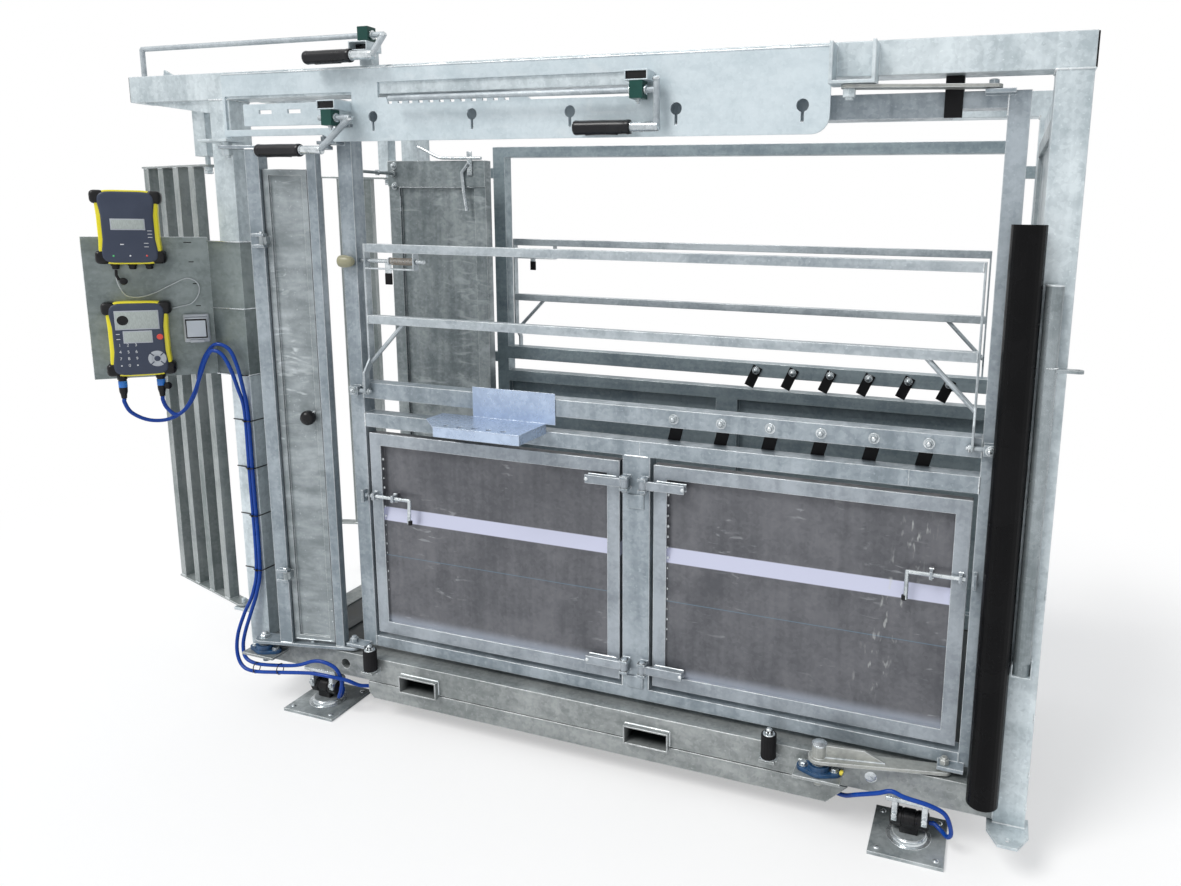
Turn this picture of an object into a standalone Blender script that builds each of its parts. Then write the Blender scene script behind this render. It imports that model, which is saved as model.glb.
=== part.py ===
"""Cattle crush with a parallelogram squeeze, modelled in metres with +Z up.

X runs along the crush, from the head end (negative) to the rear end (positive).
Y runs across it, from the operator's near side to the far side.
Sizes below are in a datum frame: X = 0 on the rear face of the near rear post,
Y = 0 on that post's near face and Z = 0 at its foot. One empty carries the datum,
so that the finished part stands on Z = 0 with its box centred on X = Y = 0.
"""

import math

import bpy
import bmesh
from mathutils import Matrix, Vector

# Clearances
GAP = 0.0003
FIT = 0.0006
LOOSE_FIT = 0.0015

# Main frame
LENGTH = 2.551
WIDTH = 1.020
POST = 0.080
POST_HEIGHT = 1.893
OVERHANG = 0.330
BASE_BOTTOM = 0.017
BASE_TOP = 0.100
BELLY_HEIGHT = 0.058
BELLY_SLIT = 0.004
BELLY_SHEET = 0.005
BELLY_REAR_INSET = 0.517
BELLY_FRONT_INSET = 0.491
FORK_POCKET_WIDTH = 0.142
FORK_POCKET_HEIGHT = 0.058
FORK_POCKET_WALL = 0.004
FORK_POCKET_LIP = 0.018
FORK_POCKET_REAR = 1.055
FORK_POCKET_PITCH = 0.800
DECK_THICKNESS = 0.030
DECK_BAR = 0.008
DECK_BAR_COUNT = 9
TIE_TUBE = 0.050
TAB_THICKNESS = 0.008
TAB_REACH = 0.085
TAB_HOLE = 0.007
TAB_HOLE_X = -0.042
TAB_HOLE_REACH = 0.060
ACCESS_HOLE = 0.0175

# Load feet
FOOT_INSET = 0.290
FOOT_PLATE = 0.200
FOOT_THICKNESS = 0.010
FOOT_DISC_RADIUS = 0.046
FOOT_DISC_HEIGHT = 0.016
FOOT_CENTRE_Y = 0.030
FLOOR_DROP = 0.120
CELL_RADIUS = 0.026
CELL_LENGTH = 0.104
CELL_BOLT = 0.008

# Squeeze linkage
ARM_LENGTH = 0.330
ARM_REST_DEG = 10.5
PIVOT_Y = -0.035
REAR_PIVOT_X = -0.535
FRONT_PIVOT_X = 0.096 - LENGTH
ARM_PLATE = 0.010
ARM_LIFT = 0.006
SHAFT_RADIUS = 0.012
PIN_RADIUS = 0.008
PIVOT_BOLT = 0.010
LINK_WIDTH = 0.040
LINK_THICKNESS = 0.008
LINK_BOTTOM = POST_HEIGHT - 0.033
BEARING_HEIGHT = 0.026
BEARING_LENGTH = 0.130
BEARING_WIDTH = 0.068
BRACKET_PLATE = 0.008
BEARING_SEAT = 0.068

# Near squeeze wall
WALL_Y = 0.045
WALL_DEPTH = 0.050
WALL_REAR_INSET = -REAR_PIVOT_X - ARM_LENGTH - 0.079
WALL_REAR_POST = 0.050
WALL_FRONT_X = FRONT_PIVOT_X + ARM_LENGTH + 0.018
WALL_FRONT_POST = 0.052
WALL_BOTTOM = 0.120
BOTTOM_RAIL = 0.037
WALL_TOP = POST_HEIGHT - 0.036
TOP_RAIL = 0.060
TOP_TUBE = 0.040
LOWER_RAIL_BOTTOM = 0.878
LOWER_RAIL = 0.045
HINGE_RAIL_BOTTOM = 0.972
HINGE_RAIL = 0.051
LUG_PLATE = 0.010
LUG_REACH = 0.018

# Doors in the near wall
MID_POST_X = -1.1125
MID_POST_WIDTH = 0.085
DOOR_EDGE_GAP = 0.011
DOOR_THICKNESS = 0.030
DOOR_FRAME = 0.040
DOOR_SETBACK = 0.0025
UPPER_SHEET_DEPTH = 0.018
LOWER_SHEET_DEPTH = 0.008
FOLD_TOP = 0.610
FOLD_BOTTOM = 0.565
HINGE_PIN = 0.006
HINGE_BARREL = 0.012
HINGE_EAR = 0.008
HINGE_BARREL_HEIGHT = 0.026
HINGE_SETOFF = 0.019
HINGE_FROM_END = 0.045
LATCH_RADIUS = 0.006
LATCH_SETOFF = 0.008
LATCH_LENGTH = 0.150
LATCH_DROP = 0.075
LATCH_HEIGHT = 0.650

# Rail gates
GATE_TUBE = 0.026
GATE_TOP_RAIL_BOTTOM = 1.433
GATE_MID_RAIL_BOTTOM = 1.211
GATE_END_GAP = 0.020
GATE_FLAT = 0.006
GATE_EYE = 0.0115
GATE_AXIS_Y = 0.033
GATE_AXIS_Z = 0.9975
GATE_BOLT = 0.007
GATE_BOLT_ENTRY = 0.014
GATE_EAR = 0.034
BRACE_RADIUS = 0.007
BRACE_RUN = 0.130
SPRING_ROD = 0.006
SPRING_HOUSING = 0.185
SPRING_HOUSING_HEIGHT = 0.052
SPRING_RADIUS = 0.0105
SPRING_WIRE = 0.0011
SPRING_TURNS = 16
SPRING_LENGTH = 0.085
SPRING_STEPS = 9

# Straps and tray
STRAP_COUNT = 6
STRAP_FIRST_X = -0.999
STRAP_PITCH = 0.139
STRAP_WIDTH = 0.036
STRAP_THICKNESS = 0.005
STRAP_LENGTH = 0.130
STRAP_SLANT_DEG = 14
STRAP_BOLT_Z = 0.997
TRAY_FRONT_X = -1.760
TRAY_WIDTH = 0.360
TRAY_REACH = 0.160
TRAY_FLOOR = 0.945
TRAY_SHEET = 0.003
TRAY_LIP = 0.028
TRAY_BACK = 0.095
TRAY_CHAMFER = 0.075
TRAY_HOLE = 0.009
TRAY_HOLE_COUNT = 5

# Top plate with rack and keyholes
PLATE_THICKNESS = 0.006
PLATE_BOTTOM = POST_HEIGHT - 0.133
PLATE_TOP = POST_HEIGHT + 0.072
PLATE_FRONT_X = 0.061 - LENGTH
PLATE_REAR_X = -0.585
PLATE_CORNER = 0.045
WINDOW_FRONT = (0.071 - LENGTH, 0.551 - LENGTH)
WINDOW_FRONT_Z = (POST_HEIGHT - 0.093, POST_HEIGHT + 0.007)
WINDOW_REAR = (-1.907, -1.113)
WINDOW_REAR_Z = (POST_HEIGHT - 0.029, POST_HEIGHT + 0.032)
TOOTH_COUNT = 12
TOOTH_FIRST_X = -1.865
TOOTH_LAST_X = -1.480
TOOTH_DEPTH = 0.018
KEYHOLE_X = (-1.927, -1.593, -1.288, -0.984, -0.653)
KEYHOLE_Z = POST_HEIGHT - 0.064
KEYHOLE_RADIUS = 0.016
KEYHOLE_SLOT = 0.004
KEYHOLE_DROP = 0.040

# Handles
ROD_RADIUS = 0.008
GRIP_RADIUS = 0.018
GRIP_LENGTH = 0.156
SOCKET_RADIUS = 0.012
SOCKET_LENGTH = 0.082
CRANK_RADIUS = 0.009
BUSH_WIDTH = 0.036
BUSH_HEIGHT = 0.044
BUSH_DEPTH = 0.036
TUBE_END_WIDTH = 0.064
TUBE_END_HEIGHT = 0.026
TUBE_END_WALL = 0.003
HANDLE_Y = -0.040
LOW_HANDLE_Y = -0.058
RACK_HANDLE_X = -1.075
RACK_TUBE_BOTTOM = POST_HEIGHT + 0.0025
RACK_ROD_END = -1.841
LOW_HANDLE_X = 0.516 - LENGTH
LOW_TUBE_BOTTOM = POST_HEIGHT - 0.0485
TOP_HANDLE_X = 0.601 - LENGTH
TOP_TUBE_LIFT = 0.037
TOP_ROD_Y = 0.012
TOP_ROD_END = -0.275 - LENGTH

# Wings, rear gate, neck panels
WING_HINGE_X = -0.089 - LENGTH
WING_HINGE_Y = 0.060
WING_LENGTH = 0.440
WING_REST_DEG = 17.0
WING_BOTTOM = 0.165
WING_TOP = POST_HEIGHT - 0.193
WING_FLAT = 0.006
WING_BAR = 0.035
WING_HALF = 0.022
WING_BAR_COUNT = 4
REAR_GATE_THICKNESS = 0.030
REAR_GATE_BOTTOM = 0.150
REAR_GATE_TOP = POST_HEIGHT - 0.093
REAR_GATE_FRAME = 0.040
REAR_GATE_NEAR_GAP = 0.006
REAR_HINGE_SETOFF = 0.020
NECK_POST = 0.045
NECK_POST_REACH = 0.095
NECK_EDGE = 0.030
NECK_EDGE_REACH = 0.286
NECK_TOP = POST_HEIGHT - 0.153
NECK_DOOR_THICKNESS = 0.024
NECK_KNOB_Z = 0.905
KNOB_RADIUS = 0.022
FAR_PANEL_X = (0.051 - LENGTH, 0.495 - LENGTH)
FAR_PANEL_Y = WIDTH - 0.215
FAR_PANEL_DEPTH = 0.040
FAR_PANEL_TOP = POST_HEIGHT - 0.137
FAR_PANEL_BOX = 0.099
NECK_FAR_SETOFF = 0.026

# Rear post fittings
SLEEVE_RADIUS = 0.040
SLEEVE_WALL = 0.004
SLEEVE_X = -0.110
SLEEVE_BOTTOM = 0.085
SLEEVE_TOP = 1.550
LEVER_RADIUS = 0.0205
LEVER_WALL = 0.003
LEVER_X = -0.044
LEVER_Y = -0.030
LEVER_BOTTOM = 0.452
LEVER_TOP = 1.415
LEVER_TAB_Z = 1.218
LEVER_TAB_REACH = 0.078
CUP_PLATE = 0.003
BUMPER_RADIUS = 0.022
BUMPER_HEIGHT = 0.070
BUMPER_SEAT = 0.070
BUMPER_X = (0.521 - LENGTH, -0.680)

# Unit panel, turned toward the operator
PANEL_SHEET = 0.003
PANEL_FOLD_X = -0.052 - LENGTH
PANEL_TURN_DEG = 45.0
PANEL_LENGTH = 0.343
PANEL_BOTTOM = 1.020
PANEL_TOP = 1.467
PANEL_SLIT_Z = 1.240
UNIT_WIDTH = 0.190
UNIT_DEPTH = 0.062
UNIT_CENTRE = 0.208
READER_BOTTOM = 1.382
READER_HEIGHT = 0.228
SCALE_BOTTOM = 1.030
SCALE_HEIGHT = 0.238
SOCKET_CENTRE = 0.049
SOCKET_WIDTH = 0.074
SOCKET_BOTTOM = 1.130
SOCKET_HEIGHT = 0.090
SOCKET_DEPTH = 0.038
PLUG_RADIUS = 0.011
PLUG_LENGTH = 0.070
PLUG_OFFSETS = (0.058, -0.047)
PLUG_DEPTH = 0.030

# Cables
CABLE_RADIUS = 0.0060
LEAD_RADIUS = 0.0020
ROUTE_TURN = 0.45

COLOURS = {
    "zinc": (0.62, 0.65, 0.67, 0.45, 0.9),
    "zinc_dark": (0.38, 0.42, 0.43, 0.55, 0.8),
    "black_rubber": (0.02, 0.02, 0.02, 0.8, 0.0),
    "black_plastic": (0.015, 0.015, 0.015, 0.4, 0.0),
    "green_plastic": (0.02, 0.14, 0.11, 0.45, 0.0),
    "blue_casting": (0.02, 0.07, 0.16, 0.45, 0.1),
    "blue_cable": (0.01, 0.05, 0.40, 0.4, 0.0),
    "grey_case": (0.14, 0.16, 0.19, 0.5, 0.0),
    "light_grey": (0.55, 0.57, 0.60, 0.5, 0.0),
    "spring_steel": (0.45, 0.42, 0.38, 0.35, 0.9),
    "deck": (0.10, 0.11, 0.11, 0.85, 0.0),
}

FAR_Y = WIDTH - POST
FLOOR = -FLOOR_DROP
FRONT_POST = (-LENGTH, -LENGTH + POST)
REAR_POST = (-POST, 0.0)
NEAR = (0.0, POST)
FAR = (FAR_Y, WIDTH)
BEAM = (POST_HEIGHT, POST_HEIGHT + POST)
ARM_REST = math.radians(ARM_REST_DEG)
ARM_VECTOR = Vector((math.cos(ARM_REST), math.sin(ARM_REST), 0.0)) * ARM_LENGTH
REAR_PIVOT = Vector((REAR_PIVOT_X, PIVOT_Y, 0.0))
FRONT_PIVOT = Vector((FRONT_PIVOT_X, PIVOT_Y, 0.0))
REAR_PIN = REAR_PIVOT + ARM_VECTOR
FRONT_PIN = FRONT_PIVOT + ARM_VECTOR
WALL_REAR = (-WALL_REAR_INSET - WALL_REAR_POST, -WALL_REAR_INSET)
WALL_FRONT = (WALL_FRONT_X, WALL_FRONT_X + WALL_FRONT_POST)
WALL_BAY = (WALL_FRONT[1], WALL_REAR[0])
WALL = (WALL_Y, WALL_Y + WALL_DEPTH)
MID_POST = (MID_POST_X - MID_POST_WIDTH / 2, MID_POST_X + MID_POST_WIDTH / 2)
ARM_BOTTOM = BASE_TOP + ARM_LIFT
ARM_TOP = ARM_BOTTOM + ARM_PLATE
MIRROR = Matrix.Translation((0, WIDTH, 0)) @ Matrix.Scale(-1, 4, (0, 1, 0))
PANEL_TURN = math.radians(PANEL_TURN_DEG)
WING_LEAN = math.radians(WING_REST_DEG)
PART_FRONT = WING_HINGE_X - WING_LENGTH * math.cos(WING_LEAN) - WING_HALF * math.sin(WING_LEAN)
PART_REAR = LEVER_X + LEVER_TAB_REACH
CASE_REACH = UNIT_CENTRE + UNIT_WIDTH / 2
CASE_FRONT = PANEL_SHEET / 2 + GAP + UNIT_DEPTH
PART_NEAR = -(GAP + PANEL_SHEET + CASE_REACH * math.sin(PANEL_TURN) + CASE_FRONT * math.cos(PANEL_TURN))
PART_FAR = WIDTH + TAB_REACH
DATUM = Vector((-(PART_FRONT + PART_REAR) / 2, -(PART_NEAR + PART_FAR) / 2, FLOOR_DROP))


def clear_scene():
    """Remove every object, so that the script starts from nothing."""
    for item in list(bpy.data.objects):
        bpy.data.objects.remove(item, do_unlink=True)


clear_scene()
PARTS = bpy.data.collections.new("cattle_crush")
TOOLS = bpy.data.collections.new("shape_tools")
bpy.context.scene.collection.children.link(PARTS)
bpy.context.scene.collection.children.link(TOOLS)


def shade(name):
    """Return the Principled material of one finish."""
    found = bpy.data.materials.get(name)
    if found:
        return found
    red, green, blue, rough, metal = COLOURS[name]
    material = bpy.data.materials.new(name)
    material.use_nodes = True
    surface = material.node_tree.nodes["Principled BSDF"]
    surface.inputs["Base Color"].default_value = (red, green, blue, 1.0)
    surface.inputs["Roughness"].default_value = rough
    surface.inputs["Metallic"].default_value = metal
    return material


def frame(name, place, parent=None):
    """Add an empty at a datum position; it carries the nodes of one body."""
    empty = bpy.data.objects.new(name, None)
    PARTS.objects.link(empty)
    empty["place"] = tuple(place)
    if parent is None:
        empty.location = Vector(place)
    else:
        empty.parent = parent
        empty.location = Vector(place) - Vector(parent["place"])
    return empty


def tool(bm, name="shape"):
    """Turn a bmesh into a working object in the tools collection."""
    mesh = bpy.data.meshes.new(name)
    bmesh.ops.recalc_face_normals(bm, faces=bm.faces)
    bm.to_mesh(mesh)
    bm.free()
    item = bpy.data.objects.new(name, mesh)
    TOOLS.objects.link(item)
    return item


def block(x, y, z):
    """Box between two X, two Y and two Z faces."""
    bm = bmesh.new()
    centre = Vector(((x[0] + x[1]) / 2, (y[0] + y[1]) / 2, (z[0] + z[1]) / 2))
    size = Vector((abs(x[1] - x[0]), abs(y[1] - y[0]), abs(z[1] - z[0])))
    bmesh.ops.create_cube(bm, size=1.0, matrix=Matrix.LocRotScale(centre, None, size))
    return tool(bm)


def rod(start, end, radius, sides=12, end_radius=None):
    """Cylinder or cone from one point to another."""
    start, end = Vector(start), Vector(end)
    along = end - start
    turn = along.to_track_quat("Z", "Y")
    if abs(along.x) < 1e-9 and abs(along.y) < 1e-9:
        turn = Matrix.Identity(3).to_quaternion()
        start, end = sorted((start, end), key=lambda point: point.z)
    place = Matrix.LocRotScale((start + end) / 2, turn, None)
    last = radius if end_radius is None else end_radius
    bm = bmesh.new()
    bmesh.ops.create_cone(bm, cap_ends=True, segments=sides, radius1=radius,
                          radius2=last, depth=along.length, matrix=place)
    return tool(bm)


def arc(centre, radius, start_deg, end_deg, steps):
    """Points on an arc in the outline's plane."""
    spread = math.radians(end_deg - start_deg)
    first = math.radians(start_deg)
    return [(centre[0] + radius * math.cos(first + spread * i / steps),
             centre[1] + radius * math.sin(first + spread * i / steps))
            for i in range(steps + 1)]


def circle(centre, radius, sides=12):
    """Closed ring of points in the outline's plane."""
    return arc(centre, radius, 0, 360, sides)[:-1]


def outline(loops, thickness, stand=None):
    """Flat plate from closed loops; its mid-plane is the curve's own plane.

    stand is the matrix that sets the plate up; a loop inside another is a hole.
    """
    curve = bpy.data.curves.new("outline", "CURVE")
    curve.dimensions = "2D"
    curve.fill_mode = "BOTH"
    curve.extrude = thickness / 2
    for loop in loops:
        spline = curve.splines.new("POLY")
        spline.points.add(len(loop) - 1)
        for point, (u, v) in zip(spline.points, loop):
            point.co = (u, v, 0.0, 1.0)
        spline.use_cyclic_u = True
    return bake(curve, stand or Matrix.Identity(4))


def bake(curve, place):
    """Make a curve's welded mesh and drop the curve."""
    item = bpy.data.objects.new("curve", curve)
    TOOLS.objects.link(item)
    item.matrix_world = place
    bpy.context.view_layer.update()
    graph = bpy.context.evaluated_depsgraph_get()
    mesh = bpy.data.meshes.new_from_object(item.evaluated_get(graph))
    bm = bmesh.new()
    bm.from_mesh(mesh)
    bm.transform(item.matrix_world)
    bmesh.ops.remove_doubles(bm, verts=bm.verts, dist=1e-6)
    bpy.data.objects.remove(item, do_unlink=True)
    return tool(bm)


def flat_xy(loops, z):
    """Plate lying flat between two heights; loops are (x, y)."""
    lift = Matrix.Translation((0, 0, (z[0] + z[1]) / 2))
    return outline(loops, z[1] - z[0], lift)


def flat_xz(loops, y):
    """Plate standing along X between two Y faces; loops are (x, z)."""
    stand = Matrix.Translation((0, (y[0] + y[1]) / 2, 0)) @ Matrix.Rotation(math.pi / 2, 4, "X")
    return outline(loops, y[1] - y[0], stand)


def flat_yz(loops, x):
    """Prism between two X faces; loops are (y, z)."""
    turn = Matrix(((0, 0, 1, 0), (1, 0, 0, 0), (0, 1, 0, 0), (0, 0, 0, 1)))
    return outline(loops, x[1] - x[0], Matrix.Translation(((x[0] + x[1]) / 2, 0, 0)) @ turn)


def tube(points, radius, resolution=2):
    """Round bar along a list of points."""
    curve = bpy.data.curves.new("tube", "CURVE")
    curve.dimensions = "3D"
    curve.bevel_depth = radius
    curve.bevel_resolution = resolution
    curve.use_fill_caps = True
    spline = curve.splines.new("POLY")
    spline.points.add(len(points) - 1)
    for target, point in zip(spline.points, points):
        target.co = (*point, 1.0)
    return bake(curve, Matrix.Identity(4))


def smooth_route(points):
    """Smooth curve through a route's own points, with more points where it turns more."""
    route = [Vector(point) for point in points]
    padded = [route[0] * 2 - route[1], *route, route[-1] * 2 - route[-2]]
    result = []
    for a, b, c, d in zip(padded, padded[1:], padded[2:], padded[3:]):
        turn = (b - a).angle(c - b) + (c - b).angle(d - c)
        steps = max(1, round(turn / ROUTE_TURN))
        for step in range(steps):
            t = step / steps
            result.append(0.5 * (2 * b + (c - a) * t + (2 * a - 5 * b + 4 * c - d) * t ** 2
                                 + (3 * b - a - 3 * c + d) * t ** 3))
    result.append(route[-1])
    return result


def combine(pieces, cuts=(), solver="EXACT"):
    """Boolean union of pieces, then the cuts taken out, as one mesh."""
    base = pieces[0]
    for operand in pieces[1:]:
        step = base.modifiers.new("join", "BOOLEAN")
        step.operation = "UNION"
        step.solver = solver
        step.object = operand
    for operand in cuts:
        step = base.modifiers.new("cut", "BOOLEAN")
        step.operation = "DIFFERENCE"
        step.solver = solver
        step.object = operand
    bpy.context.view_layer.update()
    graph = bpy.context.evaluated_depsgraph_get()
    mesh = bpy.data.meshes.new_from_object(base.evaluated_get(graph))
    for item in (*pieces, *cuts):
        bpy.data.objects.remove(item, do_unlink=True)
    return mesh


def node(name, body, finish, pieces, cuts=(), place=None, smooth_deg=35, solver="EXACT"):
    """Make one named object from fused pieces, with its origin on its body's axis."""
    mesh = combine(list(pieces), list(cuts), solver)
    bm = bmesh.new()
    bm.from_mesh(mesh)
    if place is not None:
        bm.transform(place)
        if place.determinant() < 0:
            bmesh.ops.reverse_faces(bm, faces=bm.faces)
    bmesh.ops.remove_doubles(bm, verts=bm.verts, dist=2e-6)
    bmesh.ops.dissolve_limit(bm, angle_limit=math.radians(0.05),
                             verts=bm.verts, edges=bm.edges)
    bm.transform(Matrix.Translation(-Vector(body["place"])))
    bm.to_mesh(mesh)
    bm.free()
    mesh.name = name
    mesh.materials.clear()
    mesh.materials.append(shade(finish))
    mesh.shade_smooth()
    mesh.set_sharp_from_angle(angle=math.radians(smooth_deg))
    item = bpy.data.objects.new(name, mesh)
    PARTS.objects.link(item)
    item.parent = body
    return item


def mid(pair):
    """Middle of a pair."""
    return (pair[0] + pair[1]) / 2


def around(centre, width):
    """Pair of faces either side of a centre."""
    return (centre - width / 2, centre + width / 2)


def hex_head(x, y, z, radius):
    """Hexagon head or nut on a vertical bolt."""
    return rod((x, y, z[0]), (x, y, z[1]), radius, sides=6)


def link_plate(length, widths, z, holes):
    """Plate along +X from a pivot at the origin, with a round end at each pin."""
    loop = arc((0, 0), widths[0] / 2, 90, 270, 8) + arc((length, 0), widths[1] / 2, -90, 90, 8)
    rings = [circle((place, 0), radius, 16) for place, radius in holes]
    return flat_xy([loop, *rings], z)


def arm_place(pivot):
    """Matrix that sets a piece drawn along +X onto an arm at rest."""
    return Matrix.Translation(pivot) @ Matrix.Rotation(ARM_REST, 4, "Z")


def post_pieces():
    """Two posts, the top beam and the plates that carry the wing, drawn on the near side."""
    wing_y = around(WING_HINGE_Y, TIE_TUBE - FIT)
    drop_bottom = WING_TOP + TIE_TUBE / 2
    wing_x = around(WING_HINGE_X, TIE_TUBE)
    taper = [(FRONT_POST[0] + GAP, POST_HEIGHT - 0.040), (FRONT_POST[0] + GAP, POST_HEIGHT + 0.010),
             (FRONT_POST[0] - OVERHANG * 0.85, POST_HEIGHT + 0.010),
             (FRONT_POST[0] - OVERHANG * 0.85, POST_HEIGHT - 0.004)]
    lug_z = (WING_BOTTOM - 0.014, WING_BOTTOM - 0.004)
    return [
        block(REAR_POST, NEAR, (0, POST_HEIGHT + 0.002)),
        block(FRONT_POST, NEAR, (BASE_BOTTOM, POST_HEIGHT + 0.002)),
        block((FRONT_POST[0] - OVERHANG, 0), NEAR, BEAM),
        flat_xz([taper], around(POST / 2, POST - 0.020)),
        block(wing_x, wing_y, (drop_bottom, POST_HEIGHT + 0.002)),
        rod((WING_HINGE_X, WING_HINGE_Y, WING_TOP - WING_FLAT - 0.018),
            (WING_HINGE_X, WING_HINGE_Y, drop_bottom + 0.002), PIN_RADIUS),
        hex_head(WING_HINGE_X, WING_HINGE_Y,
                 (WING_TOP - WING_FLAT - 0.014, WING_TOP - WING_FLAT - GAP), 0.013),
        block((WING_HINGE_X - 0.022, FRONT_POST[0] + 0.002), wing_y, lug_z),
        rod((WING_HINGE_X, WING_HINGE_Y, lug_z[0] + 0.002),
            (WING_HINGE_X, WING_HINGE_Y, WING_BOTTOM + 0.022), PIN_RADIUS),
        rod((WING_HINGE_X, WING_HINGE_Y, lug_z[0] + 0.002),
            (WING_HINGE_X, WING_HINGE_Y, WING_BOTTOM - GAP), 0.014),
    ]


def foot_tab(holes):
    """Plate under the rear post, with a lashing hole in its point."""
    loop = [(-POST - 0.014, POST / 2), (0.010, POST / 2), (0.010, -0.030),
            (-0.018, -TAB_REACH), (-0.066, -TAB_REACH), (-POST - 0.014, -0.030)]
    return flat_xy([loop, *holes], (0, TAB_THICKNESS))


def build_frames(root):
    """Base frame, deck, gantries and the plate that joins them."""
    belly = (-LENGTH + BELLY_FRONT_INSET, -BELLY_REAR_INSET)
    belly_top = BASE_BOTTOM - BELLY_SLIT
    belly_z = (belly_top - BELLY_HEIGHT, belly_top)
    belly_loop = [(belly[0], belly_z[1]), (belly[0], belly_z[0] + 0.020),
                  (belly[0] + 0.020, belly_z[0]), (belly[1], belly_z[0]),
                  (belly[1] + BELLY_HEIGHT, belly_z[1])]
    bay = (FRONT_POST[1] + GAP, REAR_POST[0] - GAP)
    inner_y = (POST / 2, WIDTH - POST / 2)
    beam_z = (BASE_BOTTOM, BASE_TOP)
    pocket_z = (BASE_BOTTOM - 0.010, BASE_BOTTOM - 0.010 + FORK_POCKET_HEIGHT)
    pocket_y = (-FORK_POCKET_LIP, WIDTH + FORK_POCKET_LIP)
    pocket_x = [around(-FORK_POCKET_REAR - i * FORK_POCKET_PITCH, FORK_POCKET_WIDTH)
                for i in range(2)]
    pieces = [
        block(bay, NEAR, beam_z),
        block(bay, FAR, beam_z),
        block((bay[0], bay[0] + POST), inner_y, beam_z),
        block((bay[1] - POST, bay[1]), inner_y, beam_z),
        flat_xz([belly_loop], NEAR),
        flat_xz([belly_loop], FAR),
    ]
    cuts = []
    cuts.append(block((belly[0] - 0.01, belly[1] + BELLY_HEIGHT + 0.01),
                      (BELLY_SHEET, POST - BELLY_SHEET), (belly_z[0] - 0.01, belly_z[1] - BELLY_SHEET)))
    for x in pocket_x:
        wall = FORK_POCKET_WALL
        pieces.append(block(x, pocket_y, pocket_z))
        cuts.append(block((x[0] + wall, x[1] - wall), (pocket_y[0] - 0.01, pocket_y[1] + 0.01),
                          (pocket_z[0] + wall, pocket_z[1] - wall)))
    bracket_z = (BEARING_SEAT - BRACKET_PLATE, BEARING_SEAT)
    for pivot in (REAR_PIVOT, FRONT_PIVOT):
        bracket_x = around(pivot.x, BEARING_LENGTH)
        pieces.append(block(bracket_x, (pivot.y - BEARING_WIDTH / 2 - 0.006, -GAP), bracket_z))
        pieces.append(block((max(bracket_x[0], bay[0]) + 0.002, bracket_x[1] - 0.002),
                            (-GAP - 0.002, 0.002), bracket_z))
        cuts.append(rod((pivot.x, pivot.y, bracket_z[0] - 0.01),
                        (pivot.x, pivot.y, bracket_z[1] + 0.01), SHAFT_RADIUS + LOOSE_FIT, 16))
    seat_z = (BUMPER_SEAT - BRACKET_PLATE, BUMPER_SEAT)
    for x in BUMPER_X:
        pieces.append(block(around(x, 2 * BUMPER_RADIUS), (-2 * BUMPER_RADIUS, 0.002), seat_z))
    access = mid((FRONT_PIN.x, BUMPER_X[0])) - 0.070
    cuts.append(rod((access, -0.01, mid(beam_z)), (access, POST + 0.01, mid(beam_z)),
                    ACCESS_HOLE, 16))
    node("base_frame", root, "zinc", pieces, cuts)

    deck_x = (bay[0] + POST + GAP, bay[1] - POST - GAP)
    deck_y = (POST + GAP, FAR_Y - GAP)
    deck_bottom = pocket_z[1] + GAP
    deck_top = deck_bottom + DECK_THICKNESS
    deck = [block(deck_x, deck_y, (deck_bottom, deck_top))]
    bar_y = (deck_y[0] + 0.060, deck_y[1] - 0.120)
    pitch = (deck_x[1] - deck_x[0]) / DECK_BAR_COUNT
    for i in range(DECK_BAR_COUNT):
        deck.append(block(around(deck_x[0] + (i + 0.5) * pitch, 0.030), bar_y,
                          (deck_top - 0.002, deck_top + DECK_BAR)))
    node("floor_deck", root, "deck", deck)

    node("gantry_near", root, "zinc", post_pieces() + near_fittings(),
         near_fitting_cuts())
    far_side = post_pieces() + [foot_tab([circle((TAB_HOLE_X, -TAB_HOLE_REACH), TAB_HOLE, 32)])]
    hinge_y = POST + REAR_HINGE_SETOFF
    hinge_x = -POST + REAR_GATE_THICKNESS / 2 + 0.002
    for z in rear_hinge_heights():
        for low in (z - HINGE_EAR, z + HINGE_BARREL_HEIGHT):
            far_side.append(block(around(hinge_x, 2 * HINGE_BARREL),
                                  (POST - 0.002, hinge_y + HINGE_BARREL), (low, low + HINGE_EAR)))
        far_side.append(rod((hinge_x, hinge_y, z - HINGE_EAR / 2),
                            (hinge_x, hinge_y, z + HINGE_BARREL_HEIGHT + HINGE_EAR / 2),
                            HINGE_PIN))
    neck_y = POST + NECK_FAR_SETOFF
    for low, high in neck_knuckles():
        far_side.append(block(around(FAR_PANEL_X[0], 0.028), (POST - 0.002, neck_y + 0.014),
                              (low - 0.010 - GAP, low - GAP)))
        far_side.append(rod((FAR_PANEL_X[0], neck_y, low - 0.006),
                            (FAR_PANEL_X[0], neck_y, high + 0.008), HINGE_PIN))
    tie_y = (POST - 0.002, FAR_Y - GAP)
    rear_tie = block(around(mid(REAR_POST), TIE_TUBE), tie_y,
                     (REAR_GATE_TOP + 0.035, REAR_GATE_TOP + 0.035 + TIE_TUBE))
    front_tie = block(around(mid(FRONT_POST), TIE_TUBE), tie_y, around(mid(BEAM), TIE_TUBE))
    node("gantry_far", root, "zinc", far_side + [rear_tie, front_tie], place=MIRROR)


def rear_hinge_heights():
    """Heights of the rear gate's barrels."""
    return (REAR_GATE_BOTTOM + 0.150, REAR_GATE_TOP - 0.180)


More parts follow.
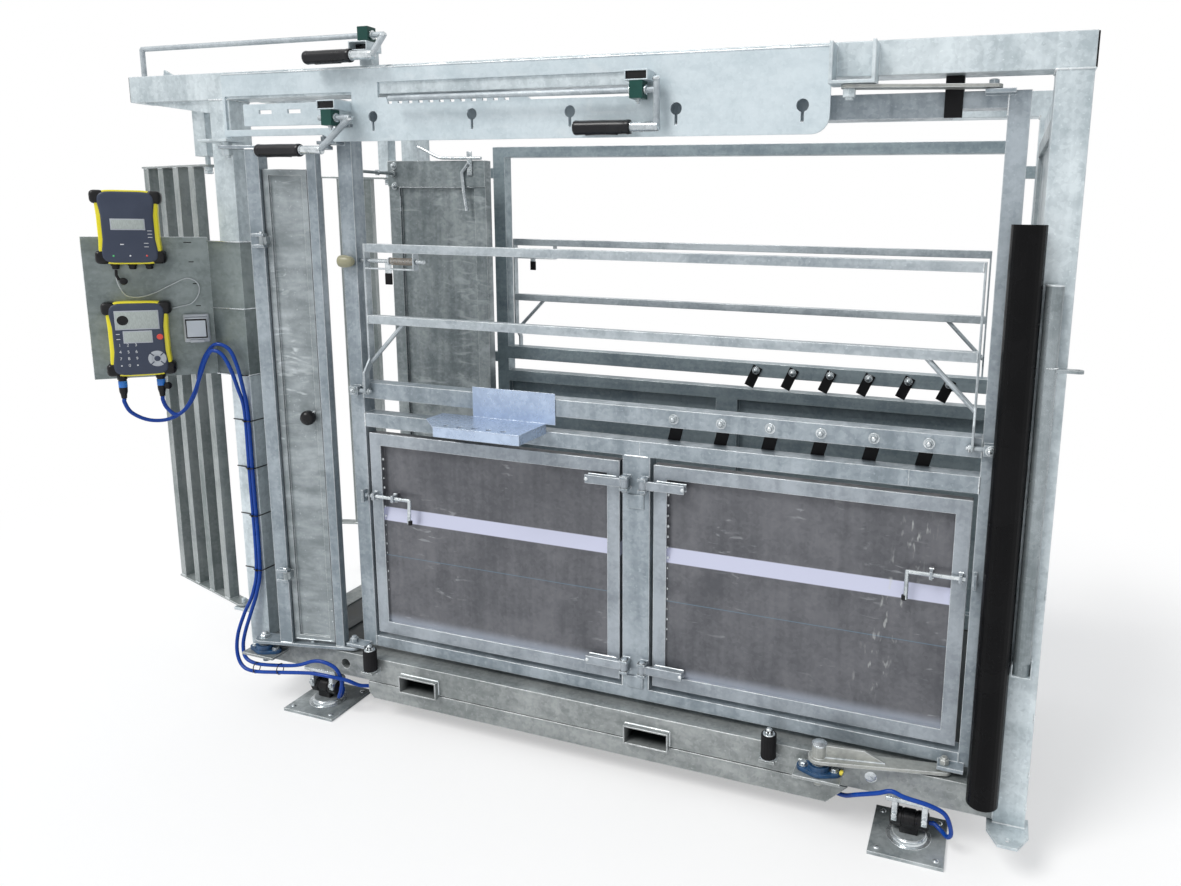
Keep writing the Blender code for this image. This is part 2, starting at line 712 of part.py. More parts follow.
def neck_knuckles():
    """Bottom and top of the far neck panel's two knuckles."""
    return ((ARM_BOTTOM + 0.060, ARM_BOTTOM + 0.100), (FAR_PANEL_TOP - 0.090, FAR_PANEL_TOP - 0.050))


def near_fittings():
    """What is welded to the near gantry: foot tab, pivots, brackets and lever cup."""
    fin_x = FRONT_POST[0] - OVERHANG + 0.105
    fin = [(fin_x, BEAM[1] - 0.002), (fin_x + 0.062, BEAM[1] - 0.002), (fin_x + 0.006, BEAM[1] + 0.024)]
    bracket = (PLATE_REAR_X + 0.003, PLATE_REAR_X + 0.112)
    bracket_z = (LINK_BOTTOM + LINK_THICKNESS + LOOSE_FIT, BEAM[1] - 0.007)
    bracket_y = (PIVOT_Y - 0.025, 0.002)
    wall = BRACKET_PLATE
    lug_z = (PLATE_BOTTOM + 0.0005, PLATE_BOTTOM + 0.0085)
    fx, fy = FRONT_PIVOT.x, FRONT_PIVOT.y
    rx, ry = REAR_PIVOT.x, REAR_PIVOT.y
    head = NECK_TOP - GAP
    tube_z = (BEAM[1] + TOP_TUBE_LIFT, BEAM[1] + TOP_TUBE_LIFT + TUBE_END_HEIGHT)
    return [
        foot_tab([circle((TAB_HOLE_X, -TAB_HOLE_REACH), TAB_HOLE, 32)]),
        flat_xz([fin], around(POST / 2, 0.006)),
        block(bracket, bracket_y, (bracket_z[0], bracket_z[0] + wall)),
        block((bracket[0], bracket[0] + wall), bracket_y, bracket_z),
        block((bracket[1] - wall, bracket[1]), bracket_y, bracket_z),
        rod((rx, ry, LINK_BOTTOM - 0.026), (rx, ry, bracket_z[0] + 0.002), PIVOT_BOLT),
        hex_head(rx, ry, (LINK_BOTTOM - 0.020, LINK_BOTTOM - GAP), 0.016),
        block((FRONT_POST[0] + 0.012, fx + 0.030), (fy - 0.030, 0.002), lug_z),
        rod((fx, fy, NECK_TOP - 0.026), (fx, fy, lug_z[1] - 0.002), PIVOT_BOLT),
        hex_head(fx, fy, (head - 0.018, head), 0.016),
        rod((fx, fy, NECK_TOP + ARM_PLATE + GAP), (fx, fy, lug_z[0] + 0.002), 0.016),
        block((LEVER_X - LEVER_RADIUS - CUP_PLATE, LEVER_X + LEVER_RADIUS + CUP_PLATE),
              (LEVER_Y - LEVER_RADIUS, 0.002), (LEVER_BOTTOM - GAP - CUP_PLATE, LEVER_BOTTOM + 0.030)),
        block(around(TOP_HANDLE_X, TUBE_END_WIDTH - 0.020), (0.004, 0.034),
              (BEAM[1] - 0.002, tube_z[0] + 0.002)),
        block(around(TOP_HANDLE_X, TUBE_END_WIDTH), (-0.030, 0.034), tube_z),
    ]


def near_fitting_cuts():
    """Hollows of the lever cup and of the top handle's bracket tube."""
    tube_z = (BEAM[1] + TOP_TUBE_LIFT, BEAM[1] + TOP_TUBE_LIFT + TUBE_END_HEIGHT)
    inner = TUBE_END_WIDTH - 2 * TUBE_END_WALL
    return [
        block(around(LEVER_X, 2 * (LEVER_RADIUS + FIT)), (LEVER_Y - 0.040, -CUP_PLATE),
              (LEVER_BOTTOM - GAP, LEVER_BOTTOM + 0.040)),
        block(around(TOP_HANDLE_X, inner), (-0.040, 0.040),
              (tube_z[0] + TUBE_END_WALL, tube_z[1] - TUBE_END_WALL)),
    ]


def window_with_teeth():
    """Rear window of the top plate; its lower edge has the rack's teeth."""
    low, high = WINDOW_REAR_Z
    loop = [(WINDOW_REAR[0], high), (WINDOW_REAR[0], low + TOOTH_DEPTH)]
    pitch = (TOOTH_LAST_X - TOOTH_FIRST_X) / (TOOTH_COUNT - 1)
    for i in range(TOOTH_COUNT):
        x = TOOTH_FIRST_X + i * pitch
        loop += [(x - pitch * 0.35, low + TOOTH_DEPTH), (x - pitch * 0.20, low),
                 (x + pitch * 0.20, low), (x + pitch * 0.20, low + TOOTH_DEPTH)]
    loop += [(TOOTH_LAST_X + 0.045, low + TOOTH_DEPTH), (TOOTH_LAST_X + 0.075, low),
             (WINDOW_REAR[1], low), (WINDOW_REAR[1], high)]
    return loop


def keyhole(x):
    """Round hole with a slot below it."""
    edge = math.degrees(math.asin(KEYHOLE_SLOT / KEYHOLE_RADIUS))
    ring = arc((x, KEYHOLE_Z), KEYHOLE_RADIUS, -90 + edge, 270 - edge, 14)
    return ring + [(x - KEYHOLE_SLOT, KEYHOLE_Z - KEYHOLE_DROP), (x + KEYHOLE_SLOT, KEYHOLE_Z - KEYHOLE_DROP)]


def tube_end(x, y, bottom):
    """Short box tube that sticks out of the plate toward the operator."""
    return block(around(x, TUBE_END_WIDTH), (y - BUSH_DEPTH / 2, -GAP - 0.002),
                 (bottom, bottom + TUBE_END_HEIGHT))


def tube_bore(x, y, bottom):
    """Hollow of the short box tube."""
    wall = TUBE_END_WALL
    return block(around(x, TUBE_END_WIDTH - 2 * wall), (y - BUSH_DEPTH, 0.002 - PLATE_THICKNESS),
                 (bottom + wall, bottom + TUBE_END_HEIGHT - wall))


def build_top_plate(root):
    """Cut plate on the near beam, with its rack, keyholes and slotted bar."""
    y = (-GAP - PLATE_THICKNESS, -GAP)
    leg = PLATE_FRONT_X + 0.120
    corner = arc((PLATE_REAR_X - PLATE_CORNER, PLATE_BOTTOM + PLATE_CORNER), PLATE_CORNER, -90, 0, 6)
    loop = [(PLATE_FRONT_X, PLATE_TOP), (PLATE_FRONT_X, PLATE_BOTTOM + 0.020),
            (leg, PLATE_BOTTOM + 0.020), (leg + 0.260, PLATE_BOTTOM + 0.020),
            (leg + 0.300, PLATE_BOTTOM), *corner, (PLATE_REAR_X, PLATE_TOP)]
    front = [(WINDOW_FRONT[0], WINDOW_FRONT_Z[0]), (WINDOW_FRONT[1], WINDOW_FRONT_Z[0]),
             (WINDOW_FRONT[1], WINDOW_FRONT_Z[1]), (WINDOW_FRONT[0], WINDOW_FRONT_Z[1])]
    plate = flat_xz([loop, front, window_with_teeth(), *[keyhole(x) for x in KEYHOLE_X]], y)
    bar_x = (WINDOW_FRONT[0] + 0.070, WINDOW_FRONT[1] + 0.020)
    bar_z = (WINDOW_FRONT_Z[0] + 0.010, WINDOW_FRONT_Z[0] + 0.075)
    slots = []
    for i in range(2):
        slot = around(bar_x[0] + 0.085 + i * 0.110, 0.050)
        slots.append([(slot[0], bar_z[1] - 0.030), (slot[1], bar_z[1] - 0.030),
                      (slot[1], bar_z[1] - 0.018), (slot[0], bar_z[1] - 0.018)])
    bar_loop = [(bar_x[0], bar_z[0]), (bar_x[1], bar_z[0]), (bar_x[1], bar_z[1]), (bar_x[0], bar_z[1])]
    bar = flat_xz([bar_loop, *slots], (y[0] + 0.001, y[1] + 0.002))
    node("top_plate", root, "zinc",
         [plate, bar, tube_end(RACK_HANDLE_X, HANDLE_Y, RACK_TUBE_BOTTOM),
          tube_end(LOW_HANDLE_X, LOW_HANDLE_Y, LOW_TUBE_BOTTOM)],
         [tube_bore(RACK_HANDLE_X, HANDLE_Y, RACK_TUBE_BOTTOM),
          tube_bore(LOW_HANDLE_X, LOW_HANDLE_Y, LOW_TUBE_BOTTOM)], solver="MANIFOLD")


def grip_pieces(tip, toward, y, z):
    """Metal socket and grip along X, starting from the crank."""
    socket = (tip, y, z)
    split = (tip + toward * SOCKET_LENGTH, y, z)
    inside = (tip + toward * (SOCKET_LENGTH + 0.004), y, z)
    end = (tip + toward * (SOCKET_LENGTH + GRIP_LENGTH), y, z)
    return [rod(socket, inside, SOCKET_RADIUS), rod(split, end, GRIP_RADIUS, 14)]


def build_handles(root):
    """Three crank handles, each turning in a moulded bush."""
    rack_z = RACK_TUBE_BOTTOM - GAP - BUSH_HEIGHT / 2
    low_z = LOW_TUBE_BOTTOM - GAP - BUSH_HEIGHT / 2
    top_z = BEAM[1] + TOP_TUBE_LIFT + TUBE_END_HEIGHT + GAP + BUSH_HEIGHT / 2
    for name, x, y, z in (("bush_rack", RACK_HANDLE_X, HANDLE_Y, rack_z),
                          ("bush_low", LOW_HANDLE_X, LOW_HANDLE_Y, low_z),
                          ("bush_top", TOP_HANDLE_X, TOP_ROD_Y, top_z)):
        bore = rod((x - BUSH_WIDTH, y, z), (x + BUSH_WIDTH, y, z), ROD_RADIUS + FIT, 16)
        node(name, root, "green_plastic",
             [block(around(x, BUSH_WIDTH), around(y, BUSH_DEPTH), around(z, BUSH_HEIGHT))], [bore])

    crank_x = RACK_HANDLE_X + 0.050
    grip_z = rack_z - 0.091
    body = frame("rack_axis", (RACK_HANDLE_X, HANDLE_Y, rack_z), root)
    node("rack_rod", body, "zinc", [
        rod((RACK_ROD_END, HANDLE_Y, rack_z), (crank_x, HANDLE_Y, rack_z), ROD_RADIUS),
        rod((crank_x, HANDLE_Y, rack_z + 0.030), (crank_x, HANDLE_Y, grip_z), CRANK_RADIUS),
        *grip_pieces(crank_x + 0.006, -1, HANDLE_Y, grip_z)])

    crank_x = LOW_HANDLE_X + 0.070
    grip_x = LOW_HANDLE_X - 0.046
    grip_z = low_z - 0.090
    y = LOW_HANDLE_Y
    body = frame("low_axis", (LOW_HANDLE_X, y, low_z), root)
    node("low_rod", body, "zinc", [
        rod((LOW_HANDLE_X - 0.040, y, low_z), (crank_x, y, low_z), ROD_RADIUS),
        rod((crank_x, y, low_z), (grip_x, y, grip_z), CRANK_RADIUS),
        *grip_pieces(grip_x + 0.008, -1, y, grip_z)])

    crank_x = TOP_HANDLE_X + 0.060
    grip_y = TOP_ROD_Y - 0.057
    grip_z = top_z - 0.0645
    body = frame("top_axis", (TOP_HANDLE_X, TOP_ROD_Y, top_z), root)
    node("top_rod", body, "zinc", [
        rod((TOP_ROD_END, TOP_ROD_Y, top_z), (crank_x, TOP_ROD_Y, top_z), ROD_RADIUS),
        rod((TOP_ROD_END, TOP_ROD_Y, BEAM[1] + GAP), (TOP_ROD_END, TOP_ROD_Y, top_z), ROD_RADIUS),
        rod((crank_x, TOP_ROD_Y, top_z), (crank_x, grip_y, grip_z), CRANK_RADIUS),
        *grip_pieces(crank_x + 0.006, -1, grip_y, grip_z)], solver="MANIFOLD")


def build_feet(root):
    """Four floor plates, each with a load cell under a corner of the base."""
    corners = {"rear_near": (-FOOT_INSET, False), "front_near": (-LENGTH + FOOT_INSET, False),
               "rear_far": (-FOOT_INSET, True), "front_far": (-LENGTH + FOOT_INSET, True)}
    disc_top = FLOOR + FOOT_THICKNESS + FOOT_DISC_HEIGHT
    for name, (x, far) in corners.items():
        y = FOOT_CENTRE_Y
        place = MIRROR if far else None
        node("foot_plate_" + name, root, "zinc_dark", [
            block(around(x, FOOT_PLATE), around(y, FOOT_PLATE), (FLOOR, FLOOR + FOOT_THICKNESS)),
            rod((x, y, FLOOR + 0.002), (x, y, disc_top), FOOT_DISC_RADIUS, 20)], place=place)
        cell_z = disc_top + GAP + 0.010 + CELL_RADIUS
        top = BASE_BOTTOM - GAP
        yoke = [block(around(x, CELL_LENGTH + 0.026), around(y, 0.070), (top - 0.012, top))]
        for side in (-1, 1):
            bolt_x = x + side * (CELL_LENGTH / 2 - 0.012)
            yoke.append(block(around(bolt_x, 0.016), around(y, 0.060), (cell_z, top - 0.002)))
            yoke.append(rod((bolt_x, y - 0.036, cell_z + 0.020), (bolt_x, y + 0.036, cell_z + 0.020),
                            CELL_BOLT, 6))
        node("load_cell_" + name, root, "black_rubber", [
            rod((x - CELL_LENGTH / 2, y, cell_z), (x + CELL_LENGTH / 2, y, cell_z), CELL_RADIUS, 16),
            block(around(x, 0.050), around(y, 0.040), (disc_top + GAP, cell_z)), *yoke], place=place)


def build_bearings(root):
    """Flange bearings of the two lower pivots and the rubber stops."""
    for name, pivot in (("bearing_rear", REAR_PIVOT), ("bearing_front", FRONT_PIVOT)):
        low = BEARING_SEAT + GAP
        half = BEARING_LENGTH / 2 - 0.022
        loop = (arc((pivot.x - half, pivot.y), 0.018, 100, 260, 5)
                + arc(pivot.xy, BEARING_WIDTH / 2, 250, 290, 4)
                + arc((pivot.x + half, pivot.y), 0.018, -80, 80, 5)
                + arc(pivot.xy, BEARING_WIDTH / 2, 70, 110, 4))
        pieces = [flat_xy([loop], (low, low + 0.011)),
                  rod((pivot.x, pivot.y, low + 0.002), (pivot.x, pivot.y, low + BEARING_HEIGHT), 0.030, 18)]
        for side in (-1, 1):
            pieces.append(hex_head(pivot.x + side * half, pivot.y, (low + 0.009, low + 0.019), 0.010))
        bore = rod((pivot.x, pivot.y, low - 0.01), (pivot.x, pivot.y, low + 0.05), SHAFT_RADIUS + FIT, 16)
        node(name, root, "blue_casting", pieces, [bore])
    for name, x in zip(("bumper_front", "bumper_rear"), BUMPER_X):
        low, y = BUMPER_SEAT + GAP, -BUMPER_RADIUS - GAP
        node(name, root, "black_rubber", [
            rod((x, y, low), (x, y, low + BUMPER_HEIGHT), BUMPER_RADIUS, 16),
            hex_head(x, y, (low + BUMPER_HEIGHT - 0.002, low + BUMPER_HEIGHT + 0.012), 0.012)])


def build_arms(root):
    """Rear link and arm, the front arm with its neck panel, and the panel's door."""
    rear = frame("rear_arm_axis", REAR_PIVOT, root)
    place = arm_place(REAR_PIVOT)
    node("link_upper", rear, "zinc", [link_plate(
        ARM_LENGTH, (LINK_WIDTH, LINK_WIDTH), (LINK_BOTTOM, LINK_BOTTOM + LINK_THICKNESS),
        [(0, PIVOT_BOLT + FIT), (ARM_LENGTH, PIN_RADIUS + FIT)])], place=place)
    arm_z = (ARM_BOTTOM, ARM_TOP)
    web = [(0.004, ARM_TOP - 0.002), (0.180, ARM_TOP - 0.002), (0.120, ARM_TOP + 0.030),
           (0.004, ARM_TOP + 0.036)]
    node("arm_lower", rear, "zinc", [
        link_plate(ARM_LENGTH, (0.060, LINK_WIDTH), arm_z, []),
        flat_xz([web], around(-0.004, 0.008)),
        rod((0, 0, BEARING_SEAT - 0.036), (0, 0, ARM_BOTTOM + 0.002), SHAFT_RADIUS, 16),
        rod((0, 0, ARM_TOP - 0.002), (0, 0, ARM_TOP + 0.034), 0.020, 16),
        *pin_stub(ARM_TOP, WALL_BOTTOM, PIN_RADIUS)], place=place, solver="MANIFOLD")

    front = frame("front_arm_axis", FRONT_PIVOT, root)
    place = arm_place(FRONT_PIVOT)
    top_z = (NECK_TOP, NECK_TOP + ARM_PLATE)
    node("arm_front", front, "zinc", [
        link_plate(ARM_LENGTH, (0.060, LINK_WIDTH), arm_z, []),
        link_plate(ARM_LENGTH, (0.050, LINK_WIDTH), top_z, [(0, PIVOT_BOLT + FIT)]),
        rod((0, 0, BEARING_SEAT - 0.036), (0, 0, ARM_BOTTOM + 0.002), SHAFT_RADIUS, 16),
        block(around(NECK_POST_REACH, NECK_POST), around(0, NECK_POST), (ARM_TOP - 0.002, NECK_TOP + 0.002)),
        block(around(NECK_EDGE_REACH, NECK_EDGE), around(0, NECK_EDGE), (ARM_TOP - 0.002, NECK_TOP + 0.002)),
        *neck_ears(),
        *pin_stub(ARM_TOP, WALL_BOTTOM, PIN_RADIUS),
        *pin_stub(NECK_TOP + ARM_PLATE, NECK_TOP + ARM_PLATE + 0.004, PIN_RADIUS)],
         place=place, solver="MANIFOLD")

    axis_local = Vector(neck_hinge())
    axis = place @ axis_local
    door_body = frame("neck_door_axis", axis, front)
    x = (NECK_POST_REACH + NECK_POST / 2 + 0.004, NECK_EDGE_REACH - NECK_EDGE / 2 - 0.004)
    y = around(0, NECK_DOOR_THICKNESS)
    z = (ARM_TOP + 0.010, NECK_TOP - 0.060)
    rim = 0.018
    knob_y = y[0]
    pieces = [block(x, y, z)]
    pieces += [rod((x[1] - 0.035, knob_y + 0.012, NECK_KNOB_Z), (x[1] - 0.035, knob_y - 0.012, NECK_KNOB_Z),
                   0.006, 8),
               rod((x[1] - 0.035, knob_y - 0.008, NECK_KNOB_Z), (x[1] - 0.035, knob_y - 0.034, NECK_KNOB_Z),
                   KNOB_RADIUS, 14, end_radius=KNOB_RADIUS * 0.55)]
    cuts = [block((x[0] + rim, x[1] - rim), (y[0] - 0.002, y[0] + 0.008), (z[0] + rim, z[1] - rim))]
    pieces.append(block((x[1] - 0.045, x[1] - 0.025), (y[0], y[0] + 0.012),
                        around(NECK_KNOB_Z, 0.030)))
    for low in neck_hinge_heights():
        barrel = (low + GAP, low + HINGE_BARREL_HEIGHT - GAP)
        pieces.append(rod((axis_local.x, axis_local.y, barrel[0]), (axis_local.x, axis_local.y, barrel[1]),
                          HINGE_BARREL - 0.003, 12))
        pieces.append(block((axis_local.x, x[0] + 0.012), (axis_local.y - 0.003, y[0] + 0.002), barrel))
        cuts.append(rod((axis_local.x, axis_local.y, low - 0.01), (axis_local.x, axis_local.y, low + 0.05),
                        HINGE_PIN - 0.001 + FIT, 12))
    base = pieces.pop(0)
    recess = cuts.pop(0)
    sheet = combine_to_tool([base], [recess])
    node("neck_door", door_body, "zinc_dark", [sheet, *pieces], cuts, place=place)


def combine_to_tool(pieces, cuts):
    """Fuse working shapes into one working shape."""
    item = bpy.data.objects.new("shape", combine(pieces, cuts))
    TOOLS.objects.link(item)
    return item


def neck_hinge():
    """Neck door's axis in the arm's own frame, in front of the torque post."""
    return (NECK_POST_REACH + NECK_POST / 2 + 0.002, -NECK_POST / 2 - 0.011, 0.0)


def neck_hinge_heights():
    """Heights of the neck door's barrels."""
    return (0.350, 1.450)


def neck_ears():
    """Ears and pins on the torque post for the neck door."""
    x, y, _ = neck_hinge()
    pieces = []
    for low in neck_hinge_heights():
        for bottom in (low - HINGE_EAR, low + HINGE_BARREL_HEIGHT):
            pieces.append(block((x - 0.030, x + 0.008), (y - 0.008, -NECK_POST / 2 + 0.002),
                                (bottom, bottom + HINGE_EAR)))
        pieces.append(rod((x, y, low - HINGE_EAR / 2), (x, y, low + HINGE_BARREL_HEIGHT + HINGE_EAR / 2),
                          HINGE_PIN - 0.001, 12))
    return pieces


def pin_stub(plate_top, lug_bottom, radius):
    """Pin on an arm's end: washer, stub through the wall's lug and nut above it."""
    x = ARM_LENGTH
    lug_top = lug_bottom + LUG_PLATE
    return [
        rod((x, 0, plate_top - 0.002), (x, 0, lug_top + 0.020), radius),
        rod((x, 0, plate_top - 0.002), (x, 0, lug_bottom - GAP), 0.014),
        rod((x, 0, lug_top + GAP), (x, 0, lug_top + 0.014), 0.013, 6),
    ]


def wall_lug(pin, z):
    """Lug in front of the wall's face, from round its pin to behind the nearer post's edge."""
    post_edge = WALL_FRONT[0] + 0.030 if pin is FRONT_PIN else pin.x + 0.050
    return block((pin.x - LUG_REACH, post_edge), (pin.y - LUG_REACH, WALL_Y + 0.002), z)


def hinge_axis(side):
    """X of a door's hinge: -1 for the front door, +1 for the rear door."""
    return MID_POST_X + side * (MID_POST_WIDTH / 2 - 0.014)


def door_hinge_heights(z):
    """Bottoms of the barrels on a door."""
    return (z[0] + HINGE_FROM_END, z[1] - HINGE_FROM_END - HINGE_BARREL_HEIGHT)


def door_height():
    """Bottom and top of the two doors."""
    return (WALL_BOTTOM + BOTTOM_RAIL + 0.016, LOWER_RAIL_BOTTOM - 0.020)


def door_span(side):
    """Front and rear edge of a door."""
    if side < 0:
        return (WALL_FRONT[1] + DOOR_EDGE_GAP, MID_POST[0] - DOOR_EDGE_GAP)
    return (MID_POST[1] + DOOR_EDGE_GAP, WALL_REAR[0] - DOOR_EDGE_GAP)


def keeper_x(side):
    """X faces of the ring that a door's latch enters."""
    edge = WALL_FRONT[1] if side < 0 else WALL_REAR[0]
    return (edge - 0.012, edge - 0.004) if side < 0 else (edge + 0.004, edge + 0.012)


def build_near_wall(root):
    """Squeeze wall with its doors, rail gate, tray and straps."""
    wall = frame("near_wall_axis", REAR_PIN, root)
    pieces = [
        block(WALL_REAR, WALL, (WALL_BOTTOM, WALL_TOP)),
        block(WALL_FRONT, WALL, (WALL_BOTTOM, WALL_TOP)),
        block((WALL_FRONT[0] + 0.002, WALL_REAR[0] - 0.125), WALL, (WALL_TOP - TOP_RAIL, WALL_TOP)),
        block((WALL_REAR[0] - 0.130, WALL_REAR[1] - 0.002), WALL, (WALL_TOP - TOP_TUBE, WALL_TOP)),
        block((WALL_FRONT[0] + 0.002, WALL_REAR[1] - 0.002), WALL, (WALL_BOTTOM, WALL_BOTTOM + BOTTOM_RAIL)),
        block((WALL_FRONT[1] - 0.002, WALL_REAR[0] + 0.002), WALL,
              (LOWER_RAIL_BOTTOM, LOWER_RAIL_BOTTOM + LOWER_RAIL)),
        block((WALL_FRONT[1] - 0.002, WALL_REAR[0] + 0.002), WALL,
              (HINGE_RAIL_BOTTOM, HINGE_RAIL_BOTTOM + HINGE_RAIL)),
        block(MID_POST, WALL, (WALL_BOTTOM + BOTTOM_RAIL - 0.002, LOWER_RAIL_BOTTOM + 0.002)),
        wall_lug(REAR_PIN, (WALL_BOTTOM, WALL_BOTTOM + LUG_PLATE)),
        wall_lug(FRONT_PIN, (WALL_BOTTOM, WALL_BOTTOM + LUG_PLATE)),
        wall_lug(FRONT_PIN, (NECK_TOP + ARM_PLATE + 0.004, NECK_TOP + ARM_PLATE + 0.004 + LUG_PLATE)),
        wall_lug(REAR_PIN, (WALL_TOP - LUG_PLATE, WALL_TOP)),
        rod((REAR_PIN.x, REAR_PIN.y, WALL_TOP - 0.002),
            (REAR_PIN.x, REAR_PIN.y, LINK_BOTTOM + LINK_THICKNESS + 0.012), PIN_RADIUS),
        rod((REAR_PIN.x, REAR_PIN.y, WALL_TOP - 0.002), (REAR_PIN.x, REAR_PIN.y, LINK_BOTTOM - GAP), 0.014),
        hex_head(REAR_PIN.x, REAR_PIN.y,
                 (LINK_BOTTOM + LINK_THICKNESS + GAP, LINK_BOTTOM + LINK_THICKNESS + 0.010), 0.013),
    ]
    hinge_y = WALL_Y - HINGE_SETOFF
    for side in (-1, 1):
        x = hinge_axis(side)
        for low in door_hinge_heights(door_height()):
            for bottom in (low - HINGE_EAR, low + HINGE_BARREL_HEIGHT):
                pieces.append(block(around(x, 2 * HINGE_BARREL), (hinge_y - HINGE_BARREL, WALL_Y + 0.002),
                                    (bottom, bottom + HINGE_EAR)))
            pieces.append(rod((x, hinge_y, low - HINGE_EAR / 2),
                              (x, hinge_y, low + HINGE_BARREL_HEIGHT + HINGE_EAR / 2), HINGE_PIN))
        ring = keeper_x(side)
        pieces.append(block(ring, (WALL_Y - LATCH_SETOFF - 0.016, WALL_Y + 0.002),
                            around(LATCH_HEIGHT, 0.040)))
    for i in range(STRAP_COUNT):
        x = STRAP_FIRST_X + i * STRAP_PITCH
        pieces.append(rod((x, WALL_Y + 0.002, STRAP_BOLT_Z), (x, WALL_Y - 0.010, STRAP_BOLT_Z), 0.010, 6))
    pieces += gate_ears()
    lug_top = WALL_BOTTOM + LUG_PLATE
    cuts = gate_bores() + [rod((pin.x, pin.y, WALL_BOTTOM - 0.01), (pin.x, pin.y, lug_top + 0.01),
                               PIN_RADIUS + play, 16)
                           for pin, play in ((REAR_PIN, FIT), (FRONT_PIN, LOOSE_FIT))]
    cuts.append(rod((FRONT_PIN.x, FRONT_PIN.y, NECK_TOP), (FRONT_PIN.x, FRONT_PIN.y, NECK_TOP + 0.040),
                    PIN_RADIUS + LOOSE_FIT, 16))
    for side in (-1, 1):
        ring = keeper_x(side)
        y = WALL_Y - LATCH_SETOFF
        cuts.append(rod((ring[0] - 0.01, y, LATCH_HEIGHT), (ring[1] + 0.01, y, LATCH_HEIGHT),
                        LATCH_RADIUS + LOOSE_FIT, 12))
    node("wall_near", wall, "zinc", pieces, cuts)

    pad_x = (WALL_REAR[0] - 0.144, WALL_REAR[0] - 0.102)
    node("guide_pad", wall, "black_rubber", [
        block(pad_x, (WALL_Y - 0.007, WALL_Y - GAP), (WALL_TOP - TOP_RAIL, POST_HEIGHT - 0.001)),
        block(pad_x, (WALL_Y - 0.007, WALL_Y + 0.035), (WALL_TOP + GAP, POST_HEIGHT - 0.001))])
    build_doors(wall)
    build_tray(wall)
    build_straps(wall)
    build_rail_gate(wall, "near", None)
    return wall


def build_doors(wall):
    """Two side doors hung on the middle post, each with a sliding latch."""
    z = door_height()
    y = (WALL_Y + DOOR_SETBACK, WALL_Y + DOOR_SETBACK + DOOR_THICKNESS)
    hinge_y = WALL_Y - HINGE_SETOFF
    for name, side in (("front", -1), ("rear", 1)):
        span = door_span(side)
        axis_x = hinge_axis(side)
        body = frame(f"door_{name}_axis", (axis_x, hinge_y, mid(z)), wall)
        inner = (span[0] + DOOR_FRAME, span[1] - DOOR_FRAME)
        deep, shallow = y[0] + UPPER_SHEET_DEPTH, y[0] + LOWER_SHEET_DEPTH
        recess = [(y[0] - 0.005, z[0] + DOOR_FRAME), (shallow, z[0] + DOOR_FRAME), (shallow, FOLD_BOTTOM),
                  (deep, FOLD_TOP), (deep, z[1] - DOOR_FRAME), (y[0] - 0.005, z[1] - DOOR_FRAME)]
        panel = combine_to_tool([block(span, y, z)], [flat_yz([recess], inner)])
        pieces = [panel]
        cuts = []
        edge = span[1] if side < 0 else span[0]
        for low in door_hinge_heights(z):
            barrel = (low + GAP, low + HINGE_BARREL_HEIGHT - GAP)
            pieces.append(rod((axis_x, hinge_y, barrel[0]), (axis_x, hinge_y, barrel[1]), HINGE_BARREL, 14))
            strap = sorted((axis_x, edge + side * 0.100))
            pieces.append(block(strap, (hinge_y - 0.004, hinge_y + 0.004), barrel))
            foot = sorted((edge + side * 0.006, edge + side * 0.100))
            pieces.append(block(foot, (hinge_y - 0.003, y[0] + 0.001), (low + 0.006, low + 0.020)))
            cuts.append(rod((axis_x, hinge_y, low - 0.01), (axis_x, hinge_y, low + 0.04),
                            HINGE_PIN + FIT, 14))
        latch_y = WALL_Y - LATCH_SETOFF
        outer = span[0] if side < 0 else span[1]
        for inset in (0.016, 0.090):
            x = outer - side * inset
            pieces.append(block(around(x, 0.008), (latch_y - 0.010, y[0] + UPPER_SHEET_DEPTH + 0.002),
                                around(LATCH_HEIGHT, 0.022)))
            cuts.append(rod((x - 0.01, latch_y, LATCH_HEIGHT), (x + 0.01, latch_y, LATCH_HEIGHT),
                            LATCH_RADIUS + FIT, 12))
        node("door_" + name, body, "zinc", pieces, cuts)

        tip = outer - side * 0.004
        bend = outer - side * (0.004 + LATCH_LENGTH)
        latch = frame(f"latch_{name}_axis", (tip, latch_y, LATCH_HEIGHT), body)
        node("latch_" + name, latch, "zinc", [
            rod((tip, latch_y, LATCH_HEIGHT), (bend, latch_y, LATCH_HEIGHT), LATCH_RADIUS),
            rod((bend + side * 0.003, latch_y, LATCH_HEIGHT + 0.003),
                (bend + side * 0.003, latch_y - 0.006, LATCH_HEIGHT - LATCH_DROP), LATCH_RADIUS)])


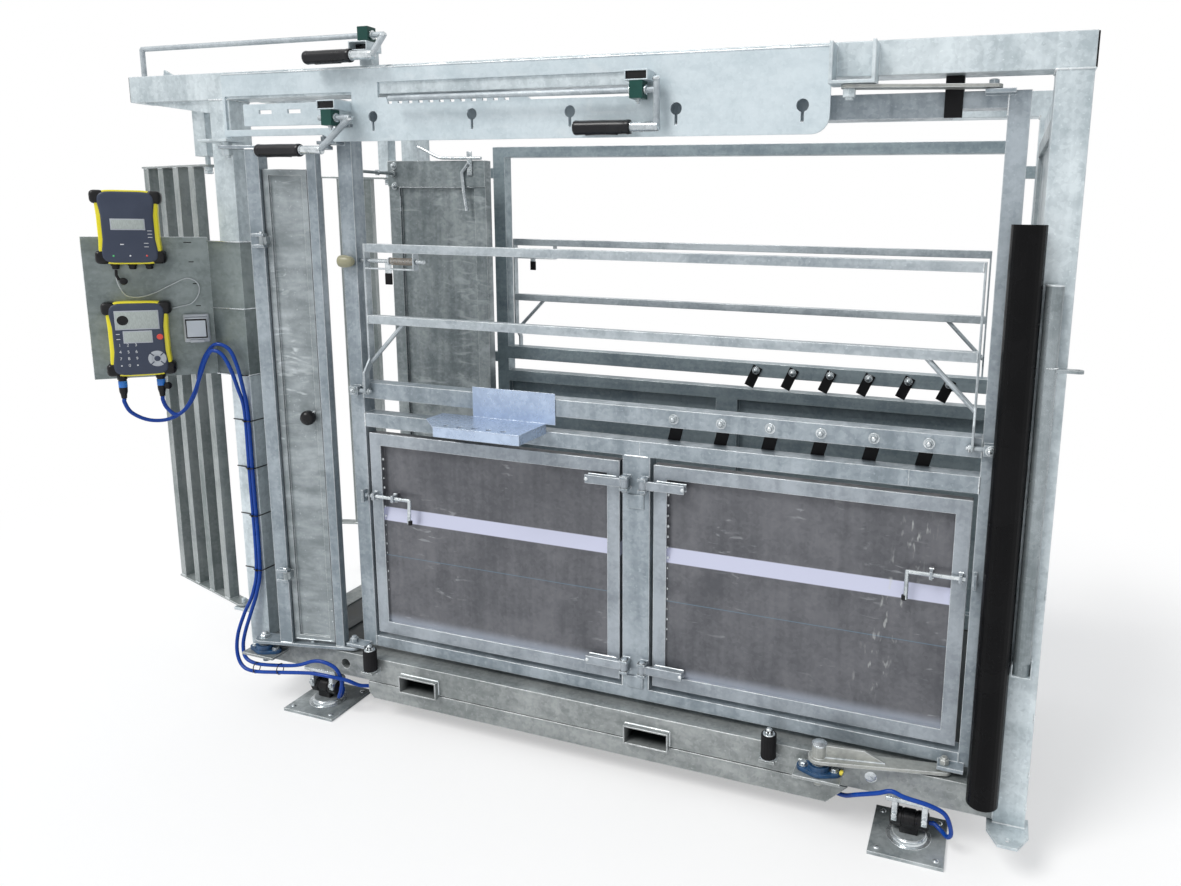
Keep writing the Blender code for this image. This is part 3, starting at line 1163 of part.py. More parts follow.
def build_tray(wall):
    """Folded sheet tray on the wall's hinge rail."""
    sheet = TRAY_SHEET
    back_y = WALL_Y - GAP
    front_y = back_y - TRAY_REACH
    x = (TRAY_FRONT_X, TRAY_FRONT_X + TRAY_WIDTH)
    floor = (TRAY_FLOOR, TRAY_FLOOR + sheet)
    loop = [(x[0], back_y), (x[1], back_y), (x[1], front_y), (x[0] + TRAY_CHAMFER, front_y),
            (x[0], front_y + TRAY_CHAMFER)]
    holes = [circle((x[0] + TRAY_CHAMFER + 0.030 + i * 0.048, front_y + 0.022), TRAY_HOLE, 10)
             for i in range(TRAY_HOLE_COUNT)]
    lip = (TRAY_FLOOR - TRAY_LIP, TRAY_FLOOR + sheet / 2)
    inset = sheet / 4
    node("tray", wall, "zinc", [
        flat_xy([loop, *holes], floor),
        block((x[0] + TRAY_CHAMFER + inset, x[1] - inset), (front_y + inset, front_y + sheet), lip),
        block((x[1] - sheet, x[1] - 2 * inset), (front_y + 2 * inset, back_y - inset), lip),
        block((x[0] + 0.110, x[1] + 0.030), (back_y - sheet, back_y - inset),
              (TRAY_FLOOR + inset, TRAY_FLOOR + TRAY_BACK)),
    ], solver="MANIFOLD")


def build_straps(wall):
    """Row of slanted rubber straps behind the gap under the hinge rail."""
    y = (WALL[1] + GAP, WALL[1] + GAP + STRAP_THICKNESS)
    lean = math.radians(STRAP_SLANT_DEG)
    down = Vector((-math.sin(lean), -math.cos(lean)))
    across = Vector((math.cos(lean), -math.sin(lean))) * STRAP_WIDTH / 2
    for i in range(STRAP_COUNT):
        top = Vector((STRAP_FIRST_X + i * STRAP_PITCH, STRAP_BOLT_Z)) - down * 0.015
        low = top + down * STRAP_LENGTH
        loop = [tuple(top - across), tuple(top + across), tuple(low + across), tuple(low - across)]
        node(f"strap_{i + 1}", wall, "black_rubber", [flat_xz([loop], y)])


def spring_points(x, y, z):
    """Points of the coil: straight end, even curls round X, straight end."""
    points = []
    steps = SPRING_TURNS * SPRING_STEPS
    for i in range(steps + 1):
        angle = 2 * math.pi * i / SPRING_STEPS
        points.append(Vector((x + SPRING_LENGTH * i / steps, y + SPRING_RADIUS * math.cos(angle),
                              z + SPRING_RADIUS * math.sin(angle))))
    return points


def coil_gap(points):
    """Least gap of the coil to itself, measured on its points."""
    least = min((a - b).length for i, a in enumerate(points)
                for b in points[i + SPRING_STEPS // 2:])
    return least - 2 * SPRING_WIRE


def gate_ears():
    """Blocks on a wall's posts that hold the rail gate's two bolts."""
    return [block(x, (GATE_AXIS_Y - GATE_BOLT - 0.006, WALL_Y + 0.002), around(GATE_AXIS_Z, 0.028))
            for x in ((WALL_BAY[0] - GATE_EAR, WALL_BAY[0] - 0.004),
                      (WALL_BAY[1] + 0.004, WALL_BAY[1] + GATE_EAR))]


def gate_bores():
    """Bores in those blocks for the rail gate's bolts."""
    depth = GATE_BOLT_ENTRY + 0.002
    return [rod((end, GATE_AXIS_Y, GATE_AXIS_Z), (end + toward * depth, GATE_AXIS_Y, GATE_AXIS_Z),
                GATE_BOLT + FIT, 16) for end, toward in ((WALL_BAY[0], -1), (WALL_BAY[1], 1))]


def build_rail_gate(parent, side, place):
    """Gate of two rails that folds down, with a sprung latch at its front end."""
    span = (WALL_BAY[0] + GATE_END_GAP, WALL_BAY[1] - GATE_END_GAP)
    rail_y = (WALL_Y + 0.005, WALL_Y + 0.005 + GATE_TUBE)
    rails = [(low, low + GATE_TUBE) for low in (GATE_TOP_RAIL_BOTTOM, GATE_MID_RAIL_BOTTOM)]
    shift = place or Matrix.Identity(4)
    axis = shift @ Vector((span[0], GATE_AXIS_Y, GATE_AXIS_Z))
    body = frame(f"rail_gate_{side}_axis", axis, parent)
    pieces = [block(span, rail_y, z) for z in rails]
    for end, toward in ((span[0], 1), (span[1], -1)):
        x = sorted((end, end + toward * GATE_FLAT))
        eye = arc((GATE_AXIS_Y, GATE_AXIS_Z), GATE_EYE, 180, 360, 8)
        flat = eye + [(GATE_AXIS_Y + GATE_EYE, GATE_AXIS_Z + 0.060), (rail_y[1], GATE_AXIS_Z + 0.100),
                      (rail_y[1], rails[0][1]), (rail_y[0], rails[0][1]),
                      (rail_y[0], GATE_AXIS_Z + 0.100), (GATE_AXIS_Y - GATE_EYE, GATE_AXIS_Z + 0.060)]
        pieces.append(flat_yz([flat], x))
        bolt_end = end - toward * (GATE_END_GAP + GATE_BOLT_ENTRY)
        pieces.append(rod((end + toward * 0.002, GATE_AXIS_Y, GATE_AXIS_Z),
                          (bolt_end, GATE_AXIS_Y, GATE_AXIS_Z), GATE_BOLT, 12))
        low = (end + toward * 0.004, mid(rail_y), GATE_AXIS_Z + 0.090)
        high = (end + toward * BRACE_RUN, mid(rail_y), rails[1][0] + 0.004)
        pieces.append(rod(low, high, BRACE_RADIUS, 8))
    rod_z = rails[0][0] - SPRING_HOUSING_HEIGHT / 2
    rod_y = mid(rail_y)
    housing_x = (span[0] + GATE_FLAT - 0.002, span[0] + SPRING_HOUSING)
    strip = 0.004
    low_z = rails[0][0] - SPRING_HOUSING_HEIGHT
    pieces += [block(housing_x, rail_y, (low_z, low_z + strip)),
               block((housing_x[1] - strip, housing_x[1]), rail_y, (low_z, rails[0][0] + 0.002))]
    cuts = [rod((x - 0.01, rod_y, rod_z), (x + 0.01, rod_y, rod_z), SPRING_ROD + FIT, 12)
            for x in (span[0], housing_x[1])]
    slot = (span[0] + 0.070, span[0] + 0.070 + 0.075)
    cuts.append(block(slot, (rod_y - 0.0045, rod_y + 0.0045), (low_z - 0.004, low_z + strip + 0.004)))
    node(f"rail_gate_{side}", body, "zinc", pieces, cuts, place=place)

    latch = frame(f"gate_latch_{side}_axis", shift @ Vector((span[0], rod_y, rod_z)), body)
    knob_x = span[0] - GATE_END_GAP + 0.003
    tab = (slot[0] + 0.003, slot[0] + 0.023)
    node(f"gate_latch_{side}", latch, "zinc", [
        rod((knob_x, rod_y, rod_z), (housing_x[1] + 0.030, rod_y, rod_z), SPRING_ROD),
        rod((tab[1] - 0.004, rod_y, rod_z), (tab[1], rod_y, rod_z), SPRING_RADIUS + 0.002),
        block(tab, around(rod_y, 0.006), (low_z - 0.045, rod_z))], place=place)
    if side == "near":
        coil = spring_points(tab[1] + SPRING_WIRE + GAP, rod_y, rod_z)
        print(f"gate_spring: least gap to itself {coil_gap(coil) * 1000:.2f} mm")
        node("gate_spring", latch, "spring_steel", [tube(coil, SPRING_WIRE, 1)], smooth_deg=80)


def build_far_wall(root):
    """Fixed far wall: the near wall's frame mirrored, with a sheet in place of doors."""
    foot = BASE_TOP + GAP
    bay_x = (WALL_FRONT[0] + 0.002, WALL_REAR[1] - 0.002)
    top = WALL_TOP - 0.040
    sheet_y = (WALL[0] + 0.020, WALL[0] + 0.024)
    pieces = [
        block(WALL_REAR, WALL, (foot, top)),
        block(WALL_FRONT, WALL, (foot, top)),
        block(bay_x, WALL, (top - TOP_TUBE, top)),
        block(bay_x, WALL, (foot, WALL_BOTTOM + BOTTOM_RAIL)),
        block(bay_x, WALL, (LOWER_RAIL_BOTTOM, LOWER_RAIL_BOTTOM + LOWER_RAIL)),
        block(bay_x, WALL, (HINGE_RAIL_BOTTOM, HINGE_RAIL_BOTTOM + HINGE_RAIL)),
        block(MID_POST, WALL, (WALL_BOTTOM + BOTTOM_RAIL - 0.002, LOWER_RAIL_BOTTOM + 0.002)),
        block(bay_x, sheet_y, (WALL_BOTTOM + BOTTOM_RAIL - 0.004, LOWER_RAIL_BOTTOM + 0.004)),
    ]
    for x in (WALL_REAR[1], WALL_FRONT[0]):
        reach = (WALL_REAR[1] - 0.004, REAR_POST[0] - GAP) if x == WALL_REAR[1] else (
            FRONT_POST[1] + GAP, WALL_FRONT[0] + 0.004)
        pieces.append(block(reach, (WALL[0] + 0.010, POST), around(top - 0.100, TOP_TUBE)))
        pieces.append(block(reach, (WALL[0] + 0.010, POST), around(HINGE_RAIL_BOTTOM, TOP_TUBE)))
    node("wall_far", root, "zinc_dark", pieces + gate_ears(), gate_bores(), place=MIRROR)
    build_rail_gate(root, "far", MIRROR)

    y = around(FAR_PANEL_Y, FAR_PANEL_DEPTH)
    hinge = Vector((FAR_PANEL_X[0], FAR_Y - NECK_FAR_SETOFF, 0))
    body = frame("neck_far_axis", hinge, root)
    z = (ARM_BOTTOM, FAR_PANEL_TOP)
    box_z = (FAR_PANEL_TOP - FAR_PANEL_BOX, FAR_PANEL_TOP)
    pieces = [
        block((FAR_PANEL_X[0] + 0.045, FAR_PANEL_X[1] - 0.045), (y[0] + 0.012, y[0] + 0.016), z),
        block((FAR_PANEL_X[0], FAR_PANEL_X[0] + 0.050), y, z),
        block((FAR_PANEL_X[1] - 0.050, FAR_PANEL_X[1]), y, z),
        block(FAR_PANEL_X, (y[0] - 0.004, y[1]), box_z),
        block((FAR_PANEL_X[0] + 0.002, FAR_PANEL_X[1] - 0.002), y, (z[0], z[0] + 0.040)),
        rod((FAR_PANEL_X[0] + 0.030, y[0] - 0.260, mid(box_z)),
            (FAR_PANEL_X[0] + 0.030, y[0] + 0.010, mid(box_z)), 0.006, 10),
        rod((FAR_PANEL_X[0] + 0.030, y[0] - 0.016, mid(box_z)),
            (FAR_PANEL_X[0] + 0.030, y[0] + 0.010, mid(box_z)), 0.014, 6),
    ]
    for knuckle in neck_knuckles():
        pieces.append(block(around(hinge.x, 0.028), (y[1] - 0.004, hinge.y + 0.014), knuckle))
    cuts = [rod((hinge.x, hinge.y, z[0] - 0.01), (hinge.x, hinge.y, z[1] + 0.01), HINGE_PIN + FIT, 12)]
    node("neck_far", body, "zinc_dark", pieces, cuts)


def build_wings(root):
    """Pair of barred wings in front of the head end."""
    turn = Matrix.Rotation(math.pi - WING_LEAN, 4, "Z")
    set_up = Matrix.Translation((WING_HINGE_X, WING_HINGE_Y, 0)) @ turn
    for name, shift in (("near", Matrix.Identity(4)), ("far", MIRROR)):
        body = frame(f"wing_{name}_axis", shift @ Vector((WING_HINGE_X, WING_HINGE_Y, 0)), root)
        pieces = []
        for z in ((WING_BOTTOM, WING_BOTTOM + WING_FLAT), (WING_TOP - WING_FLAT, WING_TOP)):
            loop = arc((0, 0), WING_HALF, 90, 270, 6) + [(WING_LENGTH, -WING_HALF), (WING_LENGTH, WING_HALF)]
            pieces.append(flat_xy([loop, circle((0, 0), PIN_RADIUS + FIT)], z))
        pitch = (WING_LENGTH - WING_BAR - 0.070) / (WING_BAR_COUNT - 1)
        for i in range(WING_BAR_COUNT):
            x = 0.070 + WING_BAR / 2 + i * pitch - 0.002
            pieces.append(block(around(x, WING_BAR), around(0, WING_BAR),
                                (WING_BOTTOM + WING_FLAT - 0.002, WING_TOP - WING_FLAT + 0.002)))
        node("wing_" + name, body, "zinc", pieces, place=shift @ set_up)


def build_rear_gate(root):
    """Sheeted gate between the rear posts, hung on the far one."""
    x = (REAR_POST[0] + 0.002, REAR_POST[0] + 0.002 + REAR_GATE_THICKNESS)
    hinge = Vector((mid(x), FAR_Y - REAR_HINGE_SETOFF, 0))
    y = (POST + REAR_GATE_NEAR_GAP, hinge.y - HINGE_BARREL - 0.006)
    z = (REAR_GATE_BOTTOM, REAR_GATE_TOP)
    body = frame("rear_gate_axis", hinge, root)
    rim = REAR_GATE_FRAME
    pieces = [
        block(x, (y[0], y[0] + rim), z),
        block(x, (y[1] - rim, y[1]), z),
        block(x, (y[0] + 0.002, y[1] - 0.002), (z[0], z[0] + rim)),
        block(x, (y[0] + 0.002, y[1] - 0.002), (z[1] - rim, z[1])),
        block(x, (y[0] + 0.002, y[1] - 0.002), around(mid(z), rim)),
        block(around(mid(x), 0.004), (y[0] + 0.010, y[1] - 0.010), (z[0] + 0.010, z[1] - 0.010)),
    ]
    cuts = []
    for low in rear_hinge_heights():
        barrel = (low + GAP, low + HINGE_BARREL_HEIGHT - GAP)
        pieces.append(rod((hinge.x, hinge.y, barrel[0]), (hinge.x, hinge.y, barrel[1]), HINGE_BARREL, 14))
        pieces.append(block(around(hinge.x, 0.010), (y[1] - 0.004, hinge.y), barrel))
        cuts.append(rod((hinge.x, hinge.y, low - 0.01), (hinge.x, hinge.y, low + 0.04), HINGE_PIN + FIT, 14))
    node("rear_gate", body, "zinc", pieces, cuts)


def build_post_fittings(root):
    """Plastic sleeve and stored lever on the near rear post."""
    y = -SLEEVE_RADIUS - GAP
    node("post_sleeve", root, "black_plastic",
         [rod((SLEEVE_X, y, SLEEVE_BOTTOM), (SLEEVE_X, y, SLEEVE_TOP), SLEEVE_RADIUS, 24)],
         [rod((SLEEVE_X, y, SLEEVE_BOTTOM - 0.01), (SLEEVE_X, y, SLEEVE_TOP + 0.01),
              SLEEVE_RADIUS - SLEEVE_WALL, 24)])
    body = frame("lever_axis", (LEVER_X, LEVER_Y, LEVER_BOTTOM), root)
    tab_end = LEVER_X + LEVER_TAB_REACH
    tab_x = (LEVER_X + LEVER_RADIUS - 0.003, tab_end - 0.012)
    loop = [(tab_x[0], LEVER_Y - 0.012), *arc((tab_end - 0.012, LEVER_Y), 0.012, -90, 90, 6),
            (tab_x[0], LEVER_Y + 0.012)]
    hole = circle((tab_end - 0.014, LEVER_Y), 0.006, 10)
    node("lever_pipe", body, "zinc",
         [rod((LEVER_X, LEVER_Y, LEVER_BOTTOM), (LEVER_X, LEVER_Y, LEVER_TOP), LEVER_RADIUS, 18),
          flat_xy([loop, hole], around(LEVER_TAB_Z, 0.008))],
         [rod((LEVER_X, LEVER_Y, LEVER_BOTTOM - 0.01), (LEVER_X, LEVER_Y, LEVER_TOP + 0.01),
              LEVER_RADIUS - LEVER_WALL, 18)])


def panel_place():
    """Matrix of the unit panel: +X along the panel away from its fold, +Y to its back."""
    fold = Matrix.Translation((PANEL_FOLD_X, -GAP - PANEL_SHEET, 0))
    return fold @ Matrix.Rotation(PANEL_TURN, 4, "Z") @ Matrix.Scale(-1, 4, (1, 0, 0))


def on_panel(reach, stand_off, z):
    """Datum point at a reach along the panel and a distance in front of it."""
    return panel_place() @ Vector((reach, -PANEL_SHEET / 2 - stand_off, z))


def case_outline(height, bottom):
    """Waisted front view of an instrument case."""
    half = UNIT_WIDTH / 2
    waist = half - 0.012
    corner = 0.028
    return [(UNIT_CENTRE - half + corner, bottom), (UNIT_CENTRE + half - corner, bottom),
            (UNIT_CENTRE + half, bottom + corner), (UNIT_CENTRE + waist, bottom + height * 0.35),
            (UNIT_CENTRE + waist, bottom + height * 0.65), (UNIT_CENTRE + half, bottom + height - corner),
            (UNIT_CENTRE + half - corner, bottom + height), (UNIT_CENTRE - half + corner, bottom + height),
            (UNIT_CENTRE - half, bottom + height - corner), (UNIT_CENTRE - waist, bottom + height * 0.65),
            (UNIT_CENTRE - waist, bottom + height * 0.35), (UNIT_CENTRE - half, bottom + corner)]


def build_panel(root):
    """Folded unit panel, its two instrument cases, socket box and lead."""
    place = panel_place()
    back = -GAP
    sheet = PANEL_SHEET
    wing = block((-0.001, PANEL_LENGTH), around(0, sheet), (PANEL_BOTTOM, PANEL_TOP))
    wing.data.transform(place)
    wing.data.flip_normals()
    front_y = (back - sheet, back)
    side_x = (FRONT_POST[1] + GAP, FRONT_POST[1] + GAP + sheet)
    pieces = [wing]
    for z in ((PANEL_BOTTOM, PANEL_SLIT_Z - 0.001), (PANEL_SLIT_Z + 0.001, PANEL_TOP - 0.012)):
        pieces.append(block((PANEL_FOLD_X - 0.001, side_x[1]), front_y, z))
        pieces.append(block(side_x, (front_y[0], POST), z))
    node("unit_panel", root, "zinc_dark", pieces)

    case_y = (-sheet / 2 - GAP - UNIT_DEPTH, -sheet / 2 - GAP)
    plug_y = case_y[1] - PLUG_DEPTH
    reader = [flat_xz([case_outline(READER_HEIGHT, READER_BOTTOM)], case_y)]
    for offset in (0.045, 0.0, -0.045):
        x = UNIT_CENTRE + offset
        reader.append(rod((x, plug_y, READER_BOTTOM - 0.018), (x, plug_y, READER_BOTTOM + 0.004), 0.009, 10))
    node("reader_unit", root, "grey_case", reader, place=place)
    scale = [flat_xz([case_outline(SCALE_HEIGHT, SCALE_BOTTOM)], case_y)]
    for offset in PLUG_OFFSETS:
        x = UNIT_CENTRE + offset
        scale.append(rod((x, plug_y, SCALE_BOTTOM - PLUG_LENGTH), (x, plug_y, SCALE_BOTTOM + 0.004),
                         PLUG_RADIUS, 12))
    node("scale_unit", root, "grey_case", scale, place=place)
    node("socket_box", root, "light_grey", [
        block(around(SOCKET_CENTRE, SOCKET_WIDTH), (-sheet / 2 - GAP - SOCKET_DEPTH, -sheet / 2 - GAP),
              (SOCKET_BOTTOM, SOCKET_BOTTOM + SOCKET_HEIGHT))], place=place)

    lead = [(0.253, PLUG_DEPTH + GAP, READER_BOTTOM - 0.018 - GAP),
            (0.253, 0.028, 1.330), (0.238, 0.014, 1.288),
            (0.205, 0.008, 1.278), (0.160, 0.006, 1.290), (0.110, 0.005, 1.316), (0.065, 0.005, 1.336),
            (0.036, 0.005, 1.318), (0.036, 0.005, 1.285), (0.058, 0.006, 1.255),
            (0.090, 0.008, 1.246), (UNIT_CENTRE - UNIT_WIDTH / 2 - GAP, 0.010, 1.240)]
    route = smooth_route([on_panel(*point) for point in lead])
    node("reader_lead", root, "light_grey", [tube(route, LEAD_RADIUS, 2)], smooth_deg=60)


def build_cables(root):
    """Two cables from the scale unit, down the front post to the near load cells."""
    plug_end = SCALE_BOTTOM - PLUG_LENGTH - GAP
    reach_a, reach_b = (UNIT_CENTRE + offset for offset in PLUG_OFFSETS)
    depth = PLUG_DEPTH + GAP
    loop_a = [(reach_a, depth, plug_end), (reach_a, depth, plug_end - 0.014), (0.250, 0.030, 0.912),
              (0.205, 0.029, 0.884), (0.150, 0.028, 0.882), (0.100, 0.028, 0.912),
              (0.066, 0.028, 0.970), (0.048, 0.028, 1.040), (0.026, 0.028, 1.092)]
    loop_b = [(reach_b, depth, plug_end), (reach_b, depth, plug_end - 0.014), (0.152, 0.031, 0.920),
              (0.128, 0.040, 0.898), (0.100, 0.040, 0.914), (0.072, 0.040, 0.962),
              (0.050, 0.040, 1.020), (0.030, 0.040, 1.074)]
    cell_x = -LENGTH + FOOT_INSET
    cell_z = FLOOR + FOOT_THICKNESS + FOOT_DISC_HEIGHT + GAP + 0.010 + CELL_RADIUS
    cell_end = cell_x + CELL_LENGTH / 2 + GAP
    rear_end = -FOOT_INSET + CELL_LENGTH / 2 + GAP
    run_a = [(-2.560, -0.040, 1.124), (-2.520, -0.030, 1.110), (-2.496, -0.026, 1.060),
             (-2.485, -0.018, 0.980), (-2.4825, -0.009, 0.900), (-2.4825, -0.008, 0.700),
             (-2.4825, -0.008, 0.373), (-2.494, -0.017, 0.270), (-2.520, -0.028, 0.186),
             (-2.539, -0.038, 0.122), (-2.545, -0.046, 0.072), (-2.524, -0.057, 0.036),
             (-2.470, -0.060, 0.026), (-2.369, -0.058, 0.038), (-2.300, -0.052, 0.050),
             (-2.245, -0.048, 0.072), (-2.205, -0.042, 0.074), (-2.162, -0.036, 0.056),
             (-2.142, -0.034, 0.014), (-2.148, -0.034, -0.024), (-2.168, -0.022, -0.056),
             (-2.180, 0.006, -0.064), (cell_end + 0.014, FOOT_CENTRE_Y, cell_z),
             (cell_end + 0.006, FOOT_CENTRE_Y, cell_z), (cell_end, FOOT_CENTRE_Y, cell_z)]
    run_b = [(-2.566, -0.054, 1.104), (-2.532, -0.048, 1.094), (-2.509, -0.040, 1.048),
             (-2.499, -0.026, 0.980), (-2.4960, -0.009, 0.900), (-2.4960, -0.008, 0.700),
             (-2.4965, -0.008, 0.373), (-2.510, -0.019, 0.264), (-2.543, -0.032, 0.186),
             (-2.564, -0.046, 0.113), (-2.561, -0.058, 0.052), (-2.530, -0.070, 0.014),
             (-2.478, -0.073, 0.004), (-2.370, -0.072, 0.020), (-2.285, -0.066, 0.032),
             (-2.229, -0.062, 0.038), (-2.170, -0.056, 0.036), (-2.120, -0.036, 0.022),
             (-2.090, -0.010, -0.004), (-2.064, 0.014, -0.014), (-2.000, 0.030, -0.018),
             (-1.500, 0.030, -0.018), (-1.000, 0.030, -0.018), (-0.600, 0.030, -0.018),
             (-0.524, 0.024, -0.020), (-0.490, 0.016, -0.021), (-0.462, -0.002, -0.010),
             (-0.432, -0.020, 0.012),
             (-0.374, -0.036, 0.042), (-0.338, -0.038, 0.058), (-0.302, -0.040, 0.050),
             (-0.237, -0.040, 0.042), (-0.196, -0.036, 0.022), (-0.179, -0.022, -0.034),
             (-0.187, -0.006, -0.062), (-0.202, 0.016, -0.066),
             (rear_end + 0.014, FOOT_CENTRE_Y, cell_z), (rear_end + 0.006, FOOT_CENTRE_Y, cell_z),
             (rear_end, FOOT_CENTRE_Y, cell_z)]
    for name, loop, run in (("cable_front", loop_a, run_a), ("cable_rear", loop_b, run_b)):
        points = [on_panel(*point) for point in loop] + [Vector(point) for point in run]
        node(name, root, "blue_cable", [tube(smooth_route(points), CABLE_RADIUS, 2)], smooth_deg=60)


def build():
    """Build the whole crush under one datum empty."""
    root = bpy.data.objects.new("datum", None)
    PARTS.objects.link(root)
    root["place"] = (0.0, 0.0, 0.0)
    root.location = DATUM
    build_frames(root)
    build_top_plate(root)
    build_handles(root)
    build_feet(root)
    build_bearings(root)
    build_arms(root)
    build_near_wall(root)
    build_far_wall(root)
    build_wings(root)
    build_rear_gate(root)
    build_post_fittings(root)
    build_panel(root)
    build_cables(root)
    bpy.context.view_layer.update()


build()
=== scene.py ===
"""Looks of a walk-in cattle crush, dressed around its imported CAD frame.

Sizes are in metres in the drawing's datum frame: X runs from the rear end (0) to the head
end (minus), Y from the operator's side to the far side, Z is height over the frame's foot.
"""

import logging
import math
from dataclasses import dataclass, field
from enum import Enum

import bmesh
import bpy
from mathutils import Matrix, Vector


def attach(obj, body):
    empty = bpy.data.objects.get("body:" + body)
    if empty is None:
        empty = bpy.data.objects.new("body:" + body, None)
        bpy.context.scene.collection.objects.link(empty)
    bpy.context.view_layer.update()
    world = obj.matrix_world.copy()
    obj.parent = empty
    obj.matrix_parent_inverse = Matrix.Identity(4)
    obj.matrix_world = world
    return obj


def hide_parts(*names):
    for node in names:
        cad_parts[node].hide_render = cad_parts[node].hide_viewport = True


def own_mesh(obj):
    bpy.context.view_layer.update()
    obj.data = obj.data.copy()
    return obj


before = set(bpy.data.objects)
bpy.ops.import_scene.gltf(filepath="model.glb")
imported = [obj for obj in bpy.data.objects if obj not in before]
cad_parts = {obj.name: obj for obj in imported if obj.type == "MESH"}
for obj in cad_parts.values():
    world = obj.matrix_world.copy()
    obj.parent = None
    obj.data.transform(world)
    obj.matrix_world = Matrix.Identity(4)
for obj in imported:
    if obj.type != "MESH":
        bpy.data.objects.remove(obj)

LOG = logging.getLogger("cattle_crush")
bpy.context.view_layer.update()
DATUM = Vector((1.5166, -0.42117, 0.12))
WIDTH = 1.020
STRAP_COUNT = 6
STRAP_X = tuple(-0.999 + 0.139 * i for i in range(STRAP_COUNT))
Triple = tuple[float, float, float]
Pair = tuple[float, float]


class Grain(Enum):
    """How the streaks of a zinc coat stretch along X, Y and Z."""

    DOWN = (26.0, 26.0, 2.2)
    ALONG = (2.0, 26.0, 30.0)
    SLANTED = (9.0, 9.0, 30.0)


class Side(Enum):
    """Operator's side or the far side of the crush."""

    NEAR = 1
    FAR = -1


# Finishes


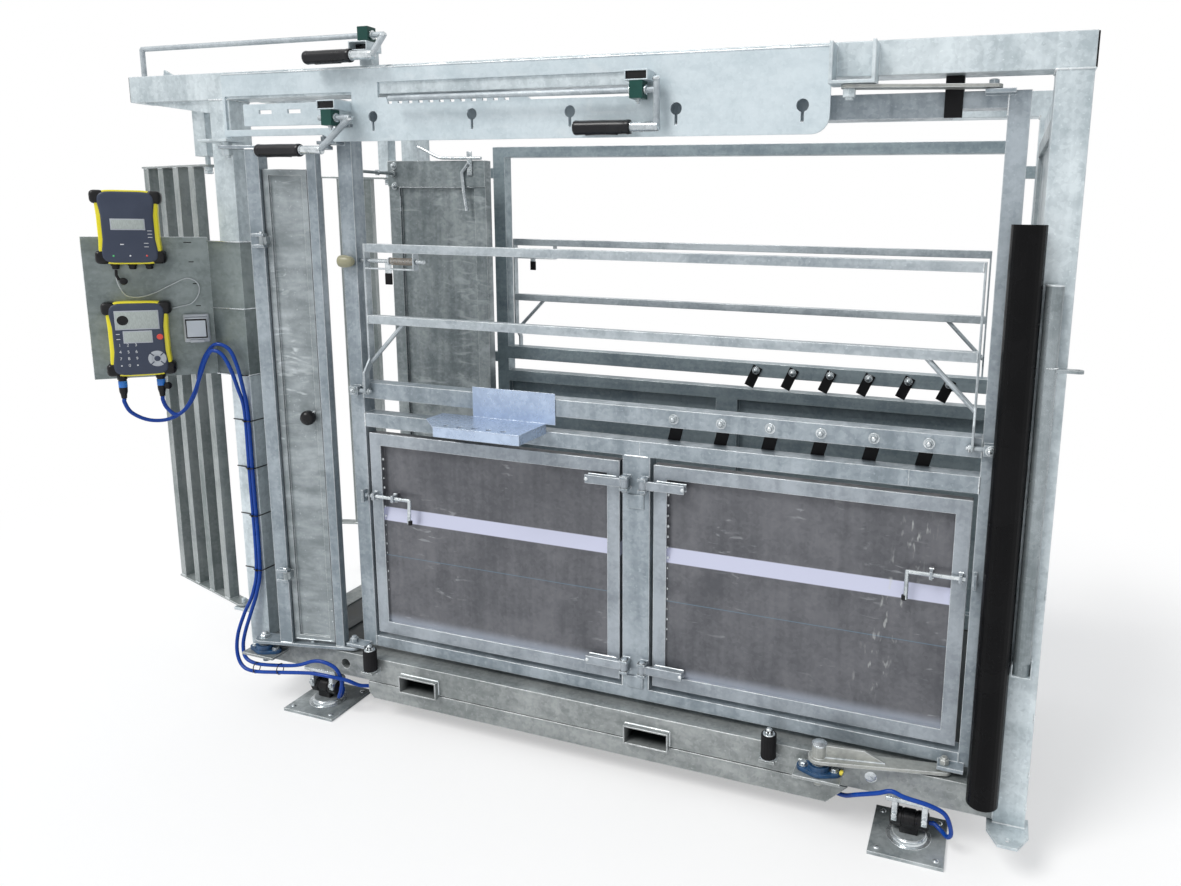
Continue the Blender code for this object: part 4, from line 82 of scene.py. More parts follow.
class Recipe:
    """One Principled material built from procedural nodes in rest coordinates."""

    def __init__(self, name: str) -> None:
        """Start an empty material.

        Args:
            name: Name of the finish.
        """
        self.material = bpy.data.materials.new(name)
        self.material.use_nodes = True
        self.tree = self.material.node_tree
        self.tree.nodes.clear()
        self.shader = self.node("ShaderNodeBsdfPrincipled")
        out = self.node("ShaderNodeOutputMaterial")
        self.tree.links.new(self.shader.outputs[0], out.inputs["Surface"])
        self.coords = self.node("ShaderNodeTexCoord").outputs["Object"]

    def node(self, kind: str, **settings: object) -> bpy.types.Node:
        """Add a node.

        Args:
            kind: Blender's name of the node type.
            **settings: Properties to set on it.

        Returns:
            The new node.
        """
        made = self.tree.nodes.new(kind)
        for key, value in settings.items():
            setattr(made, key, value)
        return made

    def feed(self, target: bpy.types.NodeSocket, value: object) -> None:
        """Link a socket, or set its constant.

        Args:
            target: Input socket.
            value: Output socket, number or colour.
        """
        if isinstance(value, bpy.types.NodeSocket):
            self.tree.links.new(value, target)
        else:
            target.default_value = value

    def noise(self, scale: float, detail: float = 3.0, stretch: Triple = (1.0, 1.0, 1.0),
              turn: Triple = (0.0, 0.0, 0.0), warp: float = 0.0) -> bpy.types.NodeSocket:
        """Cloudy noise.

        Args:
            scale: Features per metre.
            detail: Octaves.
            stretch: Extra scale along X, Y and Z.
            turn: Rotation of the pattern in degrees.
            warp: Distortion.

        Returns:
            Socket with values around 0.5.
        """
        place = self.node("ShaderNodeMapping")
        place.inputs["Scale"].default_value = stretch
        place.inputs["Rotation"].default_value = tuple(math.radians(a) for a in turn)
        self.feed(place.inputs["Vector"], self.coords)
        made = self.node("ShaderNodeTexNoise")
        self.feed(made.inputs["Vector"], place.outputs[0])
        made.inputs["Scale"].default_value = scale
        made.inputs["Detail"].default_value = detail
        made.inputs["Distortion"].default_value = warp
        return made.outputs["Fac"]

    def cells(self, scale: float) -> bpy.types.NodeSocket:
        """Random value per crystal.

        Args:
            scale: Crystals per metre.

        Returns:
            Socket from 0 to 1.
        """
        made = self.node("ShaderNodeTexVoronoi")
        self.feed(made.inputs["Vector"], self.coords)
        made.inputs["Scale"].default_value = scale
        split = self.node("ShaderNodeSeparateColor")
        self.feed(split.inputs[0], made.outputs["Color"])
        return split.outputs[0]

    def calc(self, how: str, first: object, second: object = 0.0,
             clamp: bool = False) -> bpy.types.NodeSocket:
        """One sum.

        Args:
            how: Blender's name of the operation.
            first: Socket or number.
            second: Socket or number.
            clamp: Keep the result from 0 to 1.

        Returns:
            Result socket.
        """
        made = self.node("ShaderNodeMath", operation=how, use_clamp=clamp)
        self.feed(made.inputs[0], first)
        self.feed(made.inputs[1], second)
        return made.outputs[0]

    def spread(self, value: object, low: float, high: float, bottom: float = 0.0,
               top: float = 1.0) -> bpy.types.NodeSocket:
        """Smooth step from one value to another.

        Args:
            value: Socket to map.
            low: Input that gives bottom.
            high: Input that gives top.
            bottom: Result at low.
            top: Result at high.

        Returns:
            Mapped socket.
        """
        made = self.node("ShaderNodeMapRange", interpolation_type="SMOOTHSTEP")
        self.feed(made.inputs["Value"], value)
        made.inputs["From Min"].default_value = low
        made.inputs["From Max"].default_value = high
        made.inputs["To Min"].default_value = bottom
        made.inputs["To Max"].default_value = top
        return made.outputs["Result"]

    def blend(self, amount: object, first: object, second: object) -> bpy.types.NodeSocket:
        """Mix of two colours.

        Args:
            amount: 0 for the first, 1 for the second.
            first: Colour or socket.
            second: Colour or socket.

        Returns:
            Colour socket.
        """
        made = self.node("ShaderNodeMix", data_type="RGBA")
        self.feed(made.inputs[0], amount)
        for slot, colour in ((6, first), (7, second)):
            self.feed(made.inputs[slot], (*colour, 1.0) if isinstance(colour, tuple) else colour)
        return made.outputs[2]

    def axis(self, index: int) -> bpy.types.NodeSocket:
        """Rest coordinate along one axis.

        Args:
            index: Axis, 0 X, 1 Y, 2 Z.

        Returns:
            Coordinate socket.
        """
        split = self.node("ShaderNodeSeparateXYZ")
        self.feed(split.inputs[0], self.coords)
        return split.outputs[index]

    def slab(self, index: int, low: float, high: float, soft: float = 0.002) -> bpy.types.NodeSocket:
        """Mask of a slab across one axis.

        Args:
            index: Axis, 0 X, 1 Y, 2 Z.
            low: Lower face in datum metres.
            high: Upper face in datum metres.
            soft: Width of its soft border.

        Returns:
            Socket, 1 inside.
        """
        shift = DATUM[index]
        place = self.axis(index)
        rise = self.spread(place, low + shift - soft, low + shift + soft)
        fall = self.spread(place, high + shift - soft, high + shift + soft, 1.0, 0.0)
        return self.calc("MULTIPLY", rise, fall)

    def rounded(self, radius: float) -> tuple[bpy.types.NodeSocket, bpy.types.NodeSocket]:
        """Rounded look of hard edges.

        Args:
            radius: Radius of the edge in metres.

        Returns:
            Normal socket, and a mask that is 1 on edges.
        """
        soft = self.node("ShaderNodeBevel", samples=4)
        soft.inputs["Radius"].default_value = radius
        plain = self.node("ShaderNodeNewGeometry")
        dot = self.node("ShaderNodeVectorMath", operation="DOT_PRODUCT")
        self.feed(dot.inputs[0], soft.outputs[0])
        self.feed(dot.inputs[1], plain.outputs["Normal"])
        # The edge mask returned here is what the finishes use to paint highlights onto edges.
        return soft.outputs[0], self.spread(self.calc("SUBTRACT", 1.0, dot.outputs["Value"]), 0.004, 0.13)

    def complete(self, colour: object, roughness: object, metal: float, height: object,
                 strength: float, depth: float, normal: object = None,
                 gloss: float = 0.5) -> bpy.types.Material:
        """Set the shader's sockets.

        Args:
            colour: Base colour.
            roughness: Roughness.
            metal: Metallic part.
            height: Bump height socket.
            strength: Bump strength.
            depth: Bump distance in metres.
            normal: Rounded normal, if any.
            gloss: Specular level.

        Returns:
            The finished material.
        """
        self.feed(self.shader.inputs["Base Color"], (*colour, 1.0) if isinstance(colour, tuple) else colour)
        self.feed(self.shader.inputs["Roughness"], roughness)
        self.shader.inputs["Metallic"].default_value = metal
        self.shader.inputs["Specular IOR Level"].default_value = gloss
        bump = self.node("ShaderNodeBump")
        bump.inputs["Strength"].default_value = strength
        bump.inputs["Distance"].default_value = depth
        self.feed(bump.inputs["Height"], height)
        if normal is not None:
            self.feed(bump.inputs["Normal"], normal)
        self.feed(self.shader.inputs["Normal"], bump.outputs[0])
        return self.material


@dataclass(frozen=True)
class Galvanised:
    """Hot-dip zinc with spangle, clouds and runs, its edges brightened by a painted highlight that is patchy
    like wear.
    """

    name: str
    light: Triple
    dark: Triple
    grain: Grain = Grain.DOWN
    roughness: float = 0.40
    metal: float = 0.35
    streaks: float = 0.30
    # edge: strength of the painted highlight on the edges
    edge: float = 0.55
    specks: float = 0.35
    radius: float = 0.0036
    scuffs: float = 0.0

    def tones(self, recipe: Recipe) -> tuple[bpy.types.NodeSocket, bpy.types.NodeSocket]:
        """Tone map of the coat.

        Args:
            recipe: Material under construction.

        Returns:
            Value socket from 0 to 1 and the fine mottling.
        """
        clouds = recipe.noise(4.0, 4.0, warp=0.9)
        mottling = recipe.noise(34.0, 5.0)
        runs = recipe.noise(1.0, 3.0, stretch=self.grain.value, warp=0.4)
        total = recipe.calc("MULTIPLY", clouds, 0.45)
        rest = 0.55 - self.streaks
        total = recipe.calc("ADD", total, recipe.calc("MULTIPLY", mottling, rest * 0.72))
        total = recipe.calc("ADD", total, recipe.calc("MULTIPLY", recipe.cells(105.0), rest * 0.28))
        total = recipe.calc("ADD", total, recipe.calc("MULTIPLY", runs, self.streaks))
        return recipe.spread(total, 0.33, 0.67), mottling

    def colour(self, recipe: Recipe, value: bpy.types.NodeSocket,
               edge: bpy.types.NodeSocket) -> bpy.types.NodeSocket:
        """Colour of the coat.

        Args:
            recipe: Material under construction.
            value: Tone map.
            edge: Mask of the edges.

        Returns:
            Colour socket.
        """
        base = recipe.blend(value, self.dark, self.light)
        if self.scuffs > 0:
            waves = recipe.noise(1.0, 4.0, stretch=(9.0, 9.0, 34.0), turn=(0.0, 16.0, 0.0), warp=1.2)
            rubbed = recipe.spread(recipe.noise(3.5, 2.0), 0.46, 0.60)
            waves = recipe.calc("MULTIPLY", recipe.spread(waves, 0.52, 0.68), rubbed)
            base = recipe.blend(recipe.calc("MULTIPLY", waves, self.scuffs), base, (0.66, 0.71, 0.73))
        drips = recipe.calc("MULTIPLY", recipe.spread(recipe.noise(150.0, 2.0), 0.66, 0.74), self.specks)
        base = recipe.blend(drips, base, tuple(min(1.0, c * 1.35) for c in self.light))
        # Painted highlight on the edges, broken up by noise so that it also looks like wear.
        wear_and_edge_highlight = recipe.calc("MULTIPLY", edge, recipe.spread(recipe.noise(22.0, 3.0), 0.25, 0.60, 0.35, 1.0))
        wear_and_edge_highlight = recipe.calc("MULTIPLY", wear_and_edge_highlight, self.edge)
        return recipe.blend(wear_and_edge_highlight, base, (0.92, 0.96, 0.97))

    def material(self) -> bpy.types.Material:
        """Build the material.

        Returns:
            The finished material.
        """
        recipe = Recipe(self.name)
        normal, edge = recipe.rounded(self.radius)
        value, mottling = self.tones(recipe)
        rough = recipe.spread(value, 0.0, 1.0, self.roughness + 0.10, self.roughness - 0.06)
        height = recipe.calc("ADD", mottling, recipe.calc("MULTIPLY", recipe.noise(300.0, 2.0), 0.25))
        return recipe.complete(self.colour(recipe, value, edge), rough, self.metal, height, 0.10, 0.003,
                               normal)


@dataclass(frozen=True)
class BaseZinc(Galvanised):
    """Base: darker zinc, with painted shade inside the two fork pockets."""

    pocket_x: tuple[Pair, ...] = ((-1.1245, -0.9855), (-1.9245, -1.7855))
    pocket_z: Pair = (0.0085, 0.0635)

    def colour(self, recipe: Recipe, value: bpy.types.NodeSocket,
               edge: bpy.types.NodeSocket) -> bpy.types.NodeSocket:
        """Colour of the coat with painted shade inside the pockets.

        Args:
            recipe: Material under construction.
            value: Tone map.
            edge: Mask of the edges.

        Returns:
            Colour socket.
        """
        base = super().colour(recipe, value, edge)
        # Painted shade: near black inside the fork pockets, deepening inward.
        inside = recipe.slab(2, *self.pocket_z, 0.0008)
        pockets = (recipe.slab(0, low, high, 0.0008) for low, high in self.pocket_x)
        across = recipe.calc("ADD", *pockets, clamp=True)
        deep = recipe.spread(recipe.axis(1), DATUM.y - 0.012, DATUM.y + 0.030)
        shade = recipe.calc("MULTIPLY", recipe.calc("MULTIPLY", inside, across), deep)
        return recipe.blend(recipe.calc("MULTIPLY", shade, 0.95), base, (0.012, 0.018, 0.018))


@dataclass(frozen=True)
class DoorZinc(Galvanised):
    """Door: pale folded frame round a darker, scuffed sheet with a bright fold, where a sky reflection is
    painted, and painted light on the sheet's lowest band.
    """

    sheet: Triple = (0.150, 0.152, 0.166)
    sheet_dark: Triple = (0.080, 0.083, 0.094)
    # fold: colour of the painted sky reflection along the fold
    fold: Triple = (0.54, 0.56, 0.70)

    def material(self) -> bpy.types.Material:
        """Build the material.

        Returns:
            The finished material.
        """
        recipe = Recipe(self.name)
        normal, edge = recipe.rounded(self.radius)
        value, mottling = self.tones(recipe)
        rim = self.colour(recipe, value, edge)
        inner = recipe.spread(recipe.axis(1), DATUM.y + 0.0500, DATUM.y + 0.0530)
        plain = recipe.blend(value, self.sheet_dark, self.sheet)
        smear = recipe.noise(1.0, 4.0, stretch=(16.0, 16.0, 60.0), turn=(0.0, 24.0, 0.0), warp=0.6)
        patch = recipe.spread(recipe.noise(5.0, 2.0), 0.50, 0.62)
        smear = recipe.calc("MULTIPLY", recipe.spread(smear, 0.60, 0.70), patch)
        plain = recipe.blend(recipe.calc("MULTIPLY", smear, 0.34), plain, (0.46, 0.48, 0.50))
        # Painted light: the lowest band of the sheet lightened toward pale blue.
        glow = recipe.spread(recipe.axis(2), DATUM.z + 0.213, DATUM.z + 0.250, 0.75, 0.0)
        plain = recipe.blend(glow, plain, (0.36, 0.40, 0.47))
        # Painted sky reflection: a pale blue band along the fold.
        plain = recipe.blend(recipe.slab(2, 0.566, 0.609, 0.0015), plain, self.fold)
        plain = recipe.blend(recipe.calc("MULTIPLY", recipe.slab(2, 0.4462, 0.4480, 0.0006), 0.8), plain,
                             (0.13, 0.22, 0.30))
        across = recipe.calc("MULTIPLY", recipe.calc("SUBTRACT", recipe.axis(0), DATUM.x - 0.375), 0.972)
        rise = recipe.calc("MULTIPLY", recipe.calc("SUBTRACT", recipe.axis(2), DATUM.z + 0.52), 0.235)
        away = recipe.calc("ABSOLUTE", recipe.calc("SUBTRACT", across, rise))
        spots = recipe.noise(1.0, 2.0, stretch=(80.0, 80.0, 26.0), turn=(0.0, -14.0, 0.0))
        splash = recipe.calc("MULTIPLY", recipe.spread(away, 0.012, 0.060, 1.0, 0.0),
                             recipe.spread(spots, 0.58, 0.74))
        splash = recipe.calc("MULTIPLY", splash, recipe.slab(2, 0.27, 0.80, 0.03))
        plain = recipe.blend(recipe.calc("MULTIPLY", splash, 0.60), plain, (0.55, 0.57, 0.56))
        rough = recipe.spread(value, 0.0, 1.0, 0.46, 0.34)
        return recipe.complete(recipe.blend(inner, rim, plain), rough, self.metal, mottling, 0.10, 0.003,
                               normal)


@dataclass(frozen=True)
class Moulding:
    """Moulded plastic or rubber with a fine texture and rubbed edges, the edges lightened also by a painted
    highlight.
    """

    name: str
    colour: Triple
    # rubbed: colour of dust, rubbed wear and the painted edge highlight
    rubbed: Triple
    roughness: float = 0.45
    grain: float = 900.0
    bump: float = 0.10
    radius: float = 0.0010
    wear: float = 0.35
    gloss: float = 0.5

    def material(self) -> bpy.types.Material:
        """Build the material.

        Returns:
            The finished material.
        """
        recipe = Recipe(self.name)
        normal, edge = recipe.rounded(self.radius)
        dust = recipe.spread(recipe.noise(9.0, 5.0, warp=0.7), 0.40, 0.72, 0.0, self.wear)
        # Dust patches, and edges lightened both as rubbed wear and as a painted highlight.
        wear_and_edge_highlight = recipe.calc("MAXIMUM", dust, recipe.calc("MULTIPLY", edge, self.wear))
        colour = recipe.blend(wear_and_edge_highlight, self.colour, self.rubbed)
        rough = recipe.spread(dust, 0.0, 0.4, self.roughness - 0.05, self.roughness + 0.12)
        return recipe.complete(colour, rough, 0.0, recipe.noise(self.grain, 2.0), self.bump, 0.0004, normal,
                               self.gloss)


@dataclass(frozen=True)
class Enamel:
    """Casting under thick paint, with a grainy skin."""

    name: str
    colour: Triple

    def material(self) -> bpy.types.Material:
        """Build the material.

        Returns:
            The finished material.
        """
        recipe = Recipe(self.name)
        normal, edge = recipe.rounded(0.0018)
        shade = recipe.blend(recipe.spread(recipe.noise(60.0, 4.0), 0.35, 0.70), self.colour,
                             tuple(c * 1.7 for c in self.colour))
        # Painted highlight: edges lightened toward pale blue grey.
        shade = recipe.blend(recipe.calc("MULTIPLY", edge, 0.35), shade, (0.28, 0.36, 0.42))
        return recipe.complete(shade, recipe.spread(recipe.noise(30.0, 3.0), 0.3, 0.7, 0.28, 0.45), 0.0,
                               recipe.noise(240.0, 3.0), 0.35, 0.0012, normal)


@dataclass(frozen=True)
class Deck:
    """Dark floor with rubbed rubber grain and dried mud, its edges lightened by a painted highlight."""

    name: str
    colour: Triple

    def material(self) -> bpy.types.Material:
        """Build the material.

        Returns:
            The finished material.
        """
        recipe = Recipe(self.name)
        normal, edge = recipe.rounded(0.003)
        mud = recipe.spread(recipe.noise(7.0, 6.0, warp=1.0), 0.48, 0.72, 0.0, 0.55)
        shade = recipe.blend(mud, self.colour, (0.17, 0.16, 0.14))
        # Painted highlight: edges lightened toward grey.
        shade = recipe.blend(recipe.calc("MULTIPLY", edge, 0.5), shade, (0.26, 0.28, 0.28))
        return recipe.complete(shade, recipe.spread(mud, 0.0, 0.5, 0.62, 0.85), 0.0,
                               recipe.noise(420.0, 3.0), 0.30, 0.0012, normal)


@dataclass(frozen=True)
class Display:
    """Liquid crystal screen under a clear window, with faint columns of cells."""

    name: str
    colour: Triple

    def material(self) -> bpy.types.Material:
        """Build the material.

        Returns:
            The finished material.
        """
        recipe = Recipe(self.name)
        cells = recipe.spread(recipe.noise(1.0, 1.0, stretch=(420.0, 420.0, 120.0)), 0.40, 0.62)
        shade = recipe.blend(cells, self.colour, tuple(c * 0.86 for c in self.colour))
        recipe.shader.inputs["Coat Weight"].default_value = 0.6
        recipe.shader.inputs["Coat Roughness"].default_value = 0.06
        return recipe.complete(shade, recipe.spread(cells, 0.0, 1.0, 0.30, 0.38), 0.0, cells, 0.04, 0.0002)


Finish = Galvanised | Moulding | Enamel | Deck | Display

# The hot-dip zinc copies below (frame, base, wall, plate, rail, wing, far, panel, neck, gate, arm, tray,
# foot, pipe, door) were each matched in tone to how bright their part looks, so besides the zinc's own tone
# they are lit and shaded copies of one zinc: painted light in the lighter ones, painted shade in the darker
# ones.
ZINC = Galvanised("zinc_frame", (0.68, 0.75, 0.78), (0.36, 0.42, 0.45), edge=0.6)
ZINC_BASE = BaseZinc("zinc_base", (0.37, 0.39, 0.39), (0.18, 0.20, 0.20), Grain.ALONG, streaks=0.26,
                     specks=0.5, edge=0.85)
ZINC_WALL = Galvanised("zinc_wall", (0.39, 0.44, 0.48), (0.19, 0.23, 0.26), edge=0.90)
ZINC_PLATE = Galvanised("zinc_plate", (0.62, 0.70, 0.74), (0.47, 0.55, 0.59), Grain.SLANTED, 0.36, 0.30, 0.26,
                        0.6, 0.2, 0.0018, 0.35)
ZINC_RAIL = Galvanised("zinc_rail", (0.50, 0.55, 0.58), (0.25, 0.29, 0.32), Grain.ALONG, edge=0.85)
ZINC_WING = Galvanised("zinc_wing", (0.34, 0.37, 0.37), (0.15, 0.18, 0.18), streaks=0.36, edge=0.8)
ZINC_FAR = Galvanised("zinc_far", (0.36, 0.43, 0.46), (0.18, 0.23, 0.26), Grain.ALONG, edge=0.85)
ZINC_PANEL = Galvanised("zinc_panel", (0.24, 0.28, 0.28), (0.13, 0.16, 0.16), Grain.SLANTED, 0.34,
                        specks=0.15, radius=0.0012)
ZINC_NECK = Galvanised("zinc_neck", (0.40, 0.44, 0.46), (0.19, 0.22, 0.23), Grain.SLANTED, streaks=0.44,
                       specks=0.6, scuffs=0.75)
ZINC_NECK_FAR = Galvanised("zinc_neck_far", (0.38, 0.42, 0.43), (0.15, 0.18, 0.19), streaks=0.30, edge=0.8,
                           scuffs=0.30)
ZINC_GATE = Galvanised("zinc_gate", (0.42, 0.47, 0.49), (0.22, 0.26, 0.28), edge=0.8)
ZINC_ARM = Galvanised("zinc_arm", (0.46, 0.47, 0.44), (0.25, 0.26, 0.25), Grain.ALONG, 0.34, edge=0.9)
ZINC_TRAY = Galvanised("zinc_tray", (0.50, 0.60, 0.76), (0.34, 0.42, 0.56), Grain.SLANTED, 0.26, 0.45, 0.2,
                       0.9, 0.1, 0.0012)
ZINC_PLATE_FOOT = Galvanised("zinc_foot", (0.50, 0.54, 0.55), (0.17, 0.20, 0.21), Grain.SLANTED, 0.34,
                             edge=0.8)
BRIGHT = Galvanised("bright_hardware", (0.74, 0.78, 0.80), (0.38, 0.42, 0.44), Grain.DOWN, 0.22, 0.75, 0.1,
                    0.4, 0.1, 0.0010)
PIPE_ZINC = Galvanised("zinc_pipe", (0.34, 0.38, 0.40), (0.16, 0.19, 0.20), roughness=0.30, metal=0.5)
DOOR_ZINC = DoorZinc("door_zinc", (0.38, 0.42, 0.46), (0.22, 0.25, 0.28), edge=0.95)
WELD = Galvanised("weld_bead", (0.86, 0.89, 0.90), (0.55, 0.60, 0.62), Grain.SLANTED, 0.30, 0.5, 0.1, 0.3,
                  0.5, 0.0006)
RUBBER = Moulding("black_rubber", (0.006, 0.006, 0.007), (0.030, 0.030, 0.032), 0.62, 500.0, 0.18, gloss=0.15)
GRIP = Moulding("grip_rubber", (0.006, 0.006, 0.008), (0.030, 0.032, 0.036), 0.32, 700.0, 0.12, wear=0.2,
                gloss=0.3)
SLEEVE = Moulding("sleeve_plastic", (0.0025, 0.0025, 0.003), (0.010, 0.010, 0.011), 0.30, 260.0, 0.05,
                  0.002, 0.25, 0.10)
BLACK = Moulding("black_plastic", (0.005, 0.005, 0.006), (0.024, 0.024, 0.026), 0.32, 900.0, 0.05, gloss=0.25)
GREEN = Moulding("green_moulding", (0.004, 0.050, 0.040), (0.02, 0.10, 0.085), 0.34, 400.0, 0.10, 0.0015,
                 0.3, 0.3)
SHEATH = Moulding("blue_sheath", (0.003, 0.045, 0.290), (0.01, 0.10, 0.45), 0.28, 300.0, 0.06, 0.0008,
                  0.2, 0.25)
RING_BLUE = Moulding("blue_ring", (0.010, 0.150, 0.560), (0.05, 0.25, 0.65), 0.30)
YELLOW = Moulding("yellow_moulding", (0.80, 0.70, 0.010), (0.95, 0.86, 0.25), 0.35, 800.0, 0.05, 0.0012, 0.2)
SLATE = Moulding("slate_moulding", (0.042, 0.054, 0.088), (0.070, 0.085, 0.125), 0.40, 1100.0, 0.10,
                 gloss=0.3)
INK = Moulding("white_ink", (0.75, 0.77, 0.80), (0.60, 0.62, 0.66), 0.55, 900.0, 0.03)
RED = Moulding("red_button", (0.70, 0.045, 0.030), (0.80, 0.16, 0.12), 0.35)
LED_GREEN = Moulding("green_lamp", (0.05, 0.52, 0.14), (0.2, 0.65, 0.3), 0.30)
PALE_BOX = Moulding("pale_box", (0.40, 0.43, 0.47), (0.62, 0.65, 0.69), 0.42, 700.0, 0.08, 0.0016)
PALE_LID = Moulding("pale_lid", (0.46, 0.50, 0.55), (0.66, 0.70, 0.75), 0.28)
CREAM = Moulding("cream_plastic", (0.30, 0.29, 0.19), (0.50, 0.48, 0.36), 0.45, 300.0, 0.08, 0.002)
LEAD = Moulding("clear_lead", (0.46, 0.50, 0.52), (0.62, 0.66, 0.68), 0.25, 500.0, 0.03)
SPRING = Moulding("spring_wire", (0.34, 0.29, 0.24), (0.55, 0.50, 0.42), 0.30, 700.0, 0.10, 0.0006, 0.5)
NIPPLE = Moulding("yellow_cap", (0.80, 0.66, 0.03), (0.85, 0.76, 0.30), 0.35)
BLUE_CAST = Enamel("blue_casting", (0.010, 0.045, 0.110))
DECK = Deck("deck_rubber", (0.055, 0.060, 0.062))
LCD = Display("liquid_crystal", (0.42, 0.47, 0.45))

_MADE: dict[str, bpy.types.Material] = {}


def material_of(finish: Finish) -> bpy.types.Material:
    """Material of a finish, made once.

    Args:
        finish: The finish.

    Returns:
        Its material.
    """
    if finish.name not in _MADE:
        _MADE[finish.name] = finish.material()
    return _MADE[finish.name]


# Shapes


class Shape:
    """Mesh under construction in the datum frame."""

    def __init__(self, place: Matrix | None = None) -> None:
        """Start an empty shape.

        Args:
            place: Matrix from the shape's own frame to the datum frame.
        """
        self.bm = bmesh.new()
        self.place = place or Matrix.Identity(4)

    def take(self, part: bmesh.types.BMesh, place: Matrix | None = None) -> "Shape":
        """Add a finished part.

        Args:
            part: Mesh to add; it is freed.
            place: Its place in the shape's frame.

        Returns:
            The shape itself.
        """
        part.transform(self.place @ (place or Matrix.Identity(4)))
        bmesh.ops.recalc_face_normals(part, faces=part.faces)
        mesh = bpy.data.meshes.new("part")
        part.to_mesh(mesh)
        part.free()
        self.bm.from_mesh(mesh)
        bpy.data.meshes.remove(mesh)
        return self

    def box(self, x: Pair, y: Pair, z: Pair, bevel: float = 0.001, turn: Matrix | None = None) -> "Shape":
        """Box with rounded edges.

        Args:
            x: X faces.
            y: Y faces.
            z: Z faces.
            bevel: Edge radius.
            turn: Extra place in the shape's frame.

        Returns:
            The shape itself.
        """
        part = bmesh.new()
        centre = Vector(((x[0] + x[1]) / 2, (y[0] + y[1]) / 2, (z[0] + z[1]) / 2))
        size = Vector((abs(x[1] - x[0]), abs(y[1] - y[0]), abs(z[1] - z[0])))
        bmesh.ops.create_cube(part, size=1.0, matrix=Matrix.LocRotScale(centre, None, size))
        if bevel > 0:
            bmesh.ops.bevel(part, geom=part.edges[:], offset=bevel, segments=3, profile=0.5, affect="EDGES")
        return self.take(part, turn)

    def lathe(self, profile: list[Pair], base: Triple, along: Triple, sides: int = 28) -> "Shape":
        """Turned part.

        Args:
            profile: (radius, distance) pairs along the axis.
            base: Point of distance 0.
            along: Direction of the axis.
            sides: Faces round the axis.

        Returns:
            The shape itself.
        """
        part = bmesh.new()
        rings = []
        for radius, reach in profile:
            if radius <= 1e-6:
                rings.append([part.verts.new((0, 0, reach))])
                continue
            rings.append([part.verts.new((radius * math.cos(2 * math.pi * i / sides),
                                          radius * math.sin(2 * math.pi * i / sides), reach))
                          for i in range(sides)])
        for low, high in zip(rings, rings[1:]):
            for i in range(sides):
                j = (i + 1) % sides
                if len(low) == 1 and len(high) > 1:
                    part.faces.new((low[0], high[i], high[j]))
                elif len(high) == 1 and len(low) > 1:
                    part.faces.new((low[i], low[j], high[0]))
                elif len(low) > 1:
                    part.faces.new((low[i], low[j], high[j], high[i]))
        for ring in (rings[0], rings[-1]):
            if len(ring) > 2:
                part.faces.new(ring)
        axis = Vector(along).normalized()
        turn = axis.to_track_quat("Z", "Y")
        return self.take(part, Matrix.Translation(base) @ turn.to_matrix().to_4x4())

    def rod(self, start: Triple, end: Triple, radius: float, sides: int = 20,
            round_off: float = 0.001) -> "Shape":
        """Round bar with eased ends.

        Args:
            start: One end.
            end: Other end.
            radius: Radius.
            sides: Faces round it.
            round_off: Size of the eased ends.

        Returns:
            The shape itself.
        """
        reach = (Vector(end) - Vector(start)).length
        ease = min(round_off, radius * 0.4, reach * 0.4)
        profile = [(radius - ease, 0.0), (radius, ease), (radius, reach - ease), (radius - ease, reach)]
        return self.lathe(profile, tuple(start), tuple(Vector(end) - Vector(start)), sides)

    def tube(self, points: list[Vector], radius: float, sides: int = 12, ripple: float = 0.0,
             closed: bool = False) -> "Shape":
        """Bar swept along points.

        Args:
            points: Path.
            radius: Radius.
            sides: Faces round it.
            ripple: Share by which every second ring is fatter.
            closed: Join the last ring to the first.

        Returns:
            The shape itself.
        """
        part = bmesh.new()
        rings = []
        count = len(points)
        normal = None
        for i, point in enumerate(points):
            before = points[i - 1] if i or closed else point
            after = points[(i + 1) % count] if i < count - 1 or closed else point
            tangent = (after - before).normalized()
            if normal is None:
                normal = tangent.orthogonal().normalized()
            normal = (normal - tangent * normal.dot(tangent)).normalized()
            across = tangent.cross(normal)
            size = radius * (1 + (ripple if i % 2 else 0.0))
            rings.append([part.verts.new(point + (normal * math.cos(2 * math.pi * k / sides)
                                                  + across * math.sin(2 * math.pi * k / sides)) * size)
                          for k in range(sides)])
        pairs = list(zip(rings, rings[1:])) + ([(rings[-1], rings[0])] if closed else [])
        for low, high in pairs:
            for k in range(sides):
                m = (k + 1) % sides
                part.faces.new((low[k], low[m], high[m], high[k]))
        if not closed:
            part.faces.new(rings[0])
            part.faces.new(rings[-1])
        return self.take(part)

    def loft(self, rings: list[list[Triple]]) -> "Shape":
        """Skin over rings of equal length, closed at both ends.

        Args:
            rings: Outlines from back to front.

        Returns:
            The shape itself.
        """
        part = bmesh.new()
        made = [[part.verts.new(point) for point in ring] for ring in rings]
        for low, high in zip(made, made[1:]):
            for i in range(len(low)):
                j = (i + 1) % len(low)
                part.faces.new((low[i], low[j], high[j], high[i]))
        part.faces.new(made[0])
        part.faces.new(made[-1])
        return self.take(part)

    def weld(self, start: Triple, end: Triple, radius: float = 0.0026) -> "Shape":
        """Rippled bead between two points.

        Args:
            start: One end.
            end: Other end.
            radius: Radius of the bead.

        Returns:
            The shape itself.
        """
        a, b = Vector(start), Vector(end)
        count = max(3, int((b - a).length / 0.0034))
        return self.tube([a.lerp(b, i / count) for i in range(count + 1)], radius, 8, 0.28)

